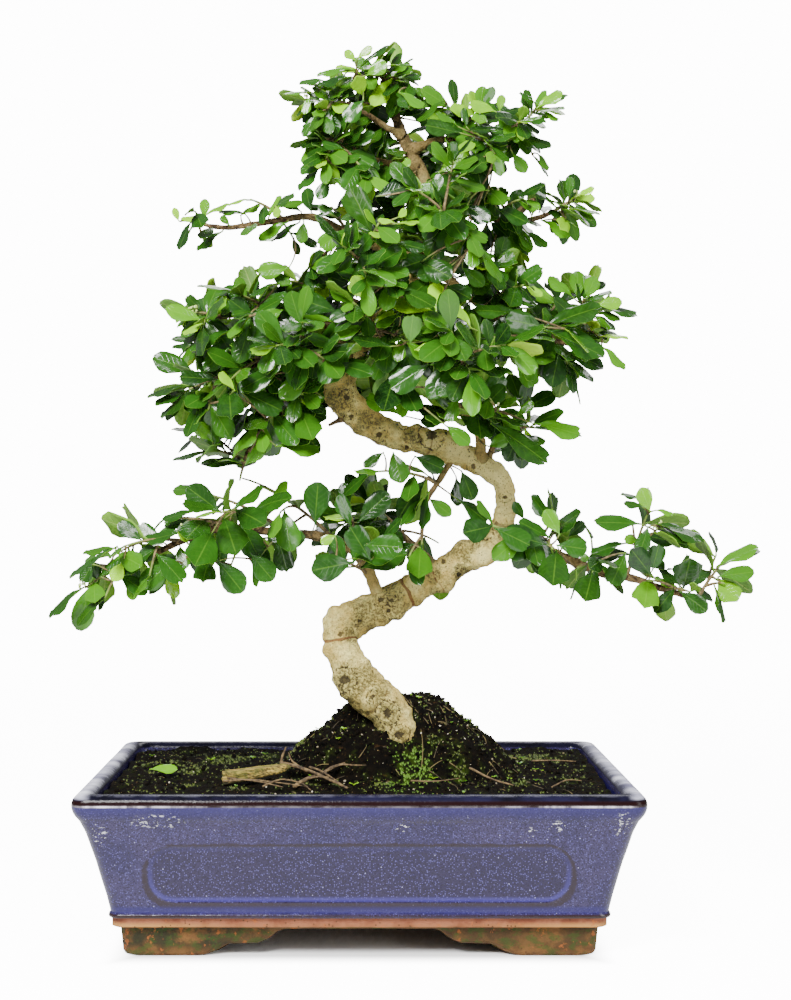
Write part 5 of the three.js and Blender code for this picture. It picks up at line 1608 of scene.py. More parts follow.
def sized_leaf(base, along, normal, length, keys, spray, width_share=0.26):
    """The numbers of a leaf, with its own width, bend and fold."""
    normal = unit(normal - along * normal.dot(along))
    return {
        "base": base,
        "along": along,
        "normal": normal,
        "across": np.cross(normal, along),
        "length": length,
        "half_width": length * width_share * mix(0.84, 1.04, draw(*keys, 6)),
        "bend": mix(0.04, 0.26, draw(*keys, 7)),
        "fold": mix(0.12, 0.42, draw(*keys, 8)),
        "phase": 6.28 * draw(*keys, 10),
        "toothed": draw(*keys, 9) < 0.16,
        "tone": draw(*keys, 11),
        "spray": spray,
    }


def leaf_of(shoot, index, attempt):
    """A leaf of a shoot, as the CAD has it. Later attempts turn it a little more."""
    keys = (shoot["spray"], shoot["number"], index)
    apex = shoot["apex"] if index == shoot["leaf_count"] - 1 else None
    share, base, axis, along = leaf_turn(shoot, index, attempt, keys)
    if apex is not None:
        along = apex - base
    along = unit(along)
    outward = unit(np.array((base[0] - 30, base[1], 0)))
    normal = np.array((0, 0, 0.65)) + outward * 0.6 + axis * 0.25
    normal[0] += 0.7 * (draw(*keys, 3) - 0.5)
    normal[1] += 0.7 * (draw(*keys, 4) - 0.5)
    length = 27 * mix(0.74, 1.2, draw(*keys, 5)) * mix(1, 0.86, share ** 4)
    limb = SPRAYS[shoot["spray"]][0]
    length *= mix(1, 0.72, clip_step(base[2], 430, 480)) * {"long_left": 0.6, "lower_left": 0.85}.get(limb, 1)
    if apex is not None:
        length = float(np.linalg.norm(apex - base))
    return sized_leaf(base, along, normal, length, keys, shoot["spray"])


def lit_normal(base, along, keys):
    """Which way a leaf's top turns: up, outward, and to the front or back that it grows on."""
    outward = unit(np.array((base[0] - 30, base[1], 0)))
    front = np.array((0, -1.0 if along[1] < 0.25 else 1.0, 0))
    jitter = np.array([draw(*keys, 12 + axis) - 0.5 for axis in range(3)])
    return np.array((0, 0, 0.75)) + outward * 0.3 + front * 0.6 + jitter * 0.7


def added_leaf(shoot, index, whorl, attempt):
    """A leaf that only this lesson adds. It hangs a little and turns its top to the light."""
    keys = (shoot["spray"], shoot["number"], index + 10 * whorl, 5)
    share, base, axis, along = leaf_turn(shoot, index, attempt, keys)
    along[2] -= mix(0.15, 0.75, draw(*keys, 15))
    along = unit(along)
    height = clip_step(base[2], 250, 420)
    length = mix(29, 20, height) * mix(0.72, 1.2, draw(*keys, 5)) * (0.86 if whorl else 1)
    length *= mix(1, 0.72, share ** 3 * draw(*keys, 16))
    return sized_leaf(base, along, lit_normal(base, along, keys), length, keys, shoot["spray"], 0.29)


# %% [markdown]
# Leaves that cut through each other give a foliage away. Before a leaf is kept, eight lines across
# its blade are tested against the blades that are already there, and the other way round. Placed
# leaves are kept in arrays, so one test runs over all near neighbours at once.

# %% Keeping leaves apart
CLEARANCE = 0.9
LINE_ENDS = np.array([
    [(0.1, 0), (0.5, 0)], [(0.5, 0), (1, 0)], [(0.1, 0), (0.45, 0.7)], [(0.45, 0.7), (0.9, 0.9)],
    [(0.1, 0), (0.45, -0.7)], [(0.45, -0.7), (0.9, -0.9)], [(0.9, -0.9), (0.9, 0.9)], [(0.6, -0.9), (0.6, 0.9)],
])


def rise_on(leaf, u, v):
    return leaf["fold"] * np.abs(v) * leaf["half_width"] - leaf["bend"] * leaf["length"] * u * u


def on_leaf(leaf, u, v):
    """Places on a leaf's middle surface, from shares of its length and half width."""
    return (
        leaf["base"]
        + np.multiply.outer(leaf["length"] * u, leaf["along"])
        + np.multiply.outer(leaf["half_width"] * v, leaf["across"])
        + np.multiply.outer(rise_on(leaf, u, v), leaf["normal"])
    )


class Foliage:
    """The leaves placed so far, as arrays."""

    def __init__(self):
        self.leaves = []
        self.rows = {key: [] for key in ("base", "along", "across", "normal", "shape", "lines")}
        self.arrays = None

    def add(self, leaf):
        self.leaves.append(leaf)
        for key in ("base", "along", "across", "normal", "lines"):
            self.rows[key].append(leaf[key])
        self.rows["shape"].append((leaf["length"], leaf["half_width"], leaf["fold"], leaf["bend"]))
        self.arrays = None

    def near(self, leaf):
        if self.arrays is None:
            self.arrays = {key: np.array(value) for key, value in self.rows.items()}
        reach = leaf["length"] + self.arrays["shape"][:, 0]
        return np.linalg.norm(self.arrays["base"] - leaf["base"], axis=1) <= reach

    def crosses(self, leaf):
        if not self.leaves:
            return False
        chosen = self.near(leaf)
        if not chosen.any():
            return False
        others = {key: value[chosen] for key, value in self.arrays.items()}
        own = {key: np.array(leaf[key])[None] for key in ("base", "along", "across", "normal", "lines")}
        own["shape"] = np.array([[leaf["length"], leaf["half_width"], leaf["fold"], leaf["bend"]]])
        return pierced(own, others["lines"]) or pierced(others, own["lines"])


def pierced(blades, lines):
    """Whether any line comes through any blade or close to it."""
    from_base = lines - blades["base"][:, None, None, :]
    length, half_width, fold, bend = (blades["shape"][:, i, None, None] for i in range(4))
    u = np.einsum("...k,...k", from_base, blades["along"][:, None, None, :] + 0 * from_base) / length
    v = np.einsum("...k,...k", from_base, blades["across"][:, None, None, :] + 0 * from_base) / half_width
    high = np.einsum("...k,...k", from_base, blades["normal"][:, None, None, :] + 0 * from_base)
    high = high - (fold * np.abs(v) * half_width - bend * length * u * u)
    first, last = high[..., 0], high[..., 1]
    apart = first * last > 0
    clear = apart & (np.minimum(np.abs(first), np.abs(last)) > CLEARANCE)
    step = np.where(apart, np.where(np.abs(first) < np.abs(last), 0.0, 1.0), first / (first - last + 1e-12))
    cross_u = u[..., 0] + (u[..., 1] - u[..., 0]) * step
    cross_v = v[..., 0] + (v[..., 1] - v[..., 0]) * step
    inside = (cross_u > 0.08) & (cross_u < 1.06)
    inside &= np.abs(cross_v) < 1.15 * np.minimum(1, 0.2 + 1.3 * cross_u)
    return bool((inside & ~clear).any())


# %% Keeping leaves off the wood
def wood_places():
    """Places along all the wood with their radius."""
    rows = []
    for name, (root, end, _) in LIMBS.items():
        line = limb_lines[name]
        count = math.ceil(line_length(line) / 5)
        rows += [(*line(i / count), mix(root, end, i / count)) for i in range(count + 1)]
    count = math.ceil(line_length(trunk_line) / 5)
    for i in range(count + 1):
        along = i / count * (len(TRUNK) - 1)
        index = min(int(along), len(TRUNK) - 2)
        rows.append((*trunk_line(i / count), mix(TRUNK[index][3], TRUNK[index + 1][3], along - index)))
    return np.array(rows)


WOOD_PLACES = wood_places()
TEST_U = np.repeat([0.5, 0.75, 1.0], 3)
TEST_V = np.tile([-0.8, 0.0, 0.8], 3)


def meets_wood(leaf):
    away = np.linalg.norm(WOOD_PLACES[:, :3] - leaf["base"], axis=1)
    close = WOOD_PLACES[away < leaf["length"] + WOOD_PLACES[:, 3] + 4]
    if not len(close):
        return False
    points = on_leaf(leaf, TEST_U, TEST_V)
    gaps = np.linalg.norm(points[:, None] - close[None, :, :3], axis=2)
    return bool((gaps < close[:, 3] + 2.5).any())


# %% [markdown]
# The leaves of the CAD come first and in its order: those at the tips, then one lower down. After
# them come the leaves that only this lesson adds: the rest of each shoot from the tip down, and
# then smaller ones beside them, because this plant bears its leaves in tufts. A leaf that would
# leave the CAD's box is not kept.

# %% White places between the leaves
WHITE_PLACES = [
    (200, 110, 80), (230, 160, 40), (180, 276, 20), (228, 268, 11), (90, 350, 55), (85, 430, 60), (140, 470, 34),
    (150, 500, 14), (212, 478, 10), (240, 481, 8), (336, 432, 16), (334, 460, 16), (280, 622, 38), (215, 640, 50),
    (330, 600, 18), (690, 415, 75), (610, 452, 30), (575, 490, 12), (566, 470, 22), (690, 110, 95), (610, 140, 36),
    (524, 170, 15), (604, 246, 18), (548, 248, 12), (510, 610, 34), (600, 640, 36), (465, 550, 16), (468, 528, 14),
    (448, 522, 12), (545, 470, 14), (608, 500, 16), (610, 616, 10), (262, 600, 14), (300, 600, 20), (150, 620, 22),
    (690, 640, 26), (735, 500, 36), (270, 60, 22), (440, 50, 26), (520, 60, 28), (60, 520, 36), (300, 470, 16),
    (318, 46, 14), (262, 178, 22), (187, 470, 12), (330, 245, 6), (300, 262, 5), (445, 532, 20), (412, 532, 10), (396, 578, 10), (480, 575, 10), (490, 590, 16), (640, 240, 36), (255, 480, 12), (120, 640, 30), (650, 630, 14),
]


BARE_TRUNK = [
    (338, 392, 13), (352, 408, 13), (372, 422, 13), (394, 430, 13), (416, 436, 12), (438, 440, 13), (458, 446, 13),
    (478, 454, 13), (494, 470, 13), (504, 490, 12), (508, 510, 12), (400, 128, 11), (412, 146, 9), (424, 168, 10),
    (378, 120, 9), (460, 552, 12), (440, 562, 12),
]


def in_white(leaf):
    """Whether a leaf would hide the white, or the bare trunk, that the photograph shows in a place."""
    across, down = in_photo(leaf["lines"].reshape(-1, 3))
    hides = WHITE_PLACES + (BARE_TRUNK if leaf["base"][1] < 4 else [])
    for middle_across, middle_down, reach in hides:
        if (np.hypot(across - middle_across, down - middle_down) < reach).any():
            return True
    return False


print("white places:", len(WHITE_PLACES))

# %% [markdown]
# On the sparse branches the photograph shows every leaf by itself, so there they are placed one by
# one. Each row gives the spray, the leaf's base and apex and its width as seen in the picture, how
# far it lies behind the pot's middle, and how young it is.

# %% Leaves that are seen singly
SEEN_LEAVES = [
    (0, (94, 582), (95, 602), 20, -36, 0.45), (0, (118, 546), (69, 577), 7, -30, 0.05),
    (0, (117, 548), (83, 553), 6, -22, 0.3), (0, (98, 578), (128, 553), 12, -26, 0.5),
    (0, (84, 587), (48, 616), 9, -30, 0.1), (0, (93, 563), (82, 582), 12, -42, 0.1),
    (0, (100, 577), (126, 561), 13, -38, 0.1), (1, (117, 553), (142, 566), 20, -28, 0.4),
    (1, (124, 561), (113, 581), 14, -40, 1), (1, (131, 577), (133, 600), 12, -30, 0.6),
    (0, (97, 580), (93, 563), 14, -18, 0.05), (1, (122, 560), (101, 577), 14, -34, 0.02),
    (2, (172, 561), (142, 588), 22, -38, 0.15), (2, (168, 566), (176, 598), 13, -26, 0.8),
    (2, (161, 541), (140, 560), 15, -24, 0.1), (2, (186, 532), (143, 540), 13, -34, 0.08),
    (3, (196, 511), (162, 518), 9, -22, 0.05), (3, (192, 518), (164, 526), 12, -14, 0.15),
    (3, (221, 512), (187, 487), 23, -30, 0.05), (3, (222, 513), (182, 503), 10, -40, 0.12),
    (2, (189, 545), (179, 530), 7, -42, 0.9), (3, (212, 533), (196, 563), 31, -46, 0.05),
    (3, (224, 518), (236, 553), 31, -38, 0.12), (3, (208, 562), (203, 582), 22, -34, 0),
    (4, (217, 560), (243, 592), 24, -42, 0), (4, (240, 522), (259, 557), 24, -30, 0.05),
    (4, (250, 553), (273, 580), 22, -38, 0.08), (4, (263, 538), (305, 538), 21, -36, 0.05),
    (2, (180, 545), (183, 570), 16, -20, 0.3), (4, (232, 512), (263, 487), 11, -30, 0.08),
    (4, (263, 524), (286, 481), 14, -24, 0.5),
    (5, (353, 562), (313, 570), 27, -46, 0.06), (5, (351, 527), (339, 495), 15, -36, 0),
    (5, (315, 525), (318, 482), 26, -34, 0.02), (5, (357, 523), (389, 493), 22, -30, 0.08),
    (5, (371, 561), (350, 527), 23, -44, 0), (5, (364, 545), (401, 547), 25, -52, 0.12),
    (5, (353, 558), (391, 557), 13, -38, 0.05), (5, (336, 535), (321, 543), 10, -40, 0.8),
    (38, (423, 498), (400, 524), 9, -22, 0.1), (38, (429, 492), (421, 528), 10, -16, 0),
    (38, (420, 547), (419, 576), 25, -26, 0.3), (38, (428, 498), (451, 515), 14, -12, 0.3),
    (39, (384, 452), (364, 467), 11, -26, 0.15), (39, (393, 452), (402, 482), 20, -34, 0.2),
    (39, (414, 456), (444, 469), 17, -24, 0.06),
    (10, (548, 545), (503, 532), 24, -42, 0.04), (10, (550, 538), (519, 521), 15, -34, 0.08),
    (10, (524, 520), (514, 502), 10, -22, 0.04), (10, (556, 530), (532, 495), 15, -30, 0),
    (10, (560, 535), (545, 510), 16, -40, 0.6), (9, (568, 537), (584, 522), 12, -26, 0.04),
    (9, (556, 545), (587, 549), 19, -44, 0.06), (10, (556, 550), (553, 585), 30, -38, 0.12),
    (9, (592, 572), (586, 599), 26, -36, 0.12), (9, (592, 562), (580, 555), 8, -30, 0.5),
    (8, (641, 524), (596, 521), 17, -30, 0.08), (8, (626, 543), (591, 553), 10, -26, 0),
    (9, (626, 552), (611, 585), 20, -40, 0.15), (8, (650, 512), (641, 488), 16, -26, 0.7),
    (8, (642, 500), (621, 494), 5, -20, 0), (8, (643, 507), (624, 503), 8, -30, 0.1),
    (8, (655, 510), (673, 514), 6, -24, 0.6), (8, (655, 523), (704, 540), 13, -34, 0.12),
    (8, (648, 526), (640, 553), 15, -38, 0.1), (8, (637, 541), (625, 539), 9, -32, 0.6),
    (8, (651, 575), (632, 550), 22, -44, 0), (8, (652, 571), (659, 545), 17, -30, 0.04),
    (7, (648, 580), (645, 606), 27, -26, 0.6), (7, (682, 592), (655, 577), 7, -24, 0.6),
    (6, (683, 588), (690, 559), 28, -30, 0.1), (7, (679, 591), (707, 611), 18, -40, 0.1),
    (7, (682, 588), (660, 568), 10, -18, 0.05), (6, (716, 567), (757, 545), 12, -22, 0.5),
    (6, (717, 577), (754, 571), 16, -30, 0.3), (6, (717, 579), (737, 601), 22, -22, 0.7),
    (6, (712, 572), (690, 581), 12, -16, 0.1),
    (19, (179, 222), (174, 208), 7, -24, 0.9), (19, (203, 219), (181, 218), 7, -22, 0.9),
    (19, (204, 219), (205, 199), 10, -20, 0.6), (19, (204, 216), (229, 204), 7, -24, 0.7),
    (20, (246, 214), (219, 212), 7, -22, 0.2), (20, (230, 226), (221, 216), 7, -26, 0.3),
    (20, (240, 216), (260, 205), 8, -24, 0.6), (19, (223, 231), (197, 250), 10, -22, 0.08),
    (20, (268, 219), (281, 196), 9, -26, 0.6), (20, (288, 222), (259, 240), 14, -24, 0.45),
    (21, (300, 222), (271, 241), 9, -18, 0.1), (21, (304, 221), (301, 243), 12, -26, 0.4),
    (21, (316, 215), (341, 215), 9, -24, 0.04), (21, (302, 212), (281, 202), 8, -20, 0.04),
    (20, (290, 268), (258, 272), 18, -30, 0.55), (18, (268, 272), (290, 284), 12, -26, 0.3),
    (30, (366, 300), (353, 277), 19, -84, 0.9), (17, (335, 322), (295, 317), 13, -60, 0.5),
    (35, (366, 326), (335, 337), 14, -70, 0.4), (35, (355, 344), (320, 382), 24, -72, 0.05),
    (35, (429, 364), (391, 389), 24, -70, 0.05), (14, (313, 325), (272, 361), 21, -58, 0.05),
    (14, (250, 325), (238, 363), 20, -54, 0.12), (14, (287, 366), (240, 387), 21, -56, 0.05),
    (12, (229, 390), (231, 417), 26, -52, 0.06), (12, (240, 391), (283, 410), 22, -50, 0.06),
    (13, (218, 380), (179, 376), 16, -46, 0.04), (13, (235, 391), (220, 372), 9, -60, 0.9),
    (13, (229, 348), (204, 370), 16, -44, 0.12), (13, (233, 330), (190, 350), 13, -46, 0.06),
    (16, (203, 321), (166, 308), 17, -40, 0.6), (16, (205, 325), (225, 296), 14, -38, 0.65),
    (16, (254, 318), (230, 300), 17, -44, 0.02), (17, (278, 283), (249, 296), 6, -50, 0.05),
    (17, (290, 295), (259, 310), 12, -52, 0.08), (17, (283, 310), (264, 318), 13, -56, 0.45),
    (17, (277, 315), (260, 350), 23, -60, 0.12), (17, (338, 312), (297, 298), 22, -52, 0.05),
    (18, (343, 231), (320, 247), 18, -46, 0.45), (18, (345, 238), (372, 222), 20, -44, 0.04),
    (30, (395, 223), (378, 220), 7, -86, 0.9), (30, (398, 218), (406, 210), 8, -86, 0.9),
    (30, (397, 224), (419, 222), 6, -86, 0.8), (30, (392, 238), (369, 233), 7, -84, 0.8),
    (30, (396, 243), (425, 249), 13, -82, 0.04), (30, (365, 301), (396, 288), 15, -78, 0.02),
    (34, (410, 344), (413, 315), 19, -84, 0.35), (34, (414, 350), (437, 348), 13, -86, 0.95),
    (34, (430, 365), (449, 364), 10, -84, 0.5), (35, (391, 347), (354, 337), 13, -76, 0.05),
    (35, (401, 315), (376, 326), 10, -74, 0.3), (11, (213, 442), (196, 424), 14, -40, 0.6),
    (12, (301, 411), (312, 438), 26, -46, 0.2), (12, (275, 446), (320, 450), 14, -44, 0.4),
    (12, (232, 459), (256, 428), 13, -50, 0.45), (12, (245, 465), (263, 447), 14, -44, 0.45),
    (13, (202, 400), (186, 437), 14, -42, 0.08), (13, (199, 388), (161, 418), 9, -36, 0.12),
    (13, (192, 386), (147, 395), 6, -36, 0.1), (36, (400, 415), (367, 396), 16, -34, 0.45),
    (36, (418, 412), (391, 390), 16, -34, 0.5), (14, (325, 397), (308, 405), 12, -40, 0.5),
    (14, (312, 372), (280, 398), 20, -50, 0.35), (31, (597, 307), (638, 314), 11, -16, 0.1),
    (31, (595, 305), (622, 302), 13, -20, 0.7), (31, (601, 346), (625, 369), 11, -30, 0.5),
    (31, (578, 300), (577, 271), 15, -4, 0.5), (31, (586, 299), (595, 277), 15, -8, 0.55),
    (31, (573, 298), (549, 277), 13, -10, 0.5), (31, (557, 304), (534, 292), 13, -16, 0.6),
    (31, (545, 327), (600, 304), 21, -40, 0.1), (31, (545, 330), (605, 354), 24, -46, 0.06),
    (32, (543, 327), (506, 319), 24, -52, 0.1), (32, (520, 314), (474, 308), 16, -54, 0.12),
    (33, (471, 337), (526, 340), 14, -58, 0.15), (33, (470, 343), (499, 353), 18, -60, 0.35),
    (32, (518, 353), (555, 358), 16, -34, 0.35), (32, (518, 356), (534, 387), 18, -30, 0.35),
    (32, (575, 335), (587, 361), 12, -36, 0.2), (34, (457, 369), (513, 371), 10, -76, 0.02),
    (36, (490, 398), (471, 380), 18, -60, 0.1), (36, (489, 400), (485, 418), 16, -56, 0.25),
    (35, (458, 396), (448, 422), 13, -66, 0.3), (36, (534, 424), (581, 433), 18, -44, 0.4),
    (36, (490, 423), (549, 461), 24, -50, 0.12), (36, (490, 417), (529, 424), 6, -46, 0.1),
    (36, (516, 417), (533, 402), 10, -40, 0.45), (36, (488, 447), (508, 437), 14, -40, 0.5),
    (35, (445, 425), (470, 444), 15, -66, 0.3), (33, (471, 329), (454, 301), 11, -74, 0.85),
    (29, (446, 270), (417, 276), 15, -70, 0.02), (29, (434, 321), (455, 315), 11, -76, 0.02),
    (28, (498, 264), (505, 237), 17, -22, 0.15), (28, (503, 266), (518, 278), 14, -18, 0.55),
    (28, (490, 276), (521, 291), 15, -34, 0.05), (29, (461, 267), (484, 285), 15, -56, 0.2),
    (28, (465, 247), (495, 257), 8, -40, 0.2), (28, (469, 257), (499, 267), 11, -44, 0.02),
    (33, (499, 295), (537, 303), 9, -40, 0.15), (27, (557, 208), (530, 188), 8, -26, 0.15),
    (27, (569, 197), (570, 177), 9, -20, 0.15), (27, (576, 197), (594, 188), 8, -22, 0.9),
    (27, (569, 209), (600, 213), 5, -20, 0.15), (27, (541, 220), (570, 237), 12, -26, 0.5),
    (27, (566, 216), (548, 212), 8, -24, 0.1), (27, (515, 232), (533, 249), 8, -30, 0.15),
    (27, (526, 232), (547, 247), 11, -26, 0.1), (28, (496, 208), (528, 222), 16, -42, 0.04),
    (28, (484, 204), (510, 198), 10, -40, 0.55), (27, (532, 216), (519, 196), 8, -26, 0.02),
    (28, (466, 206), (489, 221), 18, -56, 0.02), (26, (484, 202), (477, 165), 18, -40, 0.05),
    (26, (470, 200), (436, 180), 24, -52, 0.02), (26, (414, 190), (436, 187), 12, -60, 0.4),
    (28, (457, 247), (458, 219), 18, -50, 0.04), (28, (425, 222), (446, 240), 15, -60, 0.02),
    (24, (356, 70), (317, 73), 10, -24, 0.45), (24, (357, 59), (372, 47), 9, -20, 0.85),
    (24, (360, 67), (389, 46), 8, -22, 0.1), (24, (356, 61), (345, 51), 9, -22, 0.8),
    (24, (386, 66), (413, 66), 4, -20, 0.2), (24, (366, 76), (386, 63), 15, -28, 0.6),
    (24, (362, 95), (357, 77), 16, -38, 0.95), (22, (316, 93), (282, 93), 6, -26, 0.5),
    (22, (352, 77), (318, 86), 10, -34, 0.02), (24, (364, 100), (345, 121), 17, -44, 0.02),
    (22, (310, 97), (304, 114), 9, -30, 0.6), (22, (316, 115), (303, 136), 11, -28, 0.1),
    (22, (330, 108), (326, 130), 11, -36, 0.1), (24, (398, 92), (424, 107), 12, -36, 0.5),
    (24, (409, 109), (398, 99), 9, -40, 0.02), (26, (445, 100), (417, 121), 9, -36, 0.2),
    (24, (440, 98), (424, 87), 11, -20, 0.02), (26, (460, 133), (425, 125), 17, -44, 0.12),
    (26, (458, 127), (436, 112), 9, -38, 0.35), (26, (466, 128), (464, 108), 8, -34, 0.05),
    (25, (496, 112), (470, 104), 13, -28, 0.75), (25, (499, 112), (502, 95), 9, -24, 0.7),
    (25, (535, 103), (519, 93), 6, -20, 0.1), (25, (536, 109), (562, 92), 13, -22, 0.7),
    (25, (543, 112), (558, 121), 7, -20, 0.4), (25, (525, 109), (505, 112), 8, -30, 0.05),
    (25, (520, 120), (546, 122), 8, -26, 0.02), (25, (505, 130), (470, 128), 10, -36, 0.03),
    (25, (512, 133), (500, 118), 11, -34, 0.25), (25, (520, 137), (551, 147), 13, -28, 0.1),
    (25, (537, 153), (548, 170), 8, -22, 0.3), (25, (512, 153), (526, 172), 13, -26, 0.35),
    (25, (507, 150), (494, 166), 13, -26, 0.3), (26, (438, 173), (470, 154), 20, -40, 0.65),
    (26, (470, 150), (492, 158), 13, -36, 0.3), (29, (375, 197), (413, 183), 20, -66, 0.03),
    (23, (366, 205), (341, 200), 14, -48, 0.02), (23, (372, 203), (369, 185), 10, -54, 0.7),
    (24, (396, 176), (410, 159), 9, -46, 0.65), (23, (330, 158), (343, 150), 8, -34, 0.75),
    (23, (331, 162), (360, 156), 11, -40, 0.08), (23, (335, 166), (360, 174), 8, -42, 0.02),
    (23, (325, 163), (298, 189), 11, -34, 0.05), (23, (330, 178), (318, 199), 13, -38, 0.03),
    (23, (332, 178), (354, 188), 11, -42, 0.25), (23, (345, 150), (322, 143), 10, -34, 0.02),
    (10, (493, 526), (465, 532), 24, -46, 0.04), (10, (493, 526), (478, 500), 9, -44, 0.3),
    (10, (494, 528), (530, 545), 22, -48, 0.05),
    (39, (457, 499), (487, 521), 15, -4, 0.02), (39, (461, 470), (473, 500), 18, -12, 0.12),
    (39, (456, 476), (458, 506), 13, 2, 0.02),
    (22, (395, 141), (366, 128), 20, 22, 0), (24, (392, 118), (372, 108), 18, 18, 0),
    (23, (396, 165), (368, 151), 20, 24, 0), (23, (396, 172), (370, 174), 20, 30, 0),
    (24, (406, 108), (430, 118), 16, 20, 0), (26, (442, 152), (428, 138), 18, 18, 0),
    (26, (432, 178), (456, 187), 18, 26, 0), (23, (405, 204), (378, 199), 22, 24, 0),
    (23, (402, 214), (374, 220), 22, 32, 0), (18, (348, 226), (372, 211), 20, 8, 0.02),
    (22, (380, 108), (362, 118), 16, 12, 0.02), (24, (386, 96), (370, 100), 16, 8, 0.02),
    (17, (336, 300), (310, 286), 20, -14, 0), (25, (470, 134), (446, 140), 16, 12, 0),
    (29, (420, 262), (450, 276), 24, -64, 0.1), (29, (432, 258), (404, 266), 22, -66, 0.05),
    (29, (446, 286), (470, 298), 20, -60, 0.05), (29, (430, 280), (410, 296), 20, -64, 0.12),
    (22, (386, 128), (376, 108), 18, 34, 0), (22, (378, 138), (360, 152), 18, 34, 0.02),
    (23, (380, 150), (384, 172), 18, 40, 0), (24, (414, 118), (398, 100), 18, 36, 0),
    (24, (420, 122), (444, 132), 18, 38, 0.02), (26, (436, 160), (414, 176), 18, 40, 0),
    (23, (388, 190), (368, 206), 18, 44, 0.02), (23, (402, 196), (388, 216), 18, 44, 0),
    (18, (366, 214), (384, 232), 18, 18, 0.02), (22, (352, 108), (366, 128), 16, 14, 0.02),
    (28, (484, 230), (470, 250), 18, -10, 0), (28, (490, 222), (508, 236), 16, -6, 0.05),
    (28, (486, 252), (474, 236), 16, 14, 0), (29, (470, 270), (452, 262), 18, -30, 0),
]


def seen_leaf(number, attempt):
    """A leaf that the photograph shows singly. A wide short one comes forward, a narrow one stands on edge."""
    spray, base_seen, tip_seen, width_seen, depth, _ = SEEN_LEAVES[number]
    depth += (0, -4, 4, -8, 8, -12, 12)[attempt]
    scale = (depth + CAMERA_DISTANCE) / PICTURE_REACH
    base = from_photo(*base_seen, depth)
    seen_length = float(np.linalg.norm(from_photo(*tip_seen, depth) - base))
    width = width_seen * scale
    forward = math.sqrt(max(0, (width / 0.62) ** 2 - seen_length ** 2))
    tip = from_photo(*tip_seen, depth - forward - 2)
    along = unit(tip - base)
    length = float(np.linalg.norm(tip - base))
    whole = max(width, 0.48 * length)
    side = np.cross(along, (0, -1.0, 0))
    side = unit(side if side[2] > 0 else -side)
    facing = width / whole
    normal = np.array((0, -facing, 0.15)) + side * math.sqrt(max(0, 1 - facing ** 2))
    leaf = sized_leaf(base, along, normal, length, (number, 45), spray)
    leaf.update(half_width=0.53 * whole, bend=mix(0.02, 0.1, draw(number, 46)), seen=number)
    leaf["fold"] = mix(0.3, 0.55, draw(number, 47))
    return leaf


print("leaves read one by one:", len(SEEN_LEAVES))

# %% Growing the foliage
BOX_LOW = (np.array(cad_box[0]) - np.array(POT_MIDDLE)) * METRE
BOX_HIGH = (np.array(cad_box[1]) - np.array(POT_MIDDLE)) * METRE
foliage = Foliage()


def keep_leaf(grow, tries, share, must_fit=True, may_hide=True):
    """Keeps the first attempt at a leaf that stays clear of wood and of its neighbours."""
    for attempt in range(tries):
        leaf = grow(attempt)
        leaf["lines"] = on_leaf(leaf, LINE_ENDS[..., 0], LINE_ENDS[..., 1])
        inside = (leaf["lines"] > BOX_LOW + 0.6).all() and (leaf["lines"] < BOX_HIGH - 0.6).all()
        if must_fit and not inside or may_hide and in_white(leaf):
            continue
        if not meets_wood(leaf) and not foliage.crosses(leaf):
            leaf["share"] = share
            foliage.add(leaf)
            return


def is_lower(shoot):
    """Whether a shoot is one of those that bear a second leaf in the CAD."""
    return shoot["number"] == 0 or (shoot["number"] == 1 and shoot["spray"] % 2 == 0)


for number in range(len(SEEN_LEAVES)):
    keep_leaf(lambda attempt: seen_leaf(number, attempt), 7, 0.5, may_hide=False)
print("leaves as seen singly:", len(foliage.leaves))
for shoot in shoots:
    last = shoot["leaf_count"] - 1
    keep_leaf(lambda attempt: leaf_of(shoot, last, attempt), 8, 1.0)
for shoot in filter(is_lower, shoots):
    index = shoot["leaf_count"] - 4
    keep_leaf(lambda attempt: leaf_of(shoot, index, attempt), 6, 0.5)
print("with those of the CAD:", len(foliage.leaves))

# %% Leaves that the CAD leaves out
SPARSE = ("lower_left", "lower_right", "hanging", "long_left")
AIRY = {"upper_right": 1, "right_low": 1, "droop_left": 2}
CROWN = ("crown_left", "crown_left_low", "trunk", "crown_right", "back_top")
for whorl in range(5):
    for shoot in shoots:
        limb = SPRAYS[shoot["spray"]][0]
        if whorl > (0 if limb in SPARSE else 4 if limb in CROWN else AIRY.get(limb, 2)):
            continue
        for index in range(shoot["leaf_count"] - 1, -1, -1):
            taken = whorl == 0 and (
                index == shoot["leaf_count"] - 1 or is_lower(shoot) and index == shoot["leaf_count"] - 4
            )
            bare = 0.68 if limb in SPARSE else 0.4 if limb in AIRY and whorl else 0
            if taken or draw(shoot["spray"], shoot["number"], index, 40) < bare:
                continue
            share = index / (shoot["leaf_count"] - 1)
            keep_leaf(lambda attempt: added_leaf(shoot, index, whorl, attempt), 5, share)
print("leaves with the shoots' own tufts:", len(foliage.leaves))

# %% [markdown]
# Older wood bears leaves too, on short spurs that stand straight off the limb. They fill the inside
# of the crown, and they are what makes it dark between the outer leaves.

# %% Leaves on the limbs
BARE = {"stub_right": 1, "thorn": 1, "hanging": 1}


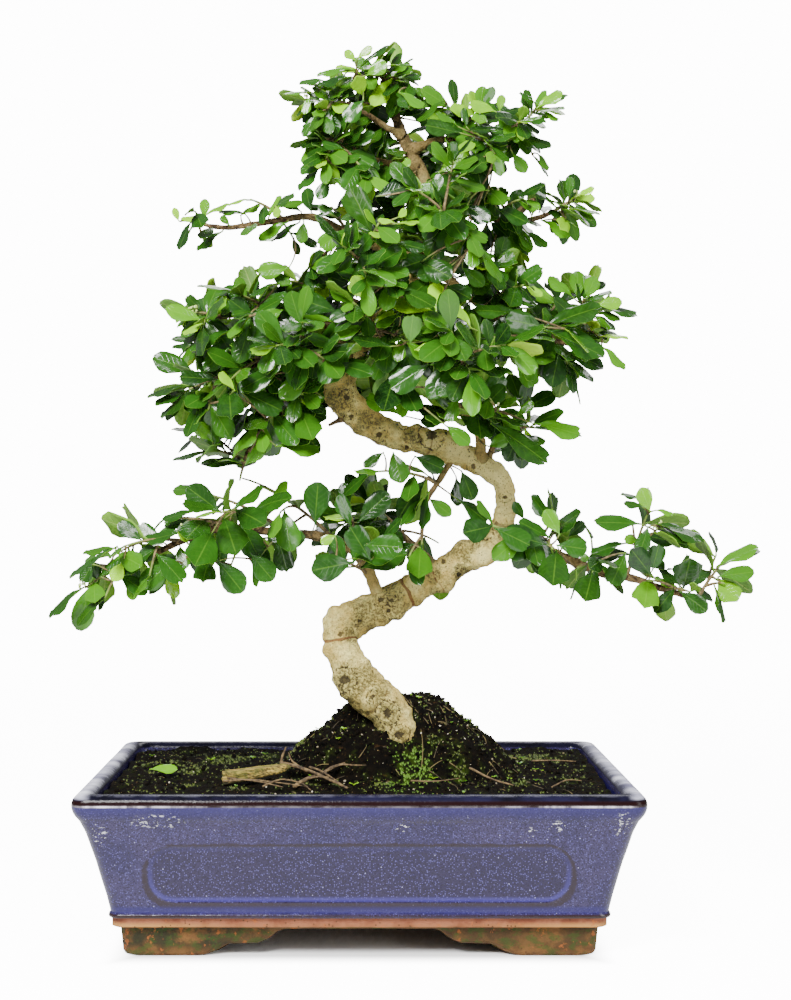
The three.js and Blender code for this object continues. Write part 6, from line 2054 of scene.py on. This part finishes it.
def spur_leaf(line, share, spray, keys, attempt):
    """A leaf on a spur of a limb or of the upper trunk."""
    base = line(share)
    axis = heading(line, share)
    side = unit(np.cross(axis, (0.1, 0.1, 1)))
    above = np.cross(side, axis)
    turn = 6.28 * draw(*keys, 1) + 1.3 * attempt
    along = axis * 0.35 + side * math.cos(turn) + above * math.sin(turn)
    along[2] -= 0.3 * draw(*keys, 2)
    along = unit(along)
    length = mix(17, 27, draw(*keys, 3)) * mix(1, 0.75, clip_step(base[2], 380, 470))
    return sized_leaf(base + along * 3, along, lit_normal(base, along, keys), length, keys, spray, 0.29)


def nearest_spray(limb, share):
    """The spray of a limb whose root is nearest to a place along it."""
    own = [(abs(spray[1] - share), number) for number, spray in enumerate(SPRAYS) if spray[0] == limb]
    return min(own)[1] if own else None


spur_lines = [(name, limb_lines[name], 0.2) for name in LIMBS if name not in BARE]
spur_lines.append(("trunk", trunk_line, 0.64))
for limb_number, (name, line, start) in enumerate(spur_lines):
    count = round(line_length(line) * (1 - start) / (1.3 if name in CROWN else 4.2))
    for step in range(count):
        share = mix(start, 1, step / count)
        spray = nearest_spray(name, share)
        keys = (limb_number, step, 61)
        if spray is not None and not (name in SPARSE and draw(*keys) < 0.85):
            keep_leaf(lambda attempt: spur_leaf(line, share, spray, keys, attempt), 6, 0.1)
print("leaves in all:", len(foliage.leaves))

# %% [markdown]
# Young leaves stand at the tips and are bright yellow green, old ones below are dark. A few have
# turned yellow. Each leaf keeps its own tone and youth as numbers on its points, and one finish
# reads them for the whole tree.

# %% Youth of each leaf
for number, leaf in enumerate(foliage.leaves):
    at_tip = max(0, leaf["share"] - 0.55) / 0.45
    luck = draw(number, 31)
    high = clip_step(leaf["base"][2], 300, 540)
    small = clip_step(leaf["length"], 20, 12)
    leaf["youth"] = min(1, at_tip * luck ** 2 * mix(0.45, 1, small) + 0.35 * high * luck ** 2 + 0.12 * luck)
    if draw(number, 32) < 0.02:
        leaf["youth"] = mix(0.8, 1.0, draw(number, 33))
    if "seen" in leaf:
        leaf["youth"] = SEEN_LEAVES[leaf["seen"]][5]
print("young leaves:", sum(leaf["youth"] > 0.5 for leaf in foliage.leaves))

# %% [markdown]
# The top of a leaf is waxy and mirrors the studio, its veins are pale and sunk. Underneath it is
# matte, paler and yellower, and the midrib stands proud. Both finishes read the leaf's own map, in
# which one axis runs across the blade and the other from foot to apex. The veins are a node group
# because both sides need them.


# %% Veins as a shared effect
def make_veins():
    tree, start, end = new_group(
        "veins", [], [("Midrib", "NodeSocketFloat"), ("Side veins", "NodeSocketFloat")]
    )
    flat = add_node(tree, "SeparateXYZ", Vector=add_node(tree, "UVMap", {"uv_map": "blade"}).outputs[0])
    across = sums(tree, "ABSOLUTE", sums(tree, "SUBTRACT", flat.outputs["X"], 0.5))
    along = flat.outputs["Y"]
    midrib = ramp(tree, across, 0.012, 0.035, 1.0, 0.0)
    slanted = sums(tree, "SUBTRACT", along, sums(tree, "MULTIPLY", across, 0.55))
    wave = sums(tree, "ABSOLUTE", sums(tree, "SUBTRACT", sums(tree, "FRACT", sums(tree, "MULTIPLY", slanted, 7.5)), 0.5))
    side = ramp(tree, wave, 0.05, 0.13, 1.0, 0.0)
    side = sums(tree, "MULTIPLY", side, ramp(tree, across, 0.36, 0.5, 1.0, 0.0))
    tree.links.new(midrib, end.inputs["Midrib"])
    tree.links.new(side, end.inputs["Side veins"])
    return tree


EFFECTS["veins"] = make_veins()


def veins(tree):
    node = tree.nodes.new("ShaderNodeGroup")
    node.node_tree = EFFECTS["veins"]
    return node.outputs["Midrib"], node.outputs["Side veins"]


# %% The two sides of a leaf
leaf_top, tree, shader, place = new_finish("leaf_top")
tone = attribute(tree, "tone")
youth = attribute(tree, "youth")
midrib, side_veins = veins(tree)
old = mixed(tree, tone, screen_colour(14, 37, 12), screen_colour(34, 77, 16))
colour = mixed(tree, ramp(tree, youth, 0.0, 0.6), old, screen_colour(70, 126, 18))
colour = mixed(tree, ramp(tree, youth, 0.5, 1.0), colour, screen_colour(132, 188, 8))
blotch = mottling(tree, place, 5.0, 0.4, 0.65, 4.0)
colour = mixed(tree, sums(tree, "MULTIPLY", blotch, 0.2), colour, screen_colour(44, 96, 12))
colour = mixed(tree, sums(tree, "MULTIPLY", side_veins, 0.03), colour, screen_colour(110, 150, 50))
colour = mixed(tree, sums(tree, "MULTIPLY", midrib, 0.16), colour, screen_colour(120, 170, 50))
feed(tree, shader.inputs["Base Color"], colour)
feed(tree, shader.inputs["Roughness"], ramp(tree, blotch, 0.0, 1.0, 0.13, 0.24))
shader.inputs["Specular IOR Level"].default_value = 0.36
pillow = sums(tree, "MULTIPLY", sums(tree, "MAXIMUM", sums(tree, "MULTIPLY", side_veins, 0.55), midrib), -1.0)
relief(tree, shader, pillow, 0.11, 0.5)

leaf_under, tree, shader, place = new_finish("leaf_underside")
tone = attribute(tree, "tone")
youth = attribute(tree, "youth")
midrib, side_veins = veins(tree)
pale = mixed(tree, tone, screen_colour(62, 106, 14), screen_colour(104, 152, 24))
colour = mixed(tree, ramp(tree, youth, 0.3, 1.0), pale, screen_colour(158, 200, 36))
colour = mixed(tree, sums(tree, "MULTIPLY", side_veins, 0.15), colour, screen_colour(130, 156, 70))
colour = mixed(tree, sums(tree, "MULTIPLY", midrib, 0.5), colour, screen_colour(150, 172, 80))
feed(tree, shader.inputs["Base Color"], colour)
shader.inputs["Roughness"].default_value = 0.55
relief(tree, shader, sums(tree, "MAXIMUM", midrib, side_veins), 0.3, 0.5)

# %% Green and brown shoots
shoot_bark, tree, shader, place = new_finish("shoot_bark")
youth = attribute(tree, "youth")
brown = mixed(tree, mottling(tree, place, 2.5, 0.4, 0.6), screen_colour(74, 62, 36), screen_colour(120, 104, 62))
feed(tree, shader.inputs["Base Color"], mixed(tree, youth, brown, screen_colour(110, 140, 50)))
shader.inputs["Roughness"].default_value = 0.7
relief(tree, shader, add_node(tree, "TexNoise", Vector=place, Scale=1.6, Detail=4.0).outputs[0], 0.5, 0.6)
LEAF_FINISHES = [leaf_top, leaf_under, shoot_bark]
print("leaf finishes:", [material.name for material in LEAF_FINISHES])


# %% Sprays as pieces
def shoot_surface(thick, thin):
    def surface(share, centre, outward):
        rough = 0.12 * noise.noise(Vector(centre + outward) / 1.5)
        return mix(thick, thin, share) * (1 + rough), {"youth": clip_step(share, 0.55, 1.0), "tone": 0.5}

    return surface


def stalk_of(leaf):
    """A thin stalk from the nearest wood of its own limb to a leaf that was placed singly."""
    limb = SPRAYS[leaf["spray"]][0]
    lines = [shoot["line"] for shoot in shoots if shoot["spray"] == leaf["spray"]]
    lines.append(trunk_line if limb == "trunk" else limb_lines[limb])
    places = np.array([line(step / 40) for line in lines for step in range(41)])
    away = np.linalg.norm(places - leaf["base"] - (leaf["base"] - places) * (0, 0, 0.2), axis=1)
    start = places[np.argmin(away)]
    middle = (start + leaf["base"]) / 2 - leaf["along"] * 0.15 * away.min()
    return bowed_line(start, middle, leaf["base"] + leaf["along"] * 0.8)


def spray_piece(spray):
    """All the shoots and leaves of one spray, as one piece for its CAD node."""
    form = bmesh.new()
    form.loops.layers.uv.new("blade")
    form.verts.layers.float.new("tone")
    form.verts.layers.float.new("youth")
    for shoot in shoots:
        if shoot["spray"] == spray:
            thick = 1.25 if shoot["number"] == 0 else 0.95
            rolled_rod(form, ("tone", "youth"), shoot["line"], 10, 6, shoot_surface(thick, 0.6))
    own = [leaf for leaf in foliage.leaves if leaf["spray"] == spray]
    for leaf in own:
        if "seen" in leaf:
            rolled_rod(form, ("tone", "youth"), stalk_of(leaf), 8, 5, shoot_surface(0.75, 0.4))
    for face in form.faces:
        face.material_index = 2
    tone_layer = form.verts.layers.float["tone"]
    youth_layer = form.verts.layers.float["youth"]
    for leaf, verts in zip(own, stamp(form, leaf_blank, [leaf_places(leaf) for leaf in own])):
        for vert in verts:
            vert[tone_layer] = leaf["tone"]
            vert[youth_layer] = leaf["youth"]
    limb = SPRAYS[spray][0]
    node = f"spray_{spray + 1:02d}_{limb}"
    return finish_piece(f"foliage_{spray + 1:02d}_{limb}", form, LEAF_FINISHES, [node])


spray_pieces = [spray_piece(spray) for spray in range(len(SPRAYS))]
print("foliage triangles:", sum(triangles(piece) for piece in spray_pieces))

# %% [markdown]
# ## What lies and grows on the soil
#
# Moss is thousands of needle tufts. One tuft is four thin cones that lean apart, and each copy is turned and sized
# its own way. It stands thickest on the patches, and thin everywhere else, as it does on a pot that is watered every
# day.

# %% Moss tufts
needle_form = bmesh.new()
for lean in range(4):
    around = lean * 1.57 + 0.4
    leaning = turned((math.cos(around), math.sin(around), 1.5), 0)
    needle = bmesh.ops.create_cone(needle_form, segments=3, radius1=0.3, radius2=0, depth=1)["verts"]
    for vert in needle:
        vert.co = Vector((np.array(vert.co) + (0, 0, 0.5)) @ leaning)
tuft_blank = as_blank(needle_form, "tuft_blank")
print("faces of a tuft:", len(tuft_blank[0].polygons))


def tuft_places(x, y, size, *keys):
    """The points of one tuft, upright on the soil and turned its own way."""
    lean = (draw(*keys, 4) - 0.5, draw(*keys, 5) - 0.5, 1.6)
    axes = turned(lean, 6.28 * draw(*keys, 6))
    return (tuft_blank[1] * (0.8, 0.8, 1)) @ axes * size + (x, y, soil_surface(x, y) - 0.3)


tufts = bmesh.new()
tuft_copies = []
for key in range(15000):
    x, y = near_mound(key, 51) if key % 3 == 0 else soil_place(key, 52, spread_x=144, spread_y=97)
    share = moss_share(x, y)
    if draw(key, 53) < 0.13 + 0.87 * share:
        tuft_copies.append(tuft_places(x, y, mix(1.1, 2.2, draw(key, 54)) * (0.65 + 0.5 * share), key))
stamp(tufts, tuft_blank, tuft_copies)
moss_green, tree, shader, place = new_finish("moss_green")
clump = mottling(tree, place, 7.0, 0.38, 0.62, 4.0)
colour = mixed(tree, clump, screen_colour(30, 40, 6), screen_colour(66, 84, 12))
colour = mixed(tree, mottling(tree, place, 1.6, 0.45, 0.65), colour, screen_colour(88, 98, 20))
at = add_node(tree, "SeparateXYZ", Vector=place)
bright = sums(tree, "MULTIPLY", ramp(tree, at.outputs["Y"], -20.0, -30.0), ramp(tree, at.outputs["X"], 10.0, 24.0))
bright = sums(tree, "MULTIPLY", bright, ramp(tree, at.outputs["X"], 60.0, 46.0))
colour = mixed(tree, sums(tree, "MULTIPLY", bright, 0.6), colour, screen_colour(80, 126, 10))
feed(tree, shader.inputs["Base Color"], colour)
shader.inputs["Roughness"].default_value = 0.6
moss = finish_piece("moss_tufts", tufts, [moss_green])
print("moss tufts:", len(tuft_copies), "triangles:", triangles(moss))

# %% [markdown]
# Dry straws, root fibres and pale grains of perlite catch the light between the clods. A straw is
# a thin rod along a bowed line, and a grain is the crumb blank again in another finish.

# %% Straws and grains
straws = bmesh.new()


def straw_line(key):
    """A thin bowed line that lies on the soil and rises a little in the middle."""
    x, y = near_mound(key, 71) if key % 3 else soil_place(key, 72, spread_x=132, spread_y=88)
    heading_angle = 6.28 * draw(key, 73)
    reach = mix(4, 15, draw(key, 74) ** 2)
    side = reach * 0.35 * (draw(key, 75) - 0.5)
    ends = []
    for end in (-0.5, 0.5):
        end_x = x + end * reach * math.cos(heading_angle)
        end_y = y + end * reach * math.sin(heading_angle)
        ends.append(np.array((end_x, end_y, soil_surface(end_x, end_y) + 0.4)))
    middle = (ends[0] + ends[1]) / 2
    middle += (-side * math.sin(heading_angle), side * math.cos(heading_angle), 0)
    middle[2] = max(middle[2], soil_surface(x, y)) + mix(0.3, 1.4, draw(key, 76))
    return bowed_line(ends[0], middle, ends[1])


def straw_surface(share, centre, outward):
    return mix(0.36, 0.16, share), {}


for key in range(120):
    rolled_rod(straws, (), straw_line(key), 5, 4, straw_surface)
straw_dry, tree, shader, place = new_finish("dry_straw")
tone = mottling(tree, place, 14.0, 0.4, 0.6, 3.0)
colour = mixed(tree, tone, screen_colour(48, 38, 18), screen_colour(100, 86, 46))
feed(tree, shader.inputs["Base Color"], colour)
shader.inputs["Roughness"].default_value = 0.75
soil_straws = finish_piece("soil_straws", straws, [straw_dry])

grains = bmesh.new()
grain_copies = []
for key in range(190):
    spot = near_mound(key, 81) if key % 2 else soil_place(key, 82)
    grain_copies.append(crumb_places(key, *spot, mix(0.35, 0.95, draw(key, 83) ** 2)) + (0, 0, 0.3))
stamp(grains, crumb_blank, grain_copies)
perlite, tree, shader, place = new_finish("pale_grain")
colour = mixed(tree, mottling(tree, place, 9.0, 0.4, 0.6), screen_colour(110, 96, 66), screen_colour(196, 188, 166))
feed(tree, shader.inputs["Base Color"], colour)
shader.inputs["Roughness"].default_value = 0.7
soil_grains = finish_piece("soil_grains", grains, [perlite])
print("straws and grains:", triangles(soil_straws), triangles(soil_grains))

# %% [markdown]
# ### The bark chip and the dry twig
#
# A weathered chip of bark lies left of the mound, and a dry twig beside it. The CAD has both as
# plain bars. The chip is a rod again, but pressed flat, split into long fibres and broken off at
# its ends. The twig's stems keep their places and get nodes, bends and thin side twigs.

# %% Bark chip
chip_line = smooth_line([(-82, -46, 94), (-68, -42, 96), (-52, -34, 97.5), (-40, -26, 98)])


def sliver_line(number):
    """One sliver of the chip, beside the chip's own line and with its own ends."""
    aside = np.array((0, mix(-5.5, 5.5, draw(number, 61)), mix(-2.0, 2.2, draw(number, 62))))
    start = 0.16 * draw(number, 63)
    end = 1 - 0.3 * draw(number, 64)
    spread = 0.5 * (draw(number, 65) - 0.5)

    def at(share):
        along = mix(start, end, share)
        return chip_line(along) + aside * mix(1.15 - spread, 0.6 + spread, share)

    return at


def sliver_surface(share, centre, outward):
    """A thin sliver with a sharp far end and fibres that run along it."""
    angle = math.atan2(outward[2], outward[1])
    fibres = 0.35 * noise.noise(Vector((angle * 2.5, share * 3, centre[1])))
    return (mix(2.7, 1.5, share) + fibres) * (1 - 0.75 * clip_step(share, 0.86, 1.0)), {}


chip = bmesh.new()
for number in range(15):
    rolled_rod(chip, (), sliver_line(number), 20, 9, sliver_surface)
chip_wood, tree, shader, place = new_finish("weathered_chip")
fibre = mottling(tree, stretched(tree, place, 0.22, 1.6, 1.6), 2.0, 0.36, 0.64, 6.0)
colour = mixed(tree, fibre, screen_colour(62, 54, 16), screen_colour(176, 148, 66))
green = mottling(tree, place, 9.0, 0.42, 0.58, 5.0)
colour = mixed(tree, sums(tree, "MULTIPLY", green, 0.6), colour, screen_colour(78, 88, 22))
low = ramp(tree, add_node(tree, "SeparateXYZ", Vector=place).outputs["Z"], 94.6, 92.6)
colour = mixed(tree, sums(tree, "MULTIPLY", low, 0.8), colour, screen_colour(28, 28, 10))
feed(tree, shader.inputs["Base Color"], colour)
shader.inputs["Roughness"].default_value = 0.85
relief(tree, shader, fibre, 0.9, 0.8)
bark_chip = finish_piece("bark_chip_fibres", chip, [chip_wood], ["bark_chip"])
print("bark chip triangles:", triangles(bark_chip))

# %% Dry twig
TWIG_STEMS = [
    (1.3, 0.8, [(-38, -64, 93), (-31, -51, 95.4), (-24, -40, 96), (-16, -33, 99.4), (-9, -28, 101)]),
    (1.2, 0.7, [(-24, -42, 96), (-29, -37, 96.8), (-32, -32, 96), (-36, -26, 98.2), (-38, -20, 97)]),
    (0.8, 0.3, [(-31, -51, 95.4), (-25, -54, 97), (-18, -55, 97)]),
    (0.7, 0.25, [(-16, -33, 99.4), (-10, -37, 101.6), (-3, -38, 101.4), (4, -42, 102)]),
    (0.7, 0.25, [(-36, -26, 98.2), (-41, -24, 102), (-43, -25, 107)]),
]


def twig_surface_of(root, end):
    def surface(share, centre, outward):
        rough = 0.22 * noise.noise(Vector(centre + outward * root) / 1.8)
        node = 0.12 * max(0, math.sin(share * 19))
        return mix(root, end, share) * (1 + rough + node), {}

    return surface


dry = bmesh.new()
for root, end, points in TWIG_STEMS:
    rolled_rod(dry, (), smooth_line(points), 22, 8, twig_surface_of(root, end))
twig_wood, tree, shader, place = new_finish("grey_twig")
tone = mottling(tree, stretched(tree, place, 1.0, 0.4, 1.0), 3.0, 0.36, 0.64, 5.0)
colour = mixed(tree, tone, screen_colour(54, 40, 24), screen_colour(116, 94, 60))
colour = mixed(tree, speckles(tree, place, 1.6, 0.3, 0.25), colour, screen_colour(50, 40, 26))
feed(tree, shader.inputs["Base Color"], colour)
shader.inputs["Roughness"].default_value = 0.85
relief(tree, shader, tone, 0.5, 0.7)
dry_twig = finish_piece("dry_twig_stems", dry, [twig_wood], ["dry_twig"])
print("dry twig triangles:", triangles(dry_twig))

# %% Loose twigs and root fibres
LOOSE_TWIGS = [
    (1.3, 0.7, [(-48, -15, 99), (-38, -30, 99.4), (-24, -50, 97.6), (-7, -75, 94)]),
    (1.0, 0.4, [(-48, -15, 99), (-47, -15, 104), (-45, -15, 109)]),
    (0.8, 0.4, [(-30, -30, 99), (-22, -44, 98.4), (-10, -68, 94.6)]),
    (0.7, 0.3, [(-80, -58, 95), (-64, -62, 96.6), (-48, -66, 95.6), (-30, -70, 94)]),
    (0.6, 0.3, [(-78, -52, 96), (-60, -66, 96.4), (-44, -76, 94.6)]),
    (0.6, 0.3, [(-56, -74, 94.6), (-46, -64, 97), (-34, -70, 96), (-28, -80, 93.6)]),
    (0.8, 0.4, [(66, -40, 100), (78, -56, 96), (90, -64, 93.6)]),
    (0.5, 0.25, [(30, -62, 96), (44, -66, 96.4), (58, -60, 97)]),
    (0.5, 0.25, [(110, 30, 93.6), (124, 26, 94.6), (138, 28, 93.6)]),
    (0.5, 0.25, [(112, -66, 93), (122, -54, 95), (132, -46, 93.4)]),
]
loose = bmesh.new()
for root, end, points in LOOSE_TWIGS:
    rolled_rod(loose, (), smooth_line(points), 16, 6, twig_surface_of(root, end))
loose_twigs = finish_piece("loose_twigs", loose, [twig_wood])
print("loose twig triangles:", triangles(loose_twigs))

# %% [markdown]
# One leaf has just fallen, so it is still bright, and it lies folded on the soil at the left. The
# leaf blank is used once more, with the numbers of the CAD's leaf. Round the pot stand a few
# seedlings, each a pair of the same small leaves.

# %% Fallen leaf and seedlings
fallen_along = unit(np.array((1, 0.25, 0.02)))
fallen = sized_leaf(np.array((-127, -29, 97.4)), fallen_along, np.array((0.1, -0.7, 0.8)), 17, (5, 5), 0)
fallen.update(half_width=3.6, fold=0.4, bend=0.06, toothed=False, tone=0.9, youth=0.7)


def leaves_form(leaves):
    """A form with some loose leaves, each with its tone and youth."""
    form = bmesh.new()
    form.loops.layers.uv.new("blade")
    tone_layer = form.verts.layers.float.new("tone")
    youth_layer = form.verts.layers.float.new("youth")
    for leaf, verts in zip(leaves, stamp(form, leaf_blank, [leaf_places(leaf) for leaf in leaves])):
        for vert in verts:
            vert[tone_layer] = leaf["tone"]
            vert[youth_layer] = leaf["youth"]
    return form


fallen_leaf = finish_piece("fallen_leaf_blade", leaves_form([fallen]), [leaf_top, leaf_under], ["fallen_leaf"])
seedlings = []
for key in range(46):
    x, y = near_mound(key, 91) if key % 2 else soil_place(key, 92)
    for side in (0, 3.14):
        angle = side + 6.28 * draw(key, 93)
        along = unit(np.array((math.cos(angle), math.sin(angle), 0.5)))
        base = np.array((x, y, soil_surface(x, y) + 1.0))
        sprout = sized_leaf(base, along, np.array((0, 0, 1.0)), mix(1.8, 3.4, draw(key, 94)), (key, 95), 0, 0.36)
        sprout.update(youth=mix(0.3, 0.9, draw(key, 96)))
        seedlings.append(sprout)
soil_seedlings = finish_piece("soil_seedlings", leaves_form(seedlings), [leaf_top, leaf_under])
print("seedlings:", len(seedlings) // 2)

# %% [markdown]
# Buds are small and pale, in clusters at the shoot tips: a few green beads. They are few, so each cluster is given by
# its own place.

# %% Buds at the tips
BUD_PLACES = [
    (-108, -30, 362), (31, -42, 396), (-43, -20, 492), (86, -34, 324), (-104, -30, 238), (-172, -36, 214),
    (184, -30, 238), (54, -46, 330), (80, -30, 440), (140, -14, 470),
]
buds = bmesh.new()
bud_copies = []
for key, spot in enumerate(BUD_PLACES):
    spray_points = np.array([leaf["base"] for leaf in foliage.leaves])
    nearest = spray_points[np.argmin(np.linalg.norm(spray_points - spot, axis=1))]
    for number in range(7):
        away = np.array([draw(key, number, axis) - 0.5 for axis in range(3)]) * 5 + (0, -1.5, 2.5)
        size = mix(0.8, 1.3, draw(key, number, 4))
        axes = turned((draw(key, number, 5) - 0.5, draw(key, number, 6) - 0.5, 1), 0)
        bud_copies.append((crumb_blank[1] * (0.8, 0.8, 1.2)) @ axes * size + nearest + away)
stamp(buds, crumb_blank, bud_copies)
bud_green, tree, shader, place = new_finish("bud_green")
tone = mottling(tree, place, 2.0, 0.4, 0.6)
feed(tree, shader.inputs["Base Color"], mixed(tree, tone, screen_colour(150, 180, 70), screen_colour(216, 226, 160)))
shader.inputs["Roughness"].default_value = 0.5
flower_buds = finish_piece("flower_buds", buds, [bud_green])
print("bud clusters:", len(BUD_PLACES))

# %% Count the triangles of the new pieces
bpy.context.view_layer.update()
small_pieces = [soil_crumbs, moss, soil_straws, soil_grains, bark_chip, dry_twig, fallen_leaf, soil_seedlings]
new_pieces = [pot, soil, wood, *spray_pieces, *small_pieces, flower_buds]
print("triangles in new pieces:", sum(triangles(piece) for piece in new_pieces))
